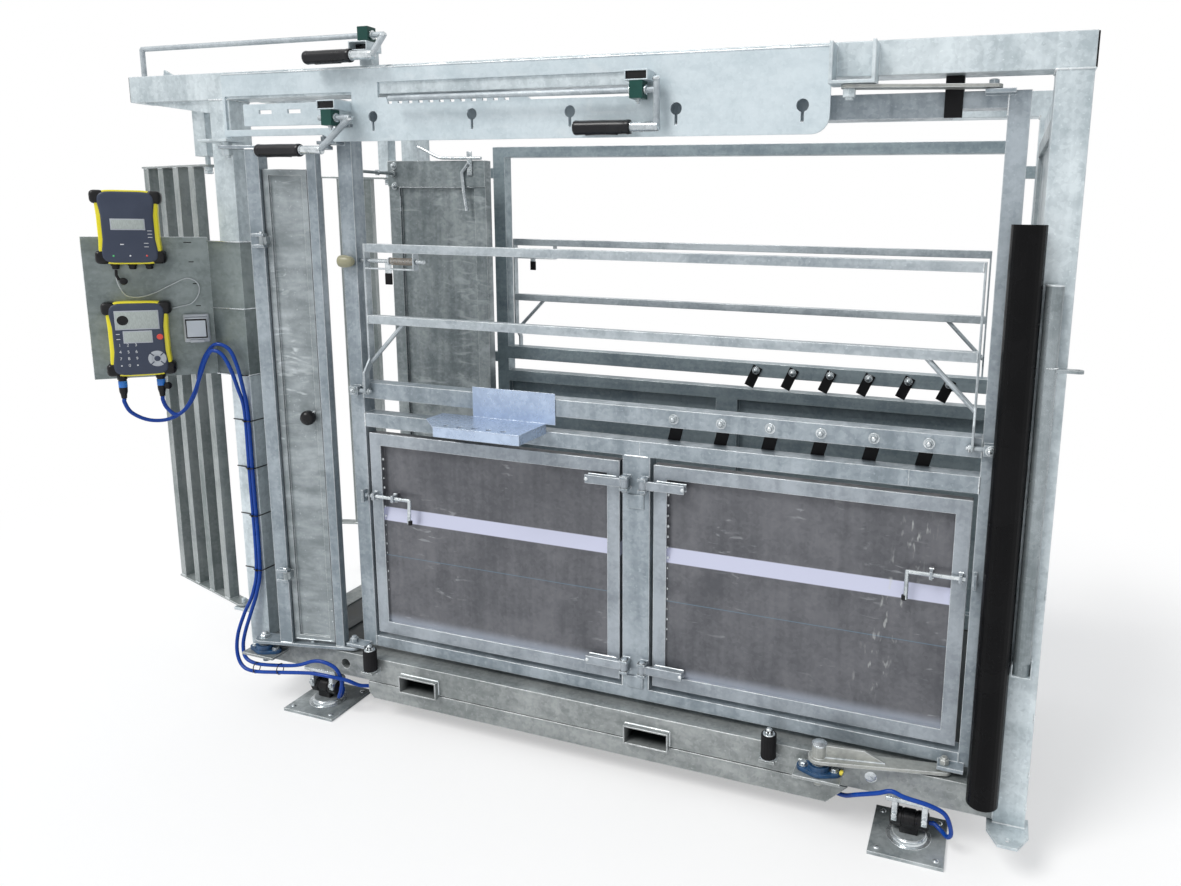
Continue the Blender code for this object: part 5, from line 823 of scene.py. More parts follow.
    def nut(self, at: Triple, along: Triple, radius: float, height: float) -> "Shape":
        """Hexagon nut with chamfered corners.

        Args:
            at: Foot of the part.
            along: Direction that it points in.
            radius: Radius over the corners.
            height: Thickness.

        Returns:
            The shape itself.
        """
        return self.lathe([(radius * 0.90, 0.0), (radius, height * 0.14), (radius, height * 0.80),
                           (radius * 0.84, height)], at, along, 6)

    def dome_nut(self, at: Triple, along: Triple, radius: float) -> "Shape":
        """Washer, nut and domed cap on a bolt.

        Args:
            at: Foot of the part.
            along: Direction that it points in.
            radius: Radius of the nut over the corners.

        Returns:
            The shape itself.
        """
        axis = Vector(along).normalized()
        base = Vector(at)
        washer = [(radius * 1.30, 0.0), (radius * 1.34, 0.0006), (radius * 1.30, 0.0016), (0, 0.0016)]
        self.lathe(washer, at, along)
        self.nut(tuple(base + axis * 0.0014), along, radius, radius * 0.66)
        top = tuple(base + axis * (0.0014 + radius * 0.64))
        cap = [(radius * 0.74, 0.0), (radius * 0.72, radius * 0.25), (radius * 0.50, radius * 0.55),
               (radius * 0.20, radius * 0.68), (0.0, radius * 0.70)]
        return self.lathe(cap, top, along, 18)

    def dome(self, at: Triple, along: Triple, radius: float, height: float) -> "Shape":
        """Low domed head.

        Args:
            at: Foot of the part.
            along: Direction that it points in.
            radius: Radius.
            height: Height of the dome.

        Returns:
            The shape itself.
        """
        return self.lathe([(radius, 0.0), (radius * 0.96, height * 0.35), (radius * 0.70, height * 0.80),
                           (radius * 0.30, height * 0.98), (0.0, height)], at, along, 18)

    def far(self) -> "Shape":
        """Mirror the shape to the far side.

        Returns:
            The shape itself.
        """
        self.bm.transform(Matrix.Translation((0, WIDTH, 0)) @ Matrix.Scale(-1, 4, (0, 1, 0)))
        bmesh.ops.reverse_faces(self.bm, faces=self.bm.faces[:])
        return self


def add_piece(name: str, shape: Shape, finish: Finish, body: str,
              smooth_deg: float = 40.0) -> bpy.types.Object:
    """Turn a shape into a dressed piece that rides on a body.

    Args:
        name: Name of the piece.
        shape: Its mesh in the datum frame.
        finish: Its finish.
        body: Body that carries it.
        smooth_deg: Edges sharper than this stay sharp.

    Returns:
        The piece.
    """
    mesh = bpy.data.meshes.new(name)
    shape.bm.transform(Matrix.Translation(DATUM))
    shape.bm.to_mesh(mesh)
    shape.bm.free()
    mesh.shade_smooth()
    mesh.set_sharp_from_angle(angle=math.radians(smooth_deg))
    mesh.materials.append(material_of(finish))
    piece = bpy.data.objects.new(name, mesh)
    bpy.context.scene.collection.objects.link(piece)
    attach(piece, body)
    LOG.info("piece %s on %s: %d faces", name, body, len(mesh.polygons))
    return piece


def dress(finish: Finish, *nodes: str) -> None:
    """Give CAD nodes a finish.

    Args:
        finish: The finish.
        *nodes: Names of CAD nodes.
    """
    for name in nodes:
        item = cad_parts[name]
        item.data.materials.clear()
        item.data.materials.append(material_of(finish))
        LOG.info("node %s: %s", name, finish.name)


def curve_through(points: list[Triple], steps: int = 7) -> list[Vector]:
    """Smooth path through control points.

    Args:
        points: Control points.
        steps: Path points per stretch.

    Returns:
        Path in the same frame.
    """
    route = [Vector(point) for point in points]
    padded = [route[0] * 2 - route[1], *route, route[-1] * 2 - route[-2]]
    path = []
    for a, b, c, d in zip(padded, padded[1:], padded[2:], padded[3:]):
        for step in range(steps):
            t = step / steps
            path.append(0.5 * (2 * b + (c - a) * t + (2 * a - 5 * b + 4 * c - d) * t ** 2
                               + (3 * b - a - 3 * c + d) * t ** 3))
    path.append(route[-1])
    return path


# Studio


@dataclass
class Studio:
    """Pale floor, white backdrop, soft light and the photograph's camera."""

    lens: float = 26.727
    shift: Pair = (-0.08789, -0.05461)
    eye: Triple = (1.3516, -2.62317, 1.674)
    right: Triple = (0.94427, 0.32880, 0.01561)
    down: Triple = (0.07386, -0.16543, -0.98345)
    forward: Triple = (-0.32078, 0.92980, -0.18049)
    floor_reach: float = 26.0
    fade: Pair = (1.9, 3.8)
    floor_glow: float = 0.45
    sun_strength: float = 1.9
    sun_from: Triple = (-0.42, -0.62, 0.86)
    sky: tuple[Pair, ...] = ((0.0, 0.30), (0.48, 0.38), (0.62, 0.52), (1.0, 0.78))

    def build(self) -> None:
        """Make camera, lights, world and floor."""
        self.build_camera()
        self.build_world()
        self.build_floor()
        self.build_sun()
        bpy.context.scene.view_settings.view_transform = "Standard"

    def build_camera(self) -> None:
        """Camera at the photograph's place."""
        data = bpy.data.cameras.new("photo_camera")
        data.sensor_width = 36.0
        data.sensor_fit = "HORIZONTAL"
        data.lens = self.lens
        data.shift_x, data.shift_y = self.shift
        data.dof.use_dof = False
        camera = bpy.data.objects.new("photo_camera", data)
        up = tuple(-v for v in self.down)
        back = tuple(-v for v in self.forward)
        turn = Matrix((self.right, up, back)).transposed()
        camera.matrix_world = Matrix.Translation(self.eye) @ turn.to_4x4()
        bpy.context.scene.collection.objects.link(camera)
        bpy.context.scene.camera = camera

    def build_world(self) -> None:
        """White backdrop for camera and gloss, soft graded light for the rest."""
        world = bpy.data.worlds.new("studio_world")
        bpy.context.scene.world = world
        world.use_nodes = True
        tree = world.node_tree
        tree.nodes.clear()
        coords = tree.nodes.new("ShaderNodeTexCoord")
        split = tree.nodes.new("ShaderNodeSeparateXYZ")
        tree.links.new(coords.outputs["Generated"], split.inputs[0])
        half = tree.nodes.new("ShaderNodeMath")
        half.operation = "MULTIPLY_ADD"
        half.inputs[1].default_value = 0.5
        half.inputs[2].default_value = 0.5
        tree.links.new(split.outputs["Z"], half.inputs[0])
        ramp = tree.nodes.new("ShaderNodeValToRGB")
        tree.links.new(half.outputs[0], ramp.inputs[0])
        while len(ramp.color_ramp.elements) < len(self.sky):
            ramp.color_ramp.elements.new(0.5)
        for element, (place, level) in zip(ramp.color_ramp.elements, self.sky):
            element.position = place
            element.color = (level * 0.97, level * 0.99, level * 1.02, 1.0)
        path = tree.nodes.new("ShaderNodeLightPath")
        seen = tree.nodes.new("ShaderNodeMath")
        seen.operation = "MAXIMUM"
        tree.links.new(path.outputs["Is Camera Ray"], seen.inputs[0])
        tree.links.new(path.outputs["Is Glossy Ray"], seen.inputs[1])
        clear = tree.nodes.new("ShaderNodeMath")
        clear.operation = "MAXIMUM"
        tree.links.new(seen.outputs[0], clear.inputs[0])
        tree.links.new(path.outputs["Is Transmission Ray"], clear.inputs[1])
        mix = tree.nodes.new("ShaderNodeMix")
        mix.data_type = "RGBA"
        tree.links.new(clear.outputs[0], mix.inputs[0])
        tree.links.new(ramp.outputs[0], mix.inputs[6])
        mix.inputs[7].default_value = (1.0, 1.0, 1.0, 1.0)
        back = tree.nodes.new("ShaderNodeBackground")
        tree.links.new(mix.outputs[2], back.inputs["Color"])
        out = tree.nodes.new("ShaderNodeOutputWorld")
        tree.links.new(back.outputs[0], out.inputs["Surface"])

    def build_floor(self) -> None:
        """Plain pale floor that melts into the backdrop and keeps the shadow."""
        mesh = bpy.data.meshes.new("studio_floor")
        reach = self.floor_reach
        mesh.from_pydata([(-reach, -reach, 0), (reach, -reach, 0), (reach, reach, 0), (-reach, reach, 0)], [],
                         [(0, 1, 2, 3)])
        floor = bpy.data.objects.new("studio_floor", mesh)
        bpy.context.scene.collection.objects.link(floor)
        recipe = Recipe("studio_floor")
        recipe.complete((0.96, 0.96, 0.96), 0.9, 0.0, recipe.noise(300.0, 2.0), 0.01, 0.0005, gloss=0.1)
        length = recipe.node("ShaderNodeVectorMath", operation="LENGTH")
        recipe.feed(length.inputs[0], recipe.coords)
        away = recipe.spread(length.outputs["Value"], *self.fade, self.floor_glow, 1.0)
        path = recipe.node("ShaderNodeLightPath")
        glow = recipe.node("ShaderNodeEmission")
        mix = recipe.node("ShaderNodeMixShader")
        recipe.feed(mix.inputs[0], recipe.calc("MULTIPLY", away, path.outputs["Is Camera Ray"]))
        recipe.feed(mix.inputs[1], recipe.shader.outputs[0])
        recipe.feed(mix.inputs[2], glow.outputs[0])
        out = next(node for node in recipe.tree.nodes if node.type == "OUTPUT_MATERIAL")
        recipe.feed(out.inputs["Surface"], mix.outputs[0])
        mesh.materials.append(recipe.material)

    def build_sun(self) -> None:
        """Broad soft lamp from above the operator's left shoulder."""
        data = bpy.data.lights.new("key_light", "SUN")
        data.energy = self.sun_strength
        data.angle = math.radians(22.0)
        data.color = (1.0, 0.99, 0.97)
        lamp = bpy.data.objects.new("key_light", data)
        lamp.rotation_euler = Vector(self.sun_from).to_track_quat("Z", "Y").to_euler()
        bpy.context.scene.collection.objects.link(lamp)


# Frame


@dataclass
class Gantries:
    """Posts, beams and base: end caps, weld beads, bolts and plugs."""

    length: float = 2.551
    post: float = 0.080
    overhang: float = 0.330
    beam: Pair = (1.893, 1.973)
    cap: float = 0.004
    plug_at: Triple = (-0.397, 0.0, 0.061)
    plug_radius: float = 0.017
    pocket_x: tuple[Pair, ...] = ((-1.126, -0.984), (-1.926, -1.784))
    pocket_z: Pair = (0.007, 0.065)
    wing_pin: Pair = (-2.640, 0.060)
    skin: float = -0.0006
    bracket_edges: tuple[float, ...] = (-0.600, -0.470, -2.052, -2.008, -0.702, -0.658)

    def build(self) -> None:
        """Add every piece and dress the nodes."""
        dress(ZINC, "gantry_near", "gantry_far")
        dress(ZINC_BASE, "base_frame")
        dress(DECK, "floor_deck")
        self.build_caps()
        self.build_welds(Side.NEAR)
        self.build_welds(Side.FAR)
        self.build_base_details()
        self.build_wing_bolts()

    def build_caps(self) -> None:
        """Black push-in caps on the open ends of both beams."""
        shape = Shape()
        for low in (0.0, WIDTH - self.post):
            y = (low + 0.0012, low + self.post - 0.0012)
            z = (self.beam[0] + 0.0012, self.beam[1] - 0.0012)
            for start, sign in ((0.0, 1), (-self.length - self.overhang, -1)):
                x = sorted((start, start + sign * self.cap))
                shape.box(tuple(x), y, z, 0.0012)
        add_piece("beam_end_caps", shape, BLACK, "frame")

    def build_welds(self, side: Side) -> None:
        """Beads where posts, beam and base meet.

        Args:
            side: Side of the crush.
        """
        shape = Shape()
        out = -0.0004
        front = -self.length
        for x in ((-self.post, 0.0), (front, front + self.post)):
            shape.weld((x[0], out, self.beam[0]), (x[1], out, self.beam[0]), 0.0022)
            shape.weld((x[0] - 0.0004, 0.0, self.beam[0]), (x[0] - 0.0004, self.post, self.beam[0]))
            shape.weld((x[1] + 0.0004, 0.0, self.beam[0]), (x[1] + 0.0004, self.post, self.beam[0]))
        for x in (-self.post, front + self.post):
            shape.weld((x, out, 0.020), (x, out, 0.099), 0.0022)
        pin_x, pin_y = self.wing_pin
        for x in (pin_x - 0.0254, pin_x + 0.0254):
            shape.weld((x, pin_y - 0.024, self.beam[0] - 0.0004), (x, pin_y + 0.024, self.beam[0] - 0.0004))
        shape.weld((-0.080, out, 0.0090), (0.0, out, 0.0090), 0.0024)
        if side is Side.FAR:
            shape.far()
        add_piece(f"frame_welds_{side.name.lower()}", shape, WELD, "frame", 60.0)

    def build_base_details(self) -> None:
        """Hole plug, fork pocket beads and bracket welds on the base."""
        shape = Shape()
        r = self.plug_radius
        plug = [(r, -0.0010), (r, 0.0012), (r * 0.86, 0.0026), (r * 0.60, 0.0022), (0.0, 0.0018)]
        shape.lathe(plug, self.plug_at, (0, -1, 0), 32)
        add_piece("base_hole_plug", shape, BRIGHT, "frame")
        shape = Shape()
        low, high = self.pocket_z
        for left, right in self.pocket_x:
            for edge in (left, right):
                shape.weld((edge, self.skin, low + 0.012), (edge, self.skin, high), 0.0026)
            shape.weld((left, self.skin, high), (right, self.skin, high), 0.0026)
        for x in self.bracket_edges:
            shape.weld((x, -0.022, 0.0600), (x, -0.002, 0.0600), 0.0020)
        for x in (-0.680, -2.030):
            shape.weld((x - 0.020, -0.0012, 0.0712), (x + 0.020, -0.0012, 0.0712), 0.0020)
        shape.weld((-0.598, -0.0012, 0.0690), (-0.472, -0.0012, 0.0690), 0.0020)
        add_piece("base_welds", shape, WELD, "frame", 60.0)

    def build_wing_bolts(self) -> None:
        """Bolt heads under the wings' top pins and over their lower lugs."""
        for side in Side:
            shape = Shape()
            x, y = self.wing_pin
            shape.nut((x, y, 1.6795), (0, 0, -1), 0.0142, 0.010)
            shape.lathe([(0.018, 0.0), (0.018, 0.0018), (0.010, 0.0018)], (x, y, 1.6925), (0, 0, -1))
            shape.dome_nut((x, y, 0.1510), (0, 0, -1), 0.0120)
            if side is Side.FAR:
                shape.far()
            add_piece(f"wing_bolts_{side.name.lower()}", shape, BRIGHT, "frame")


@dataclass
class Handle:
    """Moulded grip, plated socket and bush bolt of one crank handle."""

    name: str
    body: str
    tip: Triple
    bush: Triple
    crank: Triple
    bolt_down: bool = True
    socket_length: float = 0.082
    grip_length: float = 0.156
    grip_radius: float = 0.0184

    def build(self) -> None:
        """Add the handle's pieces."""
        split = self.tip[0] - self.socket_length
        base = (split + 0.006, self.tip[1], self.tip[2])
        r = self.grip_radius
        end = self.grip_length + 0.006
        profile = [(r * 0.80, 0.0), (r * 0.98, 0.0020), (r * 1.03, 0.0060), (r * 1.03, 0.0110),
                   (r * 0.99, 0.0140), (r, 0.030), (r * 1.02, end * 0.5), (r, end - 0.030),
                   (r * 1.02, end - 0.012), (r * 1.05, end - 0.005), (r * 1.00, end - 0.0015),
                   (r * 0.86, end + 0.0006), (0.0, end + 0.0010)]
        grip = Shape().lathe(profile, base, (-1, 0, 0), 36)
        mid_x = split - self.grip_length * 0.5
        for angle in (-90.0, 20.0):
            grip.tube(self.oval(mid_x, r * 1.02, angle), 0.0013, 8, closed=True)
        add_piece(f"{self.name}_grip", grip, GRIP, self.body)
        metal = Shape()
        metal.lathe([(0.0100, -0.0012), (0.0126, 0.0006), (0.0128, 0.004), (0.0128, 0.078), (0.0122, 0.0800),
                     (0.0122, 0.084)], self.tip, (-1, 0, 0), 28)
        metal.lathe([(0.0140, 0.0), (0.0140, 0.0035), (0.0128, 0.0050)],
                    (split + 0.0085, *self.tip[1:]), (-1, 0, 0))
        metal.dome((self.tip[0] - 0.006, self.tip[1] - 0.0122, self.tip[2]), (0, -1, 0), 0.0036, 0.0010)
        metal.lathe([(0.0096, 0.0), (0.0115, 0.0010), (0.0115, 0.0060), (0.0096, 0.0070)],
                    self.crank, (0, -0.4, 1), 20)
        add_piece(f"{self.name}_socket", metal, BRIGHT, self.body)
        bolts = Shape()
        x, y, z = self.bush
        if self.bolt_down:
            bolts.lathe([(0.0095, 0.0), (0.0095, 0.0014), (0.0, 0.0014)], (x, y, z - 0.0220), (0, 0, -1))
            bolts.nut((x, y, z - 0.0232), (0, 0, -1), 0.0074, 0.0062)
            bolts.rod((x, y, z - 0.0290), (x, y, z - 0.0345), 0.0040, 14)
        for sign in (-1, 1):
            bolts.lathe([(0.0118, 0.0), (0.0128, 0.0008), (0.0128, 0.0052), (0.0110, 0.0060),
                         (0.0082, 0.0060)], (x + sign * 0.0182, y, z), (sign, 0, 0), 24)
        add_piece(f"{self.name}_bush_hardware", bolts, BRIGHT, "frame")

    def oval(self, mid_x: float, radius: float, angle_deg: float) -> list[Vector]:
        """Long oval that hugs the grip.

        Args:
            mid_x: Its middle along the grip.
            radius: Radius of the grip.
            angle_deg: Where it lies round the grip.

        Returns:
            Closed ring of points.
        """
        ring = []
        for i in range(40):
            a = 2 * math.pi * i / 40
            along = 0.046 * math.copysign(abs(math.cos(a)) ** 0.6, math.cos(a))
            swing = math.radians(angle_deg) + 0.36 * math.copysign(abs(math.sin(a)) ** 0.8, math.sin(a))
            ring.append(Vector((mid_x + along, self.tip[1] + radius * math.cos(swing),
                                self.tip[2] + radius * math.sin(swing))))
        return ring


@dataclass
class Handles:
    """The top plate and the three crank handles."""

    handles: list[Handle] = field(default_factory=lambda: [
        Handle("rack", "rack_handle", (-1.019, -0.040, 1.7822), (-1.075, -0.040, 1.8732),
               (-1.025, -0.040, 1.8990)),
        Handle("low", "low_handle", (-2.073, -0.058, 1.7322), (-2.035, -0.058, 1.8222),
               (-1.965, -0.058, 1.8160)),
        Handle("top", "top_handle", (-1.884, -0.045, 1.9938), (-1.950, 0.012, 2.0583),
               (-1.890, 0.008, 2.0540), False),
    ])

    def build(self) -> None:
        """Add every handle and dress the rods and bushes."""
        dress(ZINC_PLATE, "top_plate")
        dress(ZINC_RAIL, "rack_rod", "low_rod", "top_rod")
        dress(GREEN, "bush_rack", "bush_low", "bush_top")
        for handle in self.handles:
            handle.build()
        # Painted shade: thin black plates where the bracket tubes' hollow insides show.
        inside = Shape()
        for x, y, z in ((-1.075, -0.058, 1.9085), (-2.035, -0.076, 1.8575), (-1.950, -0.006, 2.0230)):
            inside.box((x - 0.0285, x + 0.0285), (y + 0.004, y + 0.006), (z - 0.0095, z + 0.0095), 0.0004)
        add_piece("bracket_tube_painted_shade", inside, BLACK, "frame")
        shape = Shape()
        shape.weld((-2.486, -0.0070, 1.9655), (-0.590, -0.0070, 1.9655), 0.0014)
        for x in (-2.20, -1.70, -1.20, -0.72):
            shape.weld((x - 0.03, -0.0010, 1.9670), (x + 0.03, -0.0010, 1.9670), 0.0030)
        add_piece("plate_welds", shape, WELD, "frame", 60.0)


# Feet, bearings and arms


@dataclass
class Feet:
    """Floor plates with discs, and weigh cells in their yokes."""

    places: tuple[tuple[str, float, Side], ...] = (
        ("rear_near", -0.290, Side.NEAR), ("front_near", -2.261, Side.NEAR),
        ("rear_far", -0.290, Side.FAR), ("front_far", -2.261, Side.FAR))
    y: float = 0.030
    plate_top: float = -0.110
    disc_top: float = -0.0940
    cell_z: float = -0.0577
    yoke: Pair = (0.0047, 0.0167)

    def build(self) -> None:
        """Add the pieces of all four feet."""
        for name, x, side in self.places:
            dress(ZINC_PLATE_FOOT, f"foot_plate_{name}")
            self.build_disc(name, x, side)
            self.build_cell(name, x, side)

    def build_disc(self, name: str, x: float, side: Side) -> None:
        """Turned disc and dome bolts on the floor plate.

        Args:
            name: Corner.
            x: Centre.
            side: Side of the crush.
        """
        shape = Shape()
        low = self.plate_top
        shape.lathe([(0.060, 0.0), (0.061, 0.0010), (0.060, 0.0022), (0.050, 0.0026), (0.0475, 0.0060),
                     (0.0475, 0.0110), (0.0455, 0.0130), (0.0400, 0.0132), (0.0385, 0.0120), (0.0330, 0.0120),
                     (0.0315, 0.0158), (0.0, 0.0160)], (x, self.y, low), (0, 0, 1), 48)
        for dx, dy in ((-0.078, -0.078), (0.078, -0.078), (-0.078, 0.078), (0.078, 0.078)):
            shape.dome((x + dx, self.y + dy, low), (0, 0, 1), 0.0085, 0.0042)
        if side is Side.FAR:
            shape.far()
        add_piece(f"foot_disc_{name}", shape, BRIGHT, "frame")

    def build_cell(self, name: str, x: float, side: Side) -> None:
        """Grooved black cell under a bolted yoke.

        Args:
            name: Corner.
            x: Centre.
            side: Side of the crush.
        """
        body = Shape()
        body.lathe([(0.0, 0.0), (0.0190, 0.0), (0.0235, 0.0016), (0.0258, 0.0056), (0.0258, 0.0300),
                    (0.0236, 0.0314), (0.0236, 0.0360), (0.0258, 0.0376), (0.0258, 0.0664), (0.0236, 0.0680),
                    (0.0236, 0.0726), (0.0258, 0.0740), (0.0258, 0.0984), (0.0235, 0.1024), (0.0190, 0.1040),
                    (0.0, 0.1040)], (x - 0.052, self.y, self.cell_z), (1, 0, 0), 40)
        body.box((x - 0.0245, x + 0.0245), (self.y - 0.0195, self.y + 0.0195),
                 (self.disc_top + 0.0006, self.cell_z), 0.003)
        yoke = Shape()
        yoke.box((x - 0.0645, x + 0.0645), (self.y - 0.0345, self.y + 0.0345), self.yoke, 0.0022)
        for sign in (-1, 1):
            bolt_x = x + sign * 0.040
            yoke.box((bolt_x - 0.0078, bolt_x + 0.0078), (self.y - 0.0295, self.y + 0.0295),
                     (self.cell_z + 0.002, self.yoke[0] + 0.002), 0.0020)
            for out in (-1, 1):
                yoke.nut((bolt_x, self.y + out * 0.0290, self.cell_z + 0.020), (0, out, 0), 0.0084, 0.0064)
            yoke.dome((bolt_x + sign * 0.014, self.y - 0.020, self.yoke[0]), (0, 0, -1), 0.0060, 0.0040)
        rubber = body.far() if side is Side.FAR else body
        metal = yoke.far() if side is Side.FAR else yoke
        piece = add_piece(f"cell_body_{name}", rubber, BLACK, "frame")
        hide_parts(f"load_cell_{name}")
        add_piece(f"cell_yoke_{name}", metal, BRIGHT, "frame")


@dataclass
class Pivots:
    """Bearings, stops and the arms of the squeeze linkage."""

    rear: Pair = (-0.535, -0.035)
    front: Pair = (-2.455, -0.035)
    seat: float = 0.0683
    bolt_reach: float = 0.043
    bumper_x: Pair = (-2.030, -0.680)
    bumper_y: float = -0.0223
    rest_deg: float = 10.5

    def arm(self, pivot: Pair) -> Matrix:
        """Matrix of an arm at rest from its own frame."""
        return Matrix.Translation((*pivot, 0.0)) @ Matrix.Rotation(math.radians(self.rest_deg), 4, "Z")

    def build(self) -> None:
        """Add every piece and dress the nodes."""
        dress(BLUE_CAST, "bearing_rear", "bearing_front")
        dress(ZINC_ARM, "arm_lower", "link_upper")
        dress(ZINC_WALL, "arm_front")
        dress(ZINC_NECK, "neck_door")
        dress(RUBBER, "bumper_front", "bumper_rear", "guide_pad")
        for name, (x, y) in (("rear", self.rear), ("front", self.front)):
            shape = Shape()
            for sign in (-1, 1):
                shape.lathe([(0.0128, 0.0), (0.0128, 0.0016), (0.0, 0.0016)],
                            (x + sign * self.bolt_reach, y, self.seat + 0.0110), (0, 0, 1))
                shape.nut((x + sign * self.bolt_reach, y, self.seat + 0.0122), (0, 0, 1), 0.0112, 0.0080)
            shape.lathe([(0.0200, 0.0), (0.0200, 0.0010), (0.0180, 0.0014), (0.0130, 0.0014)],
                        (x, y, self.seat + 0.0258), (0, 0, 1), 32)
            add_piece(f"bearing_bolts_{name}", shape, BRIGHT, "frame")
        shape = Shape()
        x, y = self.rear
        shape.lathe([(0.0046, 0.0), (0.0052, 0.002), (0.0052, 0.010), (0.0040, 0.0125), (0.0, 0.0130)],
                    (x + 0.0610, y - 0.004, self.seat + 0.008), (0.35, -0.1, 1), 18)
        add_piece("bearing_nipple_cap", shape, NIPPLE, "frame")
        shape = Shape()
        for x in self.bumper_x:
            shape.lathe([(0.0170, 0.0), (0.0176, 0.0008), (0.0170, 0.0018), (0.0, 0.0018)],
                        (x, self.bumper_y, 0.1403), (0, 0, 1))
            shape.dome_nut((x, self.bumper_y, 0.1416), (0, 0, 1), 0.0126)
            shape.lathe([(0.0245, 0.0), (0.0250, 0.0010), (0.0240, 0.0018), (0.020, 0.0018)],
                        (x, self.bumper_y, 0.0701), (0, 0, 1))
        add_piece("bumper_nuts", shape, BRIGHT, "frame")
        self.build_knob()
        self.build_arm_details()

    def build_knob(self) -> None:
        """Black ball knob on the neck door."""
        shape = Shape(self.arm(self.front))
        shape.lathe([(0.0085, 0.0), (0.0095, 0.0060), (0.0180, 0.0072), (0.0228, 0.0098), (0.0238, 0.0170),
                     (0.0232, 0.0240), (0.0200, 0.0300), (0.0150, 0.0344), (0.0080, 0.0368), (0.0, 0.0374)],
                    (0.232, -0.0120, 0.905), (0, -1, 0), 36)
        add_piece("neck_door_knob", shape, BLACK, "neck_door")
        shape = Shape(self.arm(self.front))
        for z in (0.345, 1.445):
            shape.dome((0.130, -0.0335, z + 0.013), (0, -1, 0), 0.0050, 0.0030)
            shape.nut((0.1195, -0.0335, z + 0.0392), (0, 0, 1), 0.0086, 0.0060)
        shape.weld((0.124, -0.0126, 0.130), (0.264, -0.0126, 0.130), 0.0016)
        for z in (0.20, 0.24, 0.28):
            shape.dome((0.262, -0.0118, z), (0, -1, 0), 0.0030, 0.0016)
        shape.box((0.222, 0.246), (-0.0140, -0.0115), (0.888, 0.922), 0.0012)
        add_piece("neck_door_hardware", shape, BRIGHT, "neck_door")

    def build_arm_details(self) -> None:
        """Bolts, bosses and beads on the arms."""
        for name, pivot, body in (("rear", self.rear, "rear_arm"), ("front", self.front, "front_arm")):
            shape = Shape(self.arm(pivot))
            if name == "rear":
                shape.lathe([(0.0200, 0.0), (0.0206, 0.001), (0.0206, 0.0060), (0.0150, 0.0082),
                             (0.0, 0.0086)], (0, 0, 0.1480), (0, 0, 1), 32)
                shape.weld((0.006, -0.0086, 0.1166), (0.176, -0.0086, 0.1166), 0.0026)
            else:
                shape.dome_nut((0.0, 0.0, 0.1162), (0, 0, 1), 0.0150)
                shape.dome_nut((0.180, 0.0, 0.1162), (0, 0, 1), 0.0085)
            add_piece(f"arm_hardware_{name}", shape, BRIGHT, body)
        shape = Shape(self.arm(self.front))
        for y in (-0.0229, 0.0229):
            for z in (0.1165, 1.7395):
                shape.weld((0.074, y, z), (0.116, y, z), 0.0024)
        add_piece("neck_post_welds", shape, WELD, "front_arm", 60.0)


# Near wall


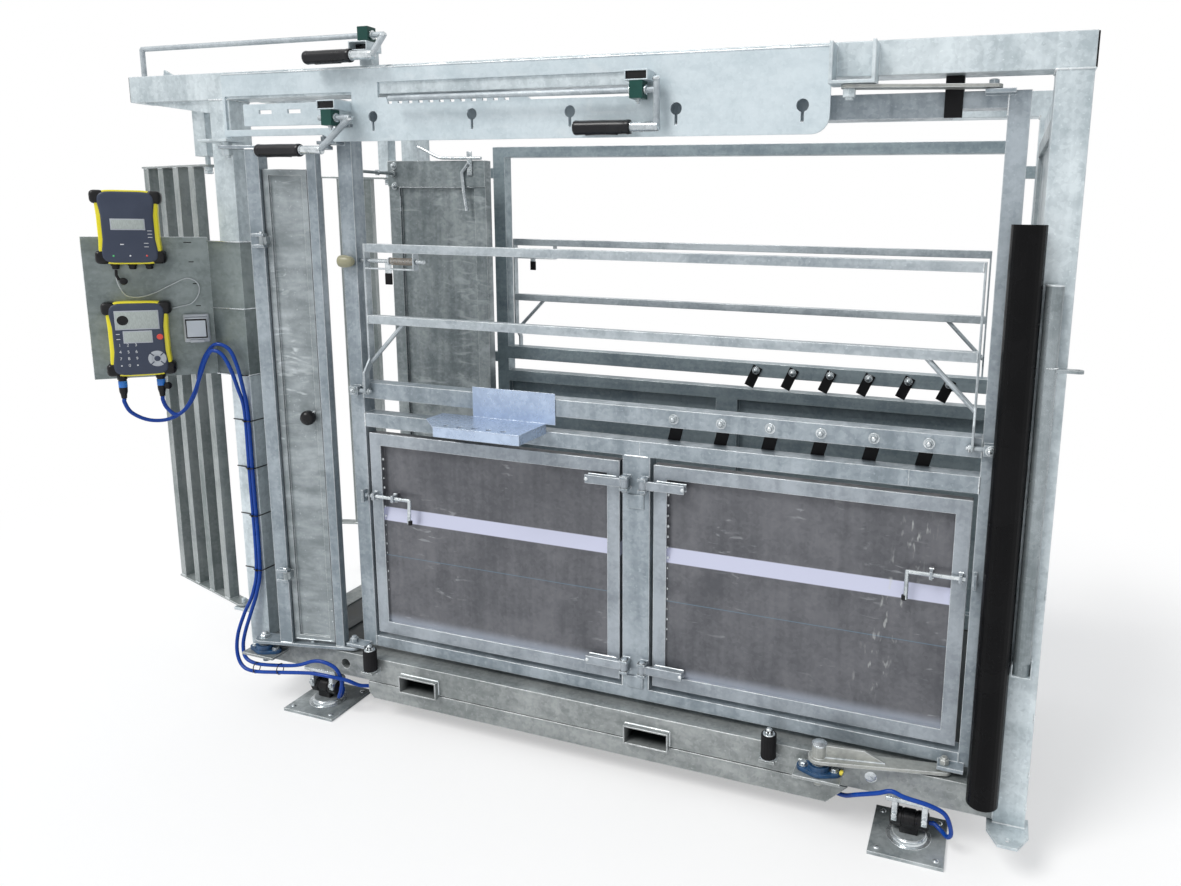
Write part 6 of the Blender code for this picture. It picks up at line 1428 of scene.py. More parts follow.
@dataclass
class NearWall:
    """Swinging wall: strap nuts, pivots, welds, latches, tray and doors."""

    wall_y: float = 0.045
    strap_x: tuple[float, ...] = STRAP_X
    bolt_z: float = 0.997
    bay: Pair = (-2.055, -0.176)
    gate_axis: Pair = (0.033, 0.9975)
    hinge_x: Pair = (-1.141, -1.084)
    hinge_y: float = 0.026
    hinge_z: Pair = (0.218, 0.787)
    latch_z: float = 0.650
    latch_y: float = 0.037
    tip_inset: float = 0.155
    spring_start: Triple = (-1.9392, 0.063, 1.407)
    spring_length: float = 0.0836
    latch_travel: float = 0.018

    def build(self) -> None:
        """Add every piece and dress the nodes."""
        dress(ZINC_WALL, "wall_near")
        dress(DOOR_ZINC, "door_front", "door_rear")
        dress(ZINC_RAIL, "rail_gate_near")
        dress(ZINC_TRAY, "tray")
        dress(BRIGHT, "latch_front", "latch_rear", "gate_latch_near")
        dress(RUBBER, *(f"strap_{i}" for i in range(1, STRAP_COUNT + 1)))
        self.build_nuts()
        self.build_gate_details(Side.NEAR)
        self.build_hinges()
        self.build_door_details()
        self.build_welds()
        self.build_stop_cone()
        self.build_spring()

    def build_spring(self, turns: int = 16, radius: float = 0.0103, wire: float = 0.0012) -> None:
        """Coil on the gate's latch.

        Args:
            turns: Coils.
            radius: Radius of the coil.
            wire: Radius of the wire.
        """
        start, y, z = self.spring_start
        length, travel = self.spring_length, self.latch_travel
        steps = turns * 16
        coil = [Vector((start + length * i / steps, y + radius * math.cos(math.pi * i / 8),
                        z + radius * math.sin(math.pi * i / 8))) for i in range(steps + 1)]
        piece = add_piece("latch_spring_coil", Shape().tube(coil, wire, 8), SPRING, "gate_latch_near",
                          80.0)
        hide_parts("gate_spring")
        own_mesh(piece)

    def build_nuts(self) -> None:
        """Domed nuts of the strap bolts and of the gate's pivots."""
        shape = Shape()
        for x in self.strap_x:
            shape.dome_nut((x, self.wall_y - 0.0002, self.bolt_z), (0, -1, 0), 0.0112)
        for x in (self.bay[0] - 0.019, self.bay[1] + 0.019):
            shape.dome_nut((x, 0.0199, self.gate_axis[1]), (0, -1, 0), 0.0088)
        add_piece("wall_bolts", shape, BRIGHT, "near_wall")

    def build_gate_details(self, side: Side) -> None:
        """Pivot nuts, rubber tab and welds of a rail gate.

        Args:
            side: Side of the crush.
        """
        y, z = self.gate_axis
        label = side.name.lower()
        shape = Shape()
        for x, toward in ((self.bay[0] + 0.026, 1), (self.bay[1] - 0.026, -1)):
            shape.nut((x, y, z), (toward, 0, 0), 0.0106, 0.0080)
            shape.rod((x + toward * 0.007, y, z), (x + toward * 0.013, y, z), 0.0055, 14)
        rod_y, rod_z = self.spring_start[1:]
        shape.nut((self.bay[0] + 0.2065, rod_y, rod_z), (1, 0, 0), 0.0092, 0.0070)
        shape.nut((self.bay[0] + 0.0188, rod_y, rod_z), (-1, 0, 0), 0.0092, 0.0050)
        tab = Shape().box((-1.9632, -1.9408), (rod_y - 0.0042, rod_y + 0.0042), (1.3350, 1.3700), 0.0014)
        if side is Side.FAR:
            shape.far()
            tab.far()
        add_piece(f"gate_nuts_{label}", shape, BRIGHT, f"rail_gate_{label}")
        add_piece(f"gate_latch_tab_{label}", tab, RUBBER, f"gate_latch_{label}")
        beads = Shape()
        for rail in (1.433, 1.211):
            for x, toward in ((self.bay[0] + 0.026, 1), (self.bay[1] - 0.026, -1)):
                end = x + toward * 0.0010
                beads.weld((end, 0.0496, rail + 0.002), (end, 0.0496, rail + 0.024), 0.0018)
        if side is Side.FAR:
            beads.far()
        add_piece(f"gate_welds_{label}", beads, WELD, f"rail_gate_{label}", 60.0)

    def build_hinges(self) -> None:
        """Pin heads, eyes and backing plates of the door hinges."""
        shape = Shape()
        for x in self.hinge_x:
            for low in self.hinge_z:
                shape.dome((x, self.hinge_y, low + 0.0338), (0, 0, 1), 0.0098, 0.0052)
                shape.nut((x, self.hinge_y, low - 0.0078), (0, 0, -1), 0.0094, 0.0062)
                for z in (low - 0.008, low + 0.026):
                    shape.lathe([(0.0136, 0.0), (0.0144, 0.0010), (0.0144, 0.0070), (0.0136, 0.0080)],
                                (x, self.hinge_y, z), (0, 0, 1), 32)
        for z in ((0.722, 0.764), (0.158, 0.196)):
            shape.box((-1.1400, -1.0870), (self.wall_y - 0.0046, self.wall_y + 0.0005), z, 0.0016)
        add_piece("door_hinge_hardware", shape, ZINC_WALL, "near_wall")

    def build_door_details(self) -> None:
        """Tack welds, hinge straps, latch guides and dark latch tips on both doors."""
        face = 0.0475
        for name, tack_x, strap_x, outer, way in (("front", -2.0045, -1.166, -2.044, -1),
                                                  ("rear", -1.0185, -1.059, -0.187, 1)):
            dots = Shape()
            for i in range(15):
                z = 0.326 + i * 0.0318
                dots.dome((tack_x, face + 0.0100, z), (0, -1, 0), 0.0034 + 0.0008 * (i % 3), 0.0030)
            near_x, far_x = strap_x + way * 0.010, strap_x + way * 0.100
            for low in self.hinge_z:
                for z in (low + 0.0035, low + 0.0225):
                    dots.weld((near_x, 0.0474, z), (far_x, 0.0474, z), 0.0022)
                dots.dome((far_x - way * 0.004, 0.0222, low + 0.013), (0, -1, 0), 0.0060, 0.0030)
            for inset in (0.016, 0.090):
                x = outer - way * inset
                for z in (self.latch_z - 0.0125, self.latch_z + 0.0125):
                    dots.weld((x - 0.006, face, z), (x + 0.006, face, z), 0.0026)
            add_piece(f"door_tacks_{name}", dots, WELD, f"door_{name}", 60.0)
            tip_x = outer - way * self.tip_inset
            tip = Shape()
            tip.lathe([(0.0064, 0.0), (0.0070, 0.0010), (0.0070, 0.0120), (0.0060, 0.0140), (0.0, 0.0142)],
                      (tip_x, self.latch_y - 0.0052, self.latch_z - 0.064), (0, -0.08, -1), 20)
            add_piece(f"latch_tip_{name}", tip, BLACK, f"latch_{name}")

    def build_welds(self) -> None:
        """Beads where the wall's rails meet its posts."""
        shape = Shape()
        y = self.wall_y - 0.0004
        for x in (self.bay[0], self.bay[1]):
            for low, high in ((0.878, 0.923), (0.972, 1.023), (0.122, 0.157), (1.800, 1.856)):
                shape.weld((x, y, low), (x, y, high), 0.0020)
        for x in (-1.155, -1.070):
            shape.weld((x, y, 0.160), (x, y, 0.210), 0.0018)
        shape.weld((-1.150, y, 0.878), (-1.075, y, 0.878), 0.0022)
        for x in (-1.102, -0.350):
            shape.box((x - 0.0005, x + 0.0005), (y - 0.0003, y + 0.0010), (0.879, 0.922), 0.0)
        add_piece("wall_welds", shape, WELD, "near_wall", 60.0)

    def build_stop_cone(self) -> None:
        """Cream plastic buffer beside the gate's latch."""
        shape = Shape()
        shape.lathe([(0.0, 0.0), (0.0120, 0.0010), (0.0180, 0.0050), (0.0196, 0.0140), (0.0190, 0.0260),
                     (0.0160, 0.0400), (0.0110, 0.0500), (0.0060, 0.0525), (0.0, 0.0530)],
                    (-2.1040, 0.0250, 1.404), (1, 0, 0), 40)
        add_piece("latch_buffer", shape, CREAM, "near_wall")


# Far side and rear post


@dataclass
class FarSide:
    """Far wall, far neck panel, rear gate and wings."""

    strap_x: tuple[float, ...] = STRAP_X
    strap_y: Pair = (0.9190, 0.9246)
    bolt_z: float = 0.997
    panel_y: float = 0.785
    strap_lean_deg: float = 24.0
    strap_half_width: float = 0.018
    strap_length: float = 0.082
    strap_above_bolt: float = 0.015
    wing_pin: Triple = (-2.640, 0.060, 0.0)
    wing_rest_deg: float = 17.0
    bar_count: int = 4
    first_bar: float = 0.0855
    bar_pitch: float = 0.335 / 3

    def build(self) -> None:
        """Add every piece and dress the nodes."""
        dress(ZINC_FAR, "wall_far")
        dress(ZINC_RAIL, "rail_gate_far")
        dress(BRIGHT, "gate_latch_far")
        dress(ZINC_NECK_FAR, "neck_far")
        dress(ZINC_WING, "wing_near", "wing_far")
        dress(ZINC_GATE, "rear_gate")
        NearWall().build_gate_details(Side.FAR)
        self.build_straps()
        self.build_neck_hardware()
        self.build_wing_welds()

    def build_straps(self) -> None:
        """Slanted rubber straps and their bolts on the inside of the far wall."""
        lean = math.radians(self.strap_lean_deg)
        down = Vector((-math.sin(lean), 0.0, -math.cos(lean)))
        across = Vector((math.cos(lean), 0.0, -math.sin(lean))) * self.strap_half_width
        straps = Shape()
        bolts = Shape()
        for x in self.strap_x:
            top = Vector((x, 0.0, self.bolt_z)) - down * self.strap_above_bolt
            low = top + down * self.strap_length
            rings = []
            for y, inset in ((self.strap_y[1], 1.0), (self.strap_y[0] + 0.001, 1.0), (self.strap_y[0], 0.94)):
                side = across * inset
                ring = [top - side, top + side, low + side, low - side]
                rings.append([(p.x, y, p.z) for p in ring])
            straps.loft(rings)
            bolts.dome_nut((x, self.strap_y[0], self.bolt_z), (0, -1, 0), 0.0112)
        add_piece("far_straps", straps, RUBBER, "frame")
        add_piece("far_strap_bolts", bolts, BRIGHT, "frame")

    def build_neck_hardware(self) -> None:
        """Adjusting rods, nuts and hooked flat on the far neck panel."""
        y = self.panel_y
        shape = Shape()
        shape.tube(curve_through([(-2.352, y - 0.006, 1.809), (-2.305, y - 0.006, 1.789),
                                  (-2.257, y - 0.006, 1.768), (-2.200, y - 0.006, 1.7645),
                                  (-2.068, y - 0.006, 1.7640)], 5), 0.0060, 12)
        shape.box((-2.1300, -2.1080), (y - 0.010, y - 0.0045), (1.700, 1.790), 0.0015)
        shape.tube([Vector((-2.120, y - 0.010, 1.745)), Vector((-2.152, y - 0.010, 1.712)),
                    Vector((-2.146, y - 0.010, 1.640)), Vector((-2.134, y - 0.010, 1.566))], 0.0070, 6)
        for z in (1.737, 1.659):
            shape.dome_nut((-2.470, y - 0.0042, z), (0, -1, 0), 0.0110)
        shape.nut((-2.470, y - 0.100, 1.7065), (0, -1, 0), 0.0120, 0.0100)
        shape.nut((-2.470, y - 0.255, 1.7065), (0, -1, 0), 0.0110, 0.0090)
        shape.weld((-2.452, y - 0.0002, 1.655), (-2.104, y - 0.0002, 1.655), 0.0022)
        for z in (0.160, 1.560):
            shape.weld((-2.4500, y + 0.002, z), (-2.4500, y + 0.002, z + 0.060), 0.0022)
        add_piece("far_neck_hardware", shape, BRIGHT, "neck_far")

    def build_wing_welds(self) -> None:
        """Beads at the ends of the wings' bars."""
        swing = Matrix.Rotation(math.pi - math.radians(self.wing_rest_deg), 4, "Z")
        turn = Matrix.Translation(self.wing_pin) @ swing
        for side in Side:
            shape = Shape(turn)
            for i in range(self.bar_count):
                x = self.first_bar + i * self.bar_pitch
                for z in (0.1715, 1.6935):
                    for y in (-0.0177, 0.0177):
                        shape.weld((x - 0.015, y, z), (x + 0.015, y, z), 0.0019)
            if side is Side.FAR:
                shape.far()
            label = side.name.lower()
            add_piece(f"wing_welds_{label}", shape, WELD, f"wing_{label}", 60.0)


@dataclass
class PostFittings:
    """Plastic sleeve and stored lever on the rear post."""

    lever: Pair = (-0.044, -0.030)

    def build(self) -> None:
        """Add every piece and dress the nodes."""
        dress(SLEEVE, "post_sleeve")
        dress(PIPE_ZINC, "lever_pipe")
        shape = Shape()
        x, y = self.lever
        for i in range(14):
            a = -math.pi * 0.55 + i * math.pi * 1.1 / 13
            at = (x + 0.0206 * math.cos(a), y + 0.0206 * math.sin(a), 1.2232)
            shape.dome(at, (0, 0, 1), 0.0026, 0.0022)
        shape.lathe([(0.0178, 0.0), (0.0206, 0.0006), (0.0212, 0.0022), (0.0206, 0.0040)],
                    (x, y, 1.4118), (0, 0, 1), 32)
        add_piece("lever_tab_weld", shape, WELD, "lever", 60.0)
        cup = Shape()
        for end in (x - 0.0236, x + 0.0236):
            cup.weld((end, -0.0006, 0.4500), (end, -0.0006, 0.4800), 0.0022)
        for z in (0.060, 0.150, 0.310, 0.640):
            cup.weld((-0.0010, -0.0006, z), (-0.0010, -0.0006, z + 0.022), 0.0020)
        add_piece("post_spatter", cup, WELD, "frame", 60.0)


# Instruments and cables


@dataclass
class Instruments:
    """Unit panel with its two instruments and socket box."""

    fold: Triple = (-2.603, -0.0033, 0.0)
    sheet: float = 0.003
    centre: float = 0.208
    half: float = 0.0905
    reader: Pair = (1.384, 1.610)
    scale: Pair = (1.032, 1.268)
    front: float = 0.0585

    def place(self) -> Matrix:
        """Matrix of the panel: x runs to its fold, y up, z toward the operator.

        Returns:
            Matrix from the panel's frame to the datum frame.
        """
        s = math.sqrt(0.5)
        turn = Matrix(((s, 0.0, s), (s, 0.0, -s), (0.0, 1.0, 0.0)))
        origin = Vector(self.fold) + Vector((s, -s, 0.0)) * (self.sheet / 2)
        return Matrix.Translation(origin) @ turn.to_4x4()

    def outline(self, span: Pair, grow: float, stand: float, pinch: float = 0.115) -> list[Triple]:
        """Waisted outline of a case.

        Args:
            span: Bottom and top.
            grow: Scale of the outline.
            stand: Distance from the panel.
            pinch: Depth of the waist.

        Returns:
            Ring of points in the panel's frame.
        """
        high = (span[1] - span[0]) / 2
        middle = (span[0] + span[1]) / 2
        ring = []
        for i in range(64):
            a = 2 * math.pi * (i + 0.5) / 64
            u = math.copysign(abs(math.cos(a)) ** 0.36, math.cos(a))
            v = math.copysign(abs(math.sin(a)) ** 0.36, math.sin(a))
            waist = 1.0 - pinch * (1.0 - v * v)
            x = u * (self.half * waist - (1.0 - grow) * self.half)
            ring.append((-self.centre + x, middle + v * (high - (1.0 - grow) * self.half), stand))
        return ring

    def build(self) -> None:
        """Add every piece and dress the panel."""
        dress(ZINC_PANEL, "unit_panel")
        self.build_panel_edges()
        self.build_case("reader", self.reader)
        self.build_case("scale", self.scale)
        self.build_reader_face()
        self.build_scale_face()
        self.build_socket_box()
        self.build_plugs()

    def build_panel_edges(self) -> None:
        """Bright cut edges, slits, and small slots of the panel drawn as painted shade."""
        bright = Shape(self.place())
        bright.box((-0.3435, 0.0), (1.4662, 1.4676), (-0.0034, 0.0003), 0.0004)
        bright.box((-0.3438, -0.3422), (1.0205, 1.4670), (-0.0034, 0.0003), 0.0004)
        add_piece("panel_bright_edges", bright, BRIGHT, "frame")
        bands = Shape()
        for z in (1.4545, 1.2390, 1.0205):
            bands.box((-2.6035, -2.4672), (-0.0066, -0.0030), (z - 0.0022, z + 0.0022), 0.0008)
            bands.box((-2.4708, -2.4652), (-0.0040, 0.0795), (z - 0.0022, z + 0.0022), 0.0008)
        add_piece("panel_bands", bands, BRIGHT, "frame")
        # Painted shade: flat black patches where the panel's slots open.
        dark = Shape(self.place())
        for reach, z in ((0.050, 1.388), (0.044, 1.318), (0.040, 1.246), (0.052, 1.450), (0.060, 1.450)):
            dark.box((-reach - 0.007, -reach + 0.007), (z - 0.0014, z + 0.0014), (-0.0002, 0.0004), 0.0)
        add_piece("panel_slots_painted_shade", dark, BLACK, "frame")

    def build_case(self, name: str, span: Pair) -> None:
        """Yellow shell, slate front and rubber corners of an instrument.

        Args:
            name: reader or scale.
            span: Bottom and top of the case.
        """
        shell = Shape(self.place())
        shell.loft([self.outline(span, 0.955, 0.0006), self.outline(span, 0.990, 0.0050),
                    self.outline(span, 1.0, 0.0120), self.outline(span, 1.0, 0.0440),
                    self.outline(span, 0.985, 0.0485), self.outline(span, 0.955, 0.0500)])
        piece = add_piece(f"{name}_shell", shell, YELLOW, "frame", 50.0)
        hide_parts(f"{name}_unit")
        face = Shape(self.place())
        pinch = 0.205
        face.loft([self.outline(span, 0.945, 0.0440, pinch), self.outline(span, 0.945, 0.0520, pinch),
                   self.outline(span, 0.930, 0.0560, pinch), self.outline(span, 0.900, 0.0578, pinch),
                   self.outline(span, 0.860, self.front, pinch)])
        add_piece(f"{name}_front", face, SLATE, "frame", 50.0)
        corners = Shape(self.place())
        for sx in (-1, 1):
            for sy, level in ((-1, span[0]), (1, span[1])):
                x = -self.centre + sx * 0.0745
                y = level - sy * 0.0215
                corners.box((x - 0.0200, x + 0.0200), (y - 0.0205, y + 0.0205), (0.0020, 0.0560), 0.0125)
        add_piece(f"{name}_corners", corners, BLACK, "frame")
        back = Shape(self.place())
        high = (span[0] + span[1]) / 2
        back.box((-self.centre - 0.055, -self.centre + 0.055), (high - 0.075, high + 0.075),
                 (0.0001, 0.0030), 0.001)
        add_piece(f"{name}_mount", back, BLACK, "frame")

    def build_reader_face(self) -> None:
        """Screen, lamps and glands of the upper instrument."""
        place = self.place()
        top = self.front
        rim = Shape(place).box((-0.2530, -0.1620), (1.4890, 1.5235), (top - 0.001, top + 0.0008), 0.0010)
        add_piece("reader_screen_rim", rim, PALE_BOX, "frame")
        screen = Shape(place).box((-0.2500, -0.1650), (1.4925, 1.5200), (top, top + 0.0013), 0.0005)
        add_piece("reader_screen", screen, LCD, "frame")
        white = Shape(place)
        for x, y in ((-0.151, 1.487), (-0.151, 1.477), (-0.151, 1.467), (-0.163, 1.449), (-0.163, 1.438)):
            white.box((x - 0.006, x + 0.006), (y - 0.0008, y + 0.0008), (top - 0.0005, top + 0.0004), 0.0)
        white.box((-0.232, -0.222), (1.444, 1.447), (top - 0.0005, top + 0.0004), 0.0)
        white.dome((-0.208, 1.4105, top - 0.0006), (0, 0, 1), 0.0028, 0.0014)
        add_piece("reader_marks", white, INK, "frame")
        green = Shape(place).dome((-0.252, 1.4105, top - 0.0006), (0, 0, 1), 0.0030, 0.0016)
        add_piece("reader_lamp_green", green, LED_GREEN, "frame")
        red = Shape(place).dome((-0.164, 1.4105, top - 0.0006), (0, 0, 1), 0.0030, 0.0016)
        add_piece("reader_lamp_red", red, RED, "frame")
        glands = Shape(place)
        for offset in (0.045, 0.0, -0.045):
            x = -self.centre - offset
            glands.lathe([(0.0125, 0.0), (0.0130, 0.003), (0.0130, 0.008), (0.0105, 0.0100),
                          (0.0105, 0.0170), (0.0080, 0.0200), (0.0, 0.0200)],
                         (x, self.reader[0] + 0.004, 0.030), (0, -1, 0), 20)
        stub = [(-0.253, 1.366, 0.030), (-0.2535, 1.350, 0.033), (-0.247, 1.335, 0.036)]
        glands.tube([Vector(point) for point in stub], 0.0042, 10)
        glands.lathe([(0.0, 0.0), (0.0090, 0.001), (0.0108, 0.004), (0.0108, 0.012), (0.0080, 0.015),
                      (0.0, 0.016)], (-0.238, 1.333, 0.034), (0.4, -0.2, 1), 24)
        add_piece("reader_glands", glands, BLACK, "frame")

    def build_scale_face(self) -> None:
        """Screens, keypad, ring pad, stop button and knob of the lower instrument."""
        place = self.place()
        top = self.front
        rims = Shape(place)
        rims.box((-0.2675, -0.1485), (1.1810, 1.2410), (top - 0.001, top + 0.0008), 0.0010)
        rims.box((-0.2490, -0.1700), (1.1385, 1.1775), (top - 0.001, top + 0.0008), 0.0010)
        add_piece("scale_screen_rims", rims, PALE_BOX, "frame")
        screens = Shape(place)
        screens.box((-0.2645, -0.1515), (1.1845, 1.2375), (top, top + 0.0013), 0.0005)
        screens.box((-0.2460, -0.1730), (1.1420, 1.1740), (top, top + 0.0013), 0.0005)
        add_piece("scale_screens", screens, LCD, "frame")
        knob = Shape(place)
        knob.lathe([(0.0150, 0.0), (0.0155, 0.0010), (0.0145, 0.0026), (0.0120, 0.0032), (0.0, 0.0034)],
                   (-0.246, 1.2110, top - 0.0002), (0, 0, 1), 32)
        add_piece("scale_knob", knob, BLACK, "frame")
        digits = Shape(place)
        rows = ("123", "456", "789", " 0 ")
        for row, text in enumerate(rows):
            for column, sign in enumerate(text):
                x = -0.2600 + column * 0.0215
                y = 1.1330 - row * 0.0215
                if sign == " ":
                    digits.box((x - 0.0020, x + 0.0020), (y - 0.0020, y + 0.0020),
                               (top - 0.0004, top + 0.0004), 0.0)
                else:
                    self.digit(digits, sign, x, y, top)
        for x, y in ((-0.2620, 1.168), (-0.2620, 1.152)):
            digits.box((x - 0.005, x + 0.005), (y - 0.0010, y + 0.0010), (top - 0.0004, top + 0.0004), 0.0)
        add_piece("scale_digits", digits, INK, "frame", 30.0)
        pad = Shape(place)
        pad.lathe([(0.0240, 0.0), (0.0250, 0.0006), (0.0250, 0.0014), (0.0230, 0.0020), (0.0150, 0.0020),
                   (0.0140, 0.0010), (0.0, 0.0008)], (-0.1625, 1.0870, top - 0.0004), (0, 0, 1), 40)
        add_piece("scale_ring_pad", pad, PALE_BOX, "frame")
        centre = Shape(place)
        centre.dome((-0.1625, 1.0870, top), (0, 0, 1), 0.0090, 0.0020)
        for k in range(4):
            a = math.pi / 2 * k + math.pi / 4
            centre.box((-0.0016, 0.0016), (0.0130, 0.0262), (0.0, 0.0018), 0.0,
                       Matrix.Translation((-0.1625, 1.0870, top)) @ Matrix.Rotation(a, 4, "Z"))
        add_piece("scale_ring_centre", centre, SLATE, "frame")
        stop = Shape(place).lathe([(0.0085, 0.0), (0.0090, 0.0006), (0.0084, 0.0018), (0.0, 0.0022)],
                                  (-0.1500, 1.1560, top - 0.0004), (0, 0, 1), 28)
        add_piece("scale_stop_button", stop, RED, "frame")

    def digit(self, shape: Shape, sign: str, x: float, y: float, top: float) -> None:
        """Plain digit printed on the keypad.

        Args:
            shape: Shape that takes the digit.
            sign: The digit.
            x: Middle across.
            y: Middle up.
            top: Level of the face.
        """
        curve = bpy.data.curves.new("digit", "FONT")
        curve.body = sign
        curve.size = 0.0130
        curve.align_x = "CENTER"
        curve.align_y = "CENTER"
        curve.extrude = 0.0003
        item = bpy.data.objects.new("digit", curve)
        bpy.context.scene.collection.objects.link(item)
        bpy.context.view_layer.update()
        graph = bpy.context.evaluated_depsgraph_get()
        mesh = bpy.data.meshes.new_from_object(item.evaluated_get(graph))
        part = bmesh.new()
        part.from_mesh(mesh)
        shape.take(part, Matrix.Translation((x, y, top)))
        bpy.data.objects.remove(item, do_unlink=True)
        bpy.data.curves.remove(curve)
        bpy.data.meshes.remove(mesh)

    def build_socket_box(self) -> None:
        """Pale box with a hinged lid beside the lower instrument."""
        shape = Shape(self.place())
        shape.box((-0.0858, -0.0122), (1.1302, 1.2198), (0.0004, 0.0260), 0.0040)
        shape.box((-0.0820, -0.0160), (1.1400, 1.2110), (0.0250, 0.0345), 0.0030)
        shape.box((-0.0700, -0.0280), (1.1290, 1.1390), (0.0150, 0.0300), 0.0020)
        shape.rod((-0.0800, 1.2150, 0.0270), (-0.0180, 1.2150, 0.0270), 0.0030, 14)
        piece = add_piece("socket_box_case", shape, PALE_BOX, "frame")
        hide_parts("socket_box")
        seam = Shape(self.place()).box((-0.0795, -0.0185), (1.1435, 1.2065), (0.0335, 0.0350), 0.0010)
        add_piece("socket_box_seam", seam, BLACK, "frame")
        lid = Shape(self.place()).box((-0.0760, -0.0220), (1.1480, 1.2010), (0.0335, 0.0362), 0.0012)
        add_piece("socket_box_lid", lid, PALE_LID, "frame")

    def build_plugs(self) -> None:
        """Screwed plugs with blue rings under the lower instrument."""
        black = Shape(self.place())
        blue = Shape(self.place())
        base = self.scale[0] + 0.002
        for offset in (0.058, -0.047):
            x = -self.centre - offset
            black.lathe([(0.0135, 0.0), (0.0140, 0.002), (0.0140, 0.012), (0.0118, 0.014), (0.0118, 0.018)],
                        (x, base, 0.030), (0, -1, 0), 28)
            blue.lathe([(0.0118, 0.0), (0.0126, 0.001), (0.0126, 0.020), (0.0118, 0.0215)],
                       (x, base - 0.0170, 0.030), (0, -1, 0), 12)
            black.lathe([(0.0118, 0.0), (0.0122, 0.002), (0.0116, 0.014), (0.0090, 0.024), (0.0078, 0.0355),
                         (0.0, 0.0362)], (x, base - 0.0380, 0.030), (0, -1, 0), 24)
        x = -self.centre + 0.047 + 0.014
        black.lathe([(0.0, 0.0), (0.0095, 0.001), (0.0115, 0.004), (0.0115, 0.013), (0.0085, 0.016),
                     (0.0, 0.017)], (x, base - 0.040, 0.030), (0.5, 0.1, 1), 24)
        add_piece("scale_plugs", black, BLACK, "frame")
        add_piece("scale_plug_rings", blue, RING_BLUE, "frame")


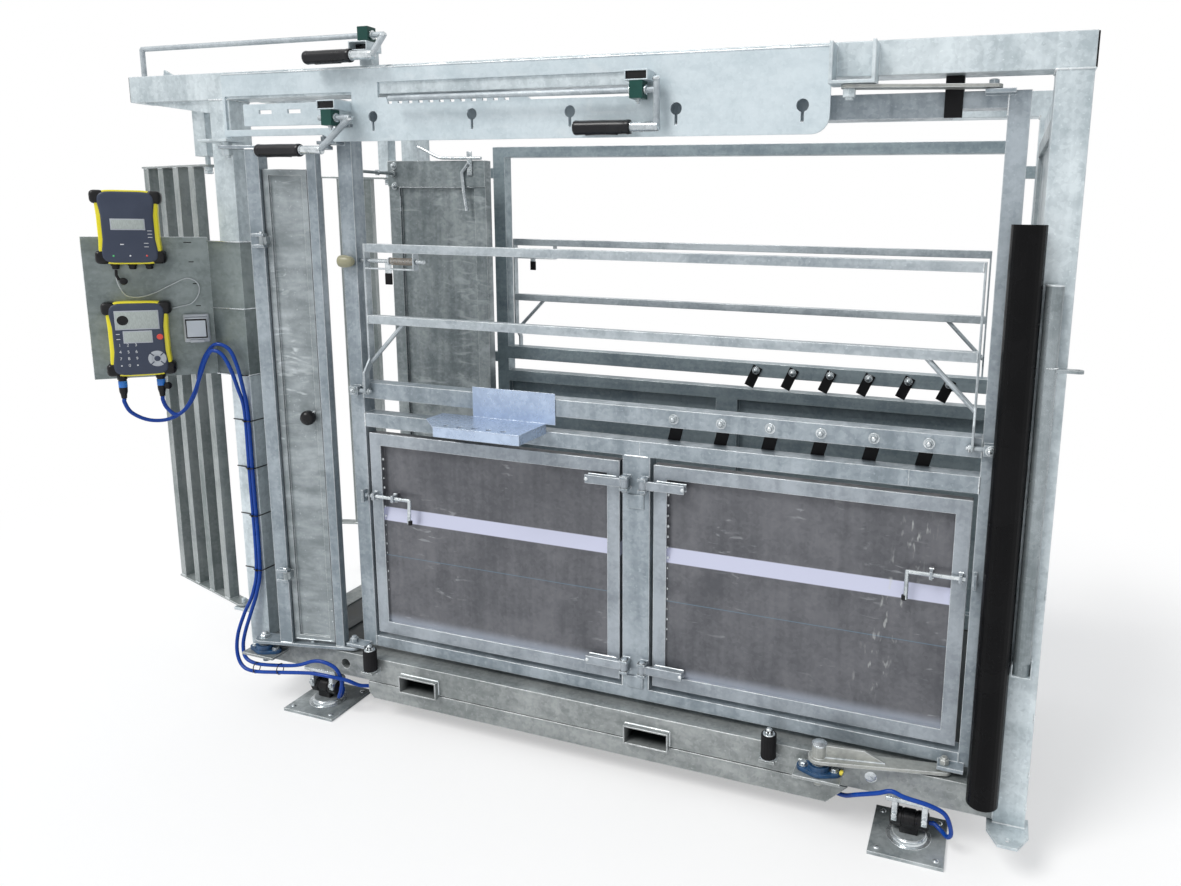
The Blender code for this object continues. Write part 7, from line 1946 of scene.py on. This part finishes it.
@dataclass
class Cables:
    """Two weigh cables, the clear lead between the instruments, and their ties."""

    panel: Matrix
    radius: float = 0.0060
    lead_radius: float = 0.0020
    cell_end: float = -2.2087
    rear_end: float = -0.2377
    foot_y: float = 0.030
    cell_z: float = -0.0577
    tie_z: tuple[float, ...] = (1.022, 0.868, 0.706, 0.540, 0.346)

    def on_panel(self, reach: float, stand: float, height: float) -> Triple:
        """Datum point in front of the panel."""
        return tuple(self.panel @ Vector((-reach, height, stand)))

    def build(self) -> None:
        """Add the cords and their ties."""
        plug = 0.9597
        loop_a = [(0.266, 0.0303, plug), (0.266, 0.0303, plug - 0.014), (0.250, 0.030, 0.912),
                  (0.205, 0.029, 0.884), (0.150, 0.028, 0.882), (0.100, 0.028, 0.912),
                  (0.066, 0.028, 0.970), (0.048, 0.028, 1.040), (0.026, 0.028, 1.092)]
        loop_b = [(0.161, 0.0303, plug), (0.161, 0.0303, plug - 0.014), (0.152, 0.031, 0.920),
                  (0.128, 0.040, 0.898), (0.100, 0.040, 0.914), (0.072, 0.040, 0.962),
                  (0.050, 0.040, 1.020), (0.030, 0.040, 1.074)]
        run_a = [(-2.560, -0.040, 1.124), (-2.520, -0.030, 1.110), (-2.496, -0.026, 1.060),
                 (-2.485, -0.018, 0.980), (-2.4825, -0.009, 0.900), (-2.4825, -0.008, 0.700),
                 (-2.4825, -0.008, 0.373), (-2.494, -0.017, 0.270), (-2.520, -0.028, 0.186),
                 (-2.539, -0.038, 0.122), (-2.545, -0.046, 0.072), (-2.524, -0.057, 0.036),
                 (-2.470, -0.060, 0.026), (-2.369, -0.058, 0.038), (-2.300, -0.052, 0.050),
                 (-2.245, -0.048, 0.072), (-2.205, -0.042, 0.074), (-2.162, -0.036, 0.056),
                 (-2.142, -0.034, 0.014), (-2.148, -0.034, -0.024), (-2.168, -0.022, -0.056),
                 (-2.180, 0.006, -0.064), (self.cell_end + 0.014, self.foot_y, self.cell_z),
                 (self.cell_end + 0.006, self.foot_y, self.cell_z),
                 (self.cell_end, self.foot_y, self.cell_z)]
        run_b = [(-2.566, -0.054, 1.104), (-2.532, -0.048, 1.094), (-2.509, -0.040, 1.048),
                 (-2.499, -0.026, 0.980), (-2.4960, -0.009, 0.900), (-2.4960, -0.008, 0.700),
                 (-2.4965, -0.008, 0.373), (-2.510, -0.019, 0.264), (-2.543, -0.032, 0.186),
                 (-2.564, -0.046, 0.113), (-2.561, -0.058, 0.052), (-2.530, -0.070, 0.014),
                 (-2.478, -0.073, 0.004), (-2.370, -0.072, 0.020), (-2.285, -0.066, 0.032),
                 (-2.229, -0.062, 0.038), (-2.170, -0.056, 0.036), (-2.120, -0.036, 0.022),
                 (-2.090, -0.010, -0.004), (-2.064, 0.014, -0.014), (-2.000, 0.030, -0.018),
                 (-1.500, 0.030, -0.018), (-1.000, 0.030, -0.018), (-0.600, 0.030, -0.018),
                 (-0.524, 0.024, -0.020), (-0.490, 0.016, -0.021), (-0.462, -0.002, -0.010),
                 (-0.432, -0.020, 0.012), (-0.374, -0.036, 0.042), (-0.338, -0.038, 0.058),
                 (-0.302, -0.040, 0.050), (-0.237, -0.040, 0.042), (-0.196, -0.036, 0.022),
                 (-0.179, -0.022, -0.034), (-0.187, -0.006, -0.062), (-0.202, 0.016, -0.066),
                 (self.rear_end + 0.014, self.foot_y, self.cell_z),
                 (self.rear_end + 0.006, self.foot_y, self.cell_z),
                 (self.rear_end, self.foot_y, self.cell_z)]
        lead = [(0.253, 0.0303, 1.3637), (0.253, 0.028, 1.330), (0.238, 0.014, 1.288),
                (0.205, 0.008, 1.278), (0.160, 0.006, 1.290), (0.110, 0.005, 1.316),
                (0.065, 0.005, 1.336), (0.036, 0.005, 1.318), (0.036, 0.005, 1.285),
                (0.058, 0.006, 1.255), (0.090, 0.008, 1.246), (0.1127, 0.010, 1.240)]
        self.cord("cable_front", "cable_sheath_front",
                  [self.on_panel(*p) for p in loop_a] + run_a, self.radius, SHEATH)
        self.cord("cable_rear", "cable_sheath_rear",
                  [self.on_panel(*p) for p in loop_b] + run_b, self.radius, SHEATH)
        self.cord("reader_lead", "reader_lead_sheath", [self.on_panel(*p) for p in lead], self.lead_radius,
                  LEAD)
        self.build_ties()

    def cord(self, node: str, name: str, route: list[Triple], radius: float, finish: Moulding) -> None:
        """Smooth cord on the CAD cord's own route.

        Args:
            node: CAD node it replaces.
            name: Name of the piece.
            route: Control points in the datum frame.
            radius: Radius of the cord.
            finish: Its finish.
        """
        path = curve_through(route, 6)
        piece = add_piece(name, Shape().tube(path, radius, 16), finish, "frame", 70.0)
        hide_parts(node)

    def build_ties(self) -> None:
        """Black ties round the post and the two cables."""
        shape = Shape()
        for z in self.tie_z:
            ring = []
            loop = [(-2.5522, -0.0010), (-2.5522, 0.0810), (-2.4700, 0.0810), (-2.4698, -0.0060),
                    (-2.4735, -0.0155), (-2.4830, -0.0168), (-2.4960, -0.0168), (-2.5045, -0.0130),
                    (-2.5080, -0.0020)]
            for (ax, ay), (bx, by) in zip(loop, loop[1:] + loop[:1]):
                for k in range(3):
                    t = k / 3
                    ring.append(Vector((ax + (bx - ax) * t, ay + (by - ay) * t, z)))
            shape.tube(ring, 0.0019, 8, closed=True)
            shape.box((-2.4920, -2.4860), (-0.0215, -0.0150), (z - 0.0035, z + 0.0035), 0.0010)
        add_piece("cable_ties", shape, BLACK, "frame")
        small = Shape()
        for x, y, z in ((-2.470, -0.0665, 0.015), (-2.369, -0.065, 0.029)):
            ring = [Vector((x, y + 0.0155 * math.cos(a), z + 0.0185 * math.sin(a)))
                    for a in (2 * math.pi * i / 20 for i in range(20))]
            small.tube(ring, 0.0016, 8, closed=True)
        add_piece("bundle_ties", small, BLACK, "frame")


def main() -> None:
    """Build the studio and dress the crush."""
    logging.basicConfig(level=logging.INFO, format="%(message)s")
    Studio().build()
    instruments = Instruments()
    Cables(instruments.place()).build()
    for part in (Gantries(), Handles(), Feet(), Pivots(), NearWall(), FarSide(), PostFittings(), instruments):
        part.build()
        LOG.info("%s done", type(part).__name__)


if __name__ == "__main__":
    main()
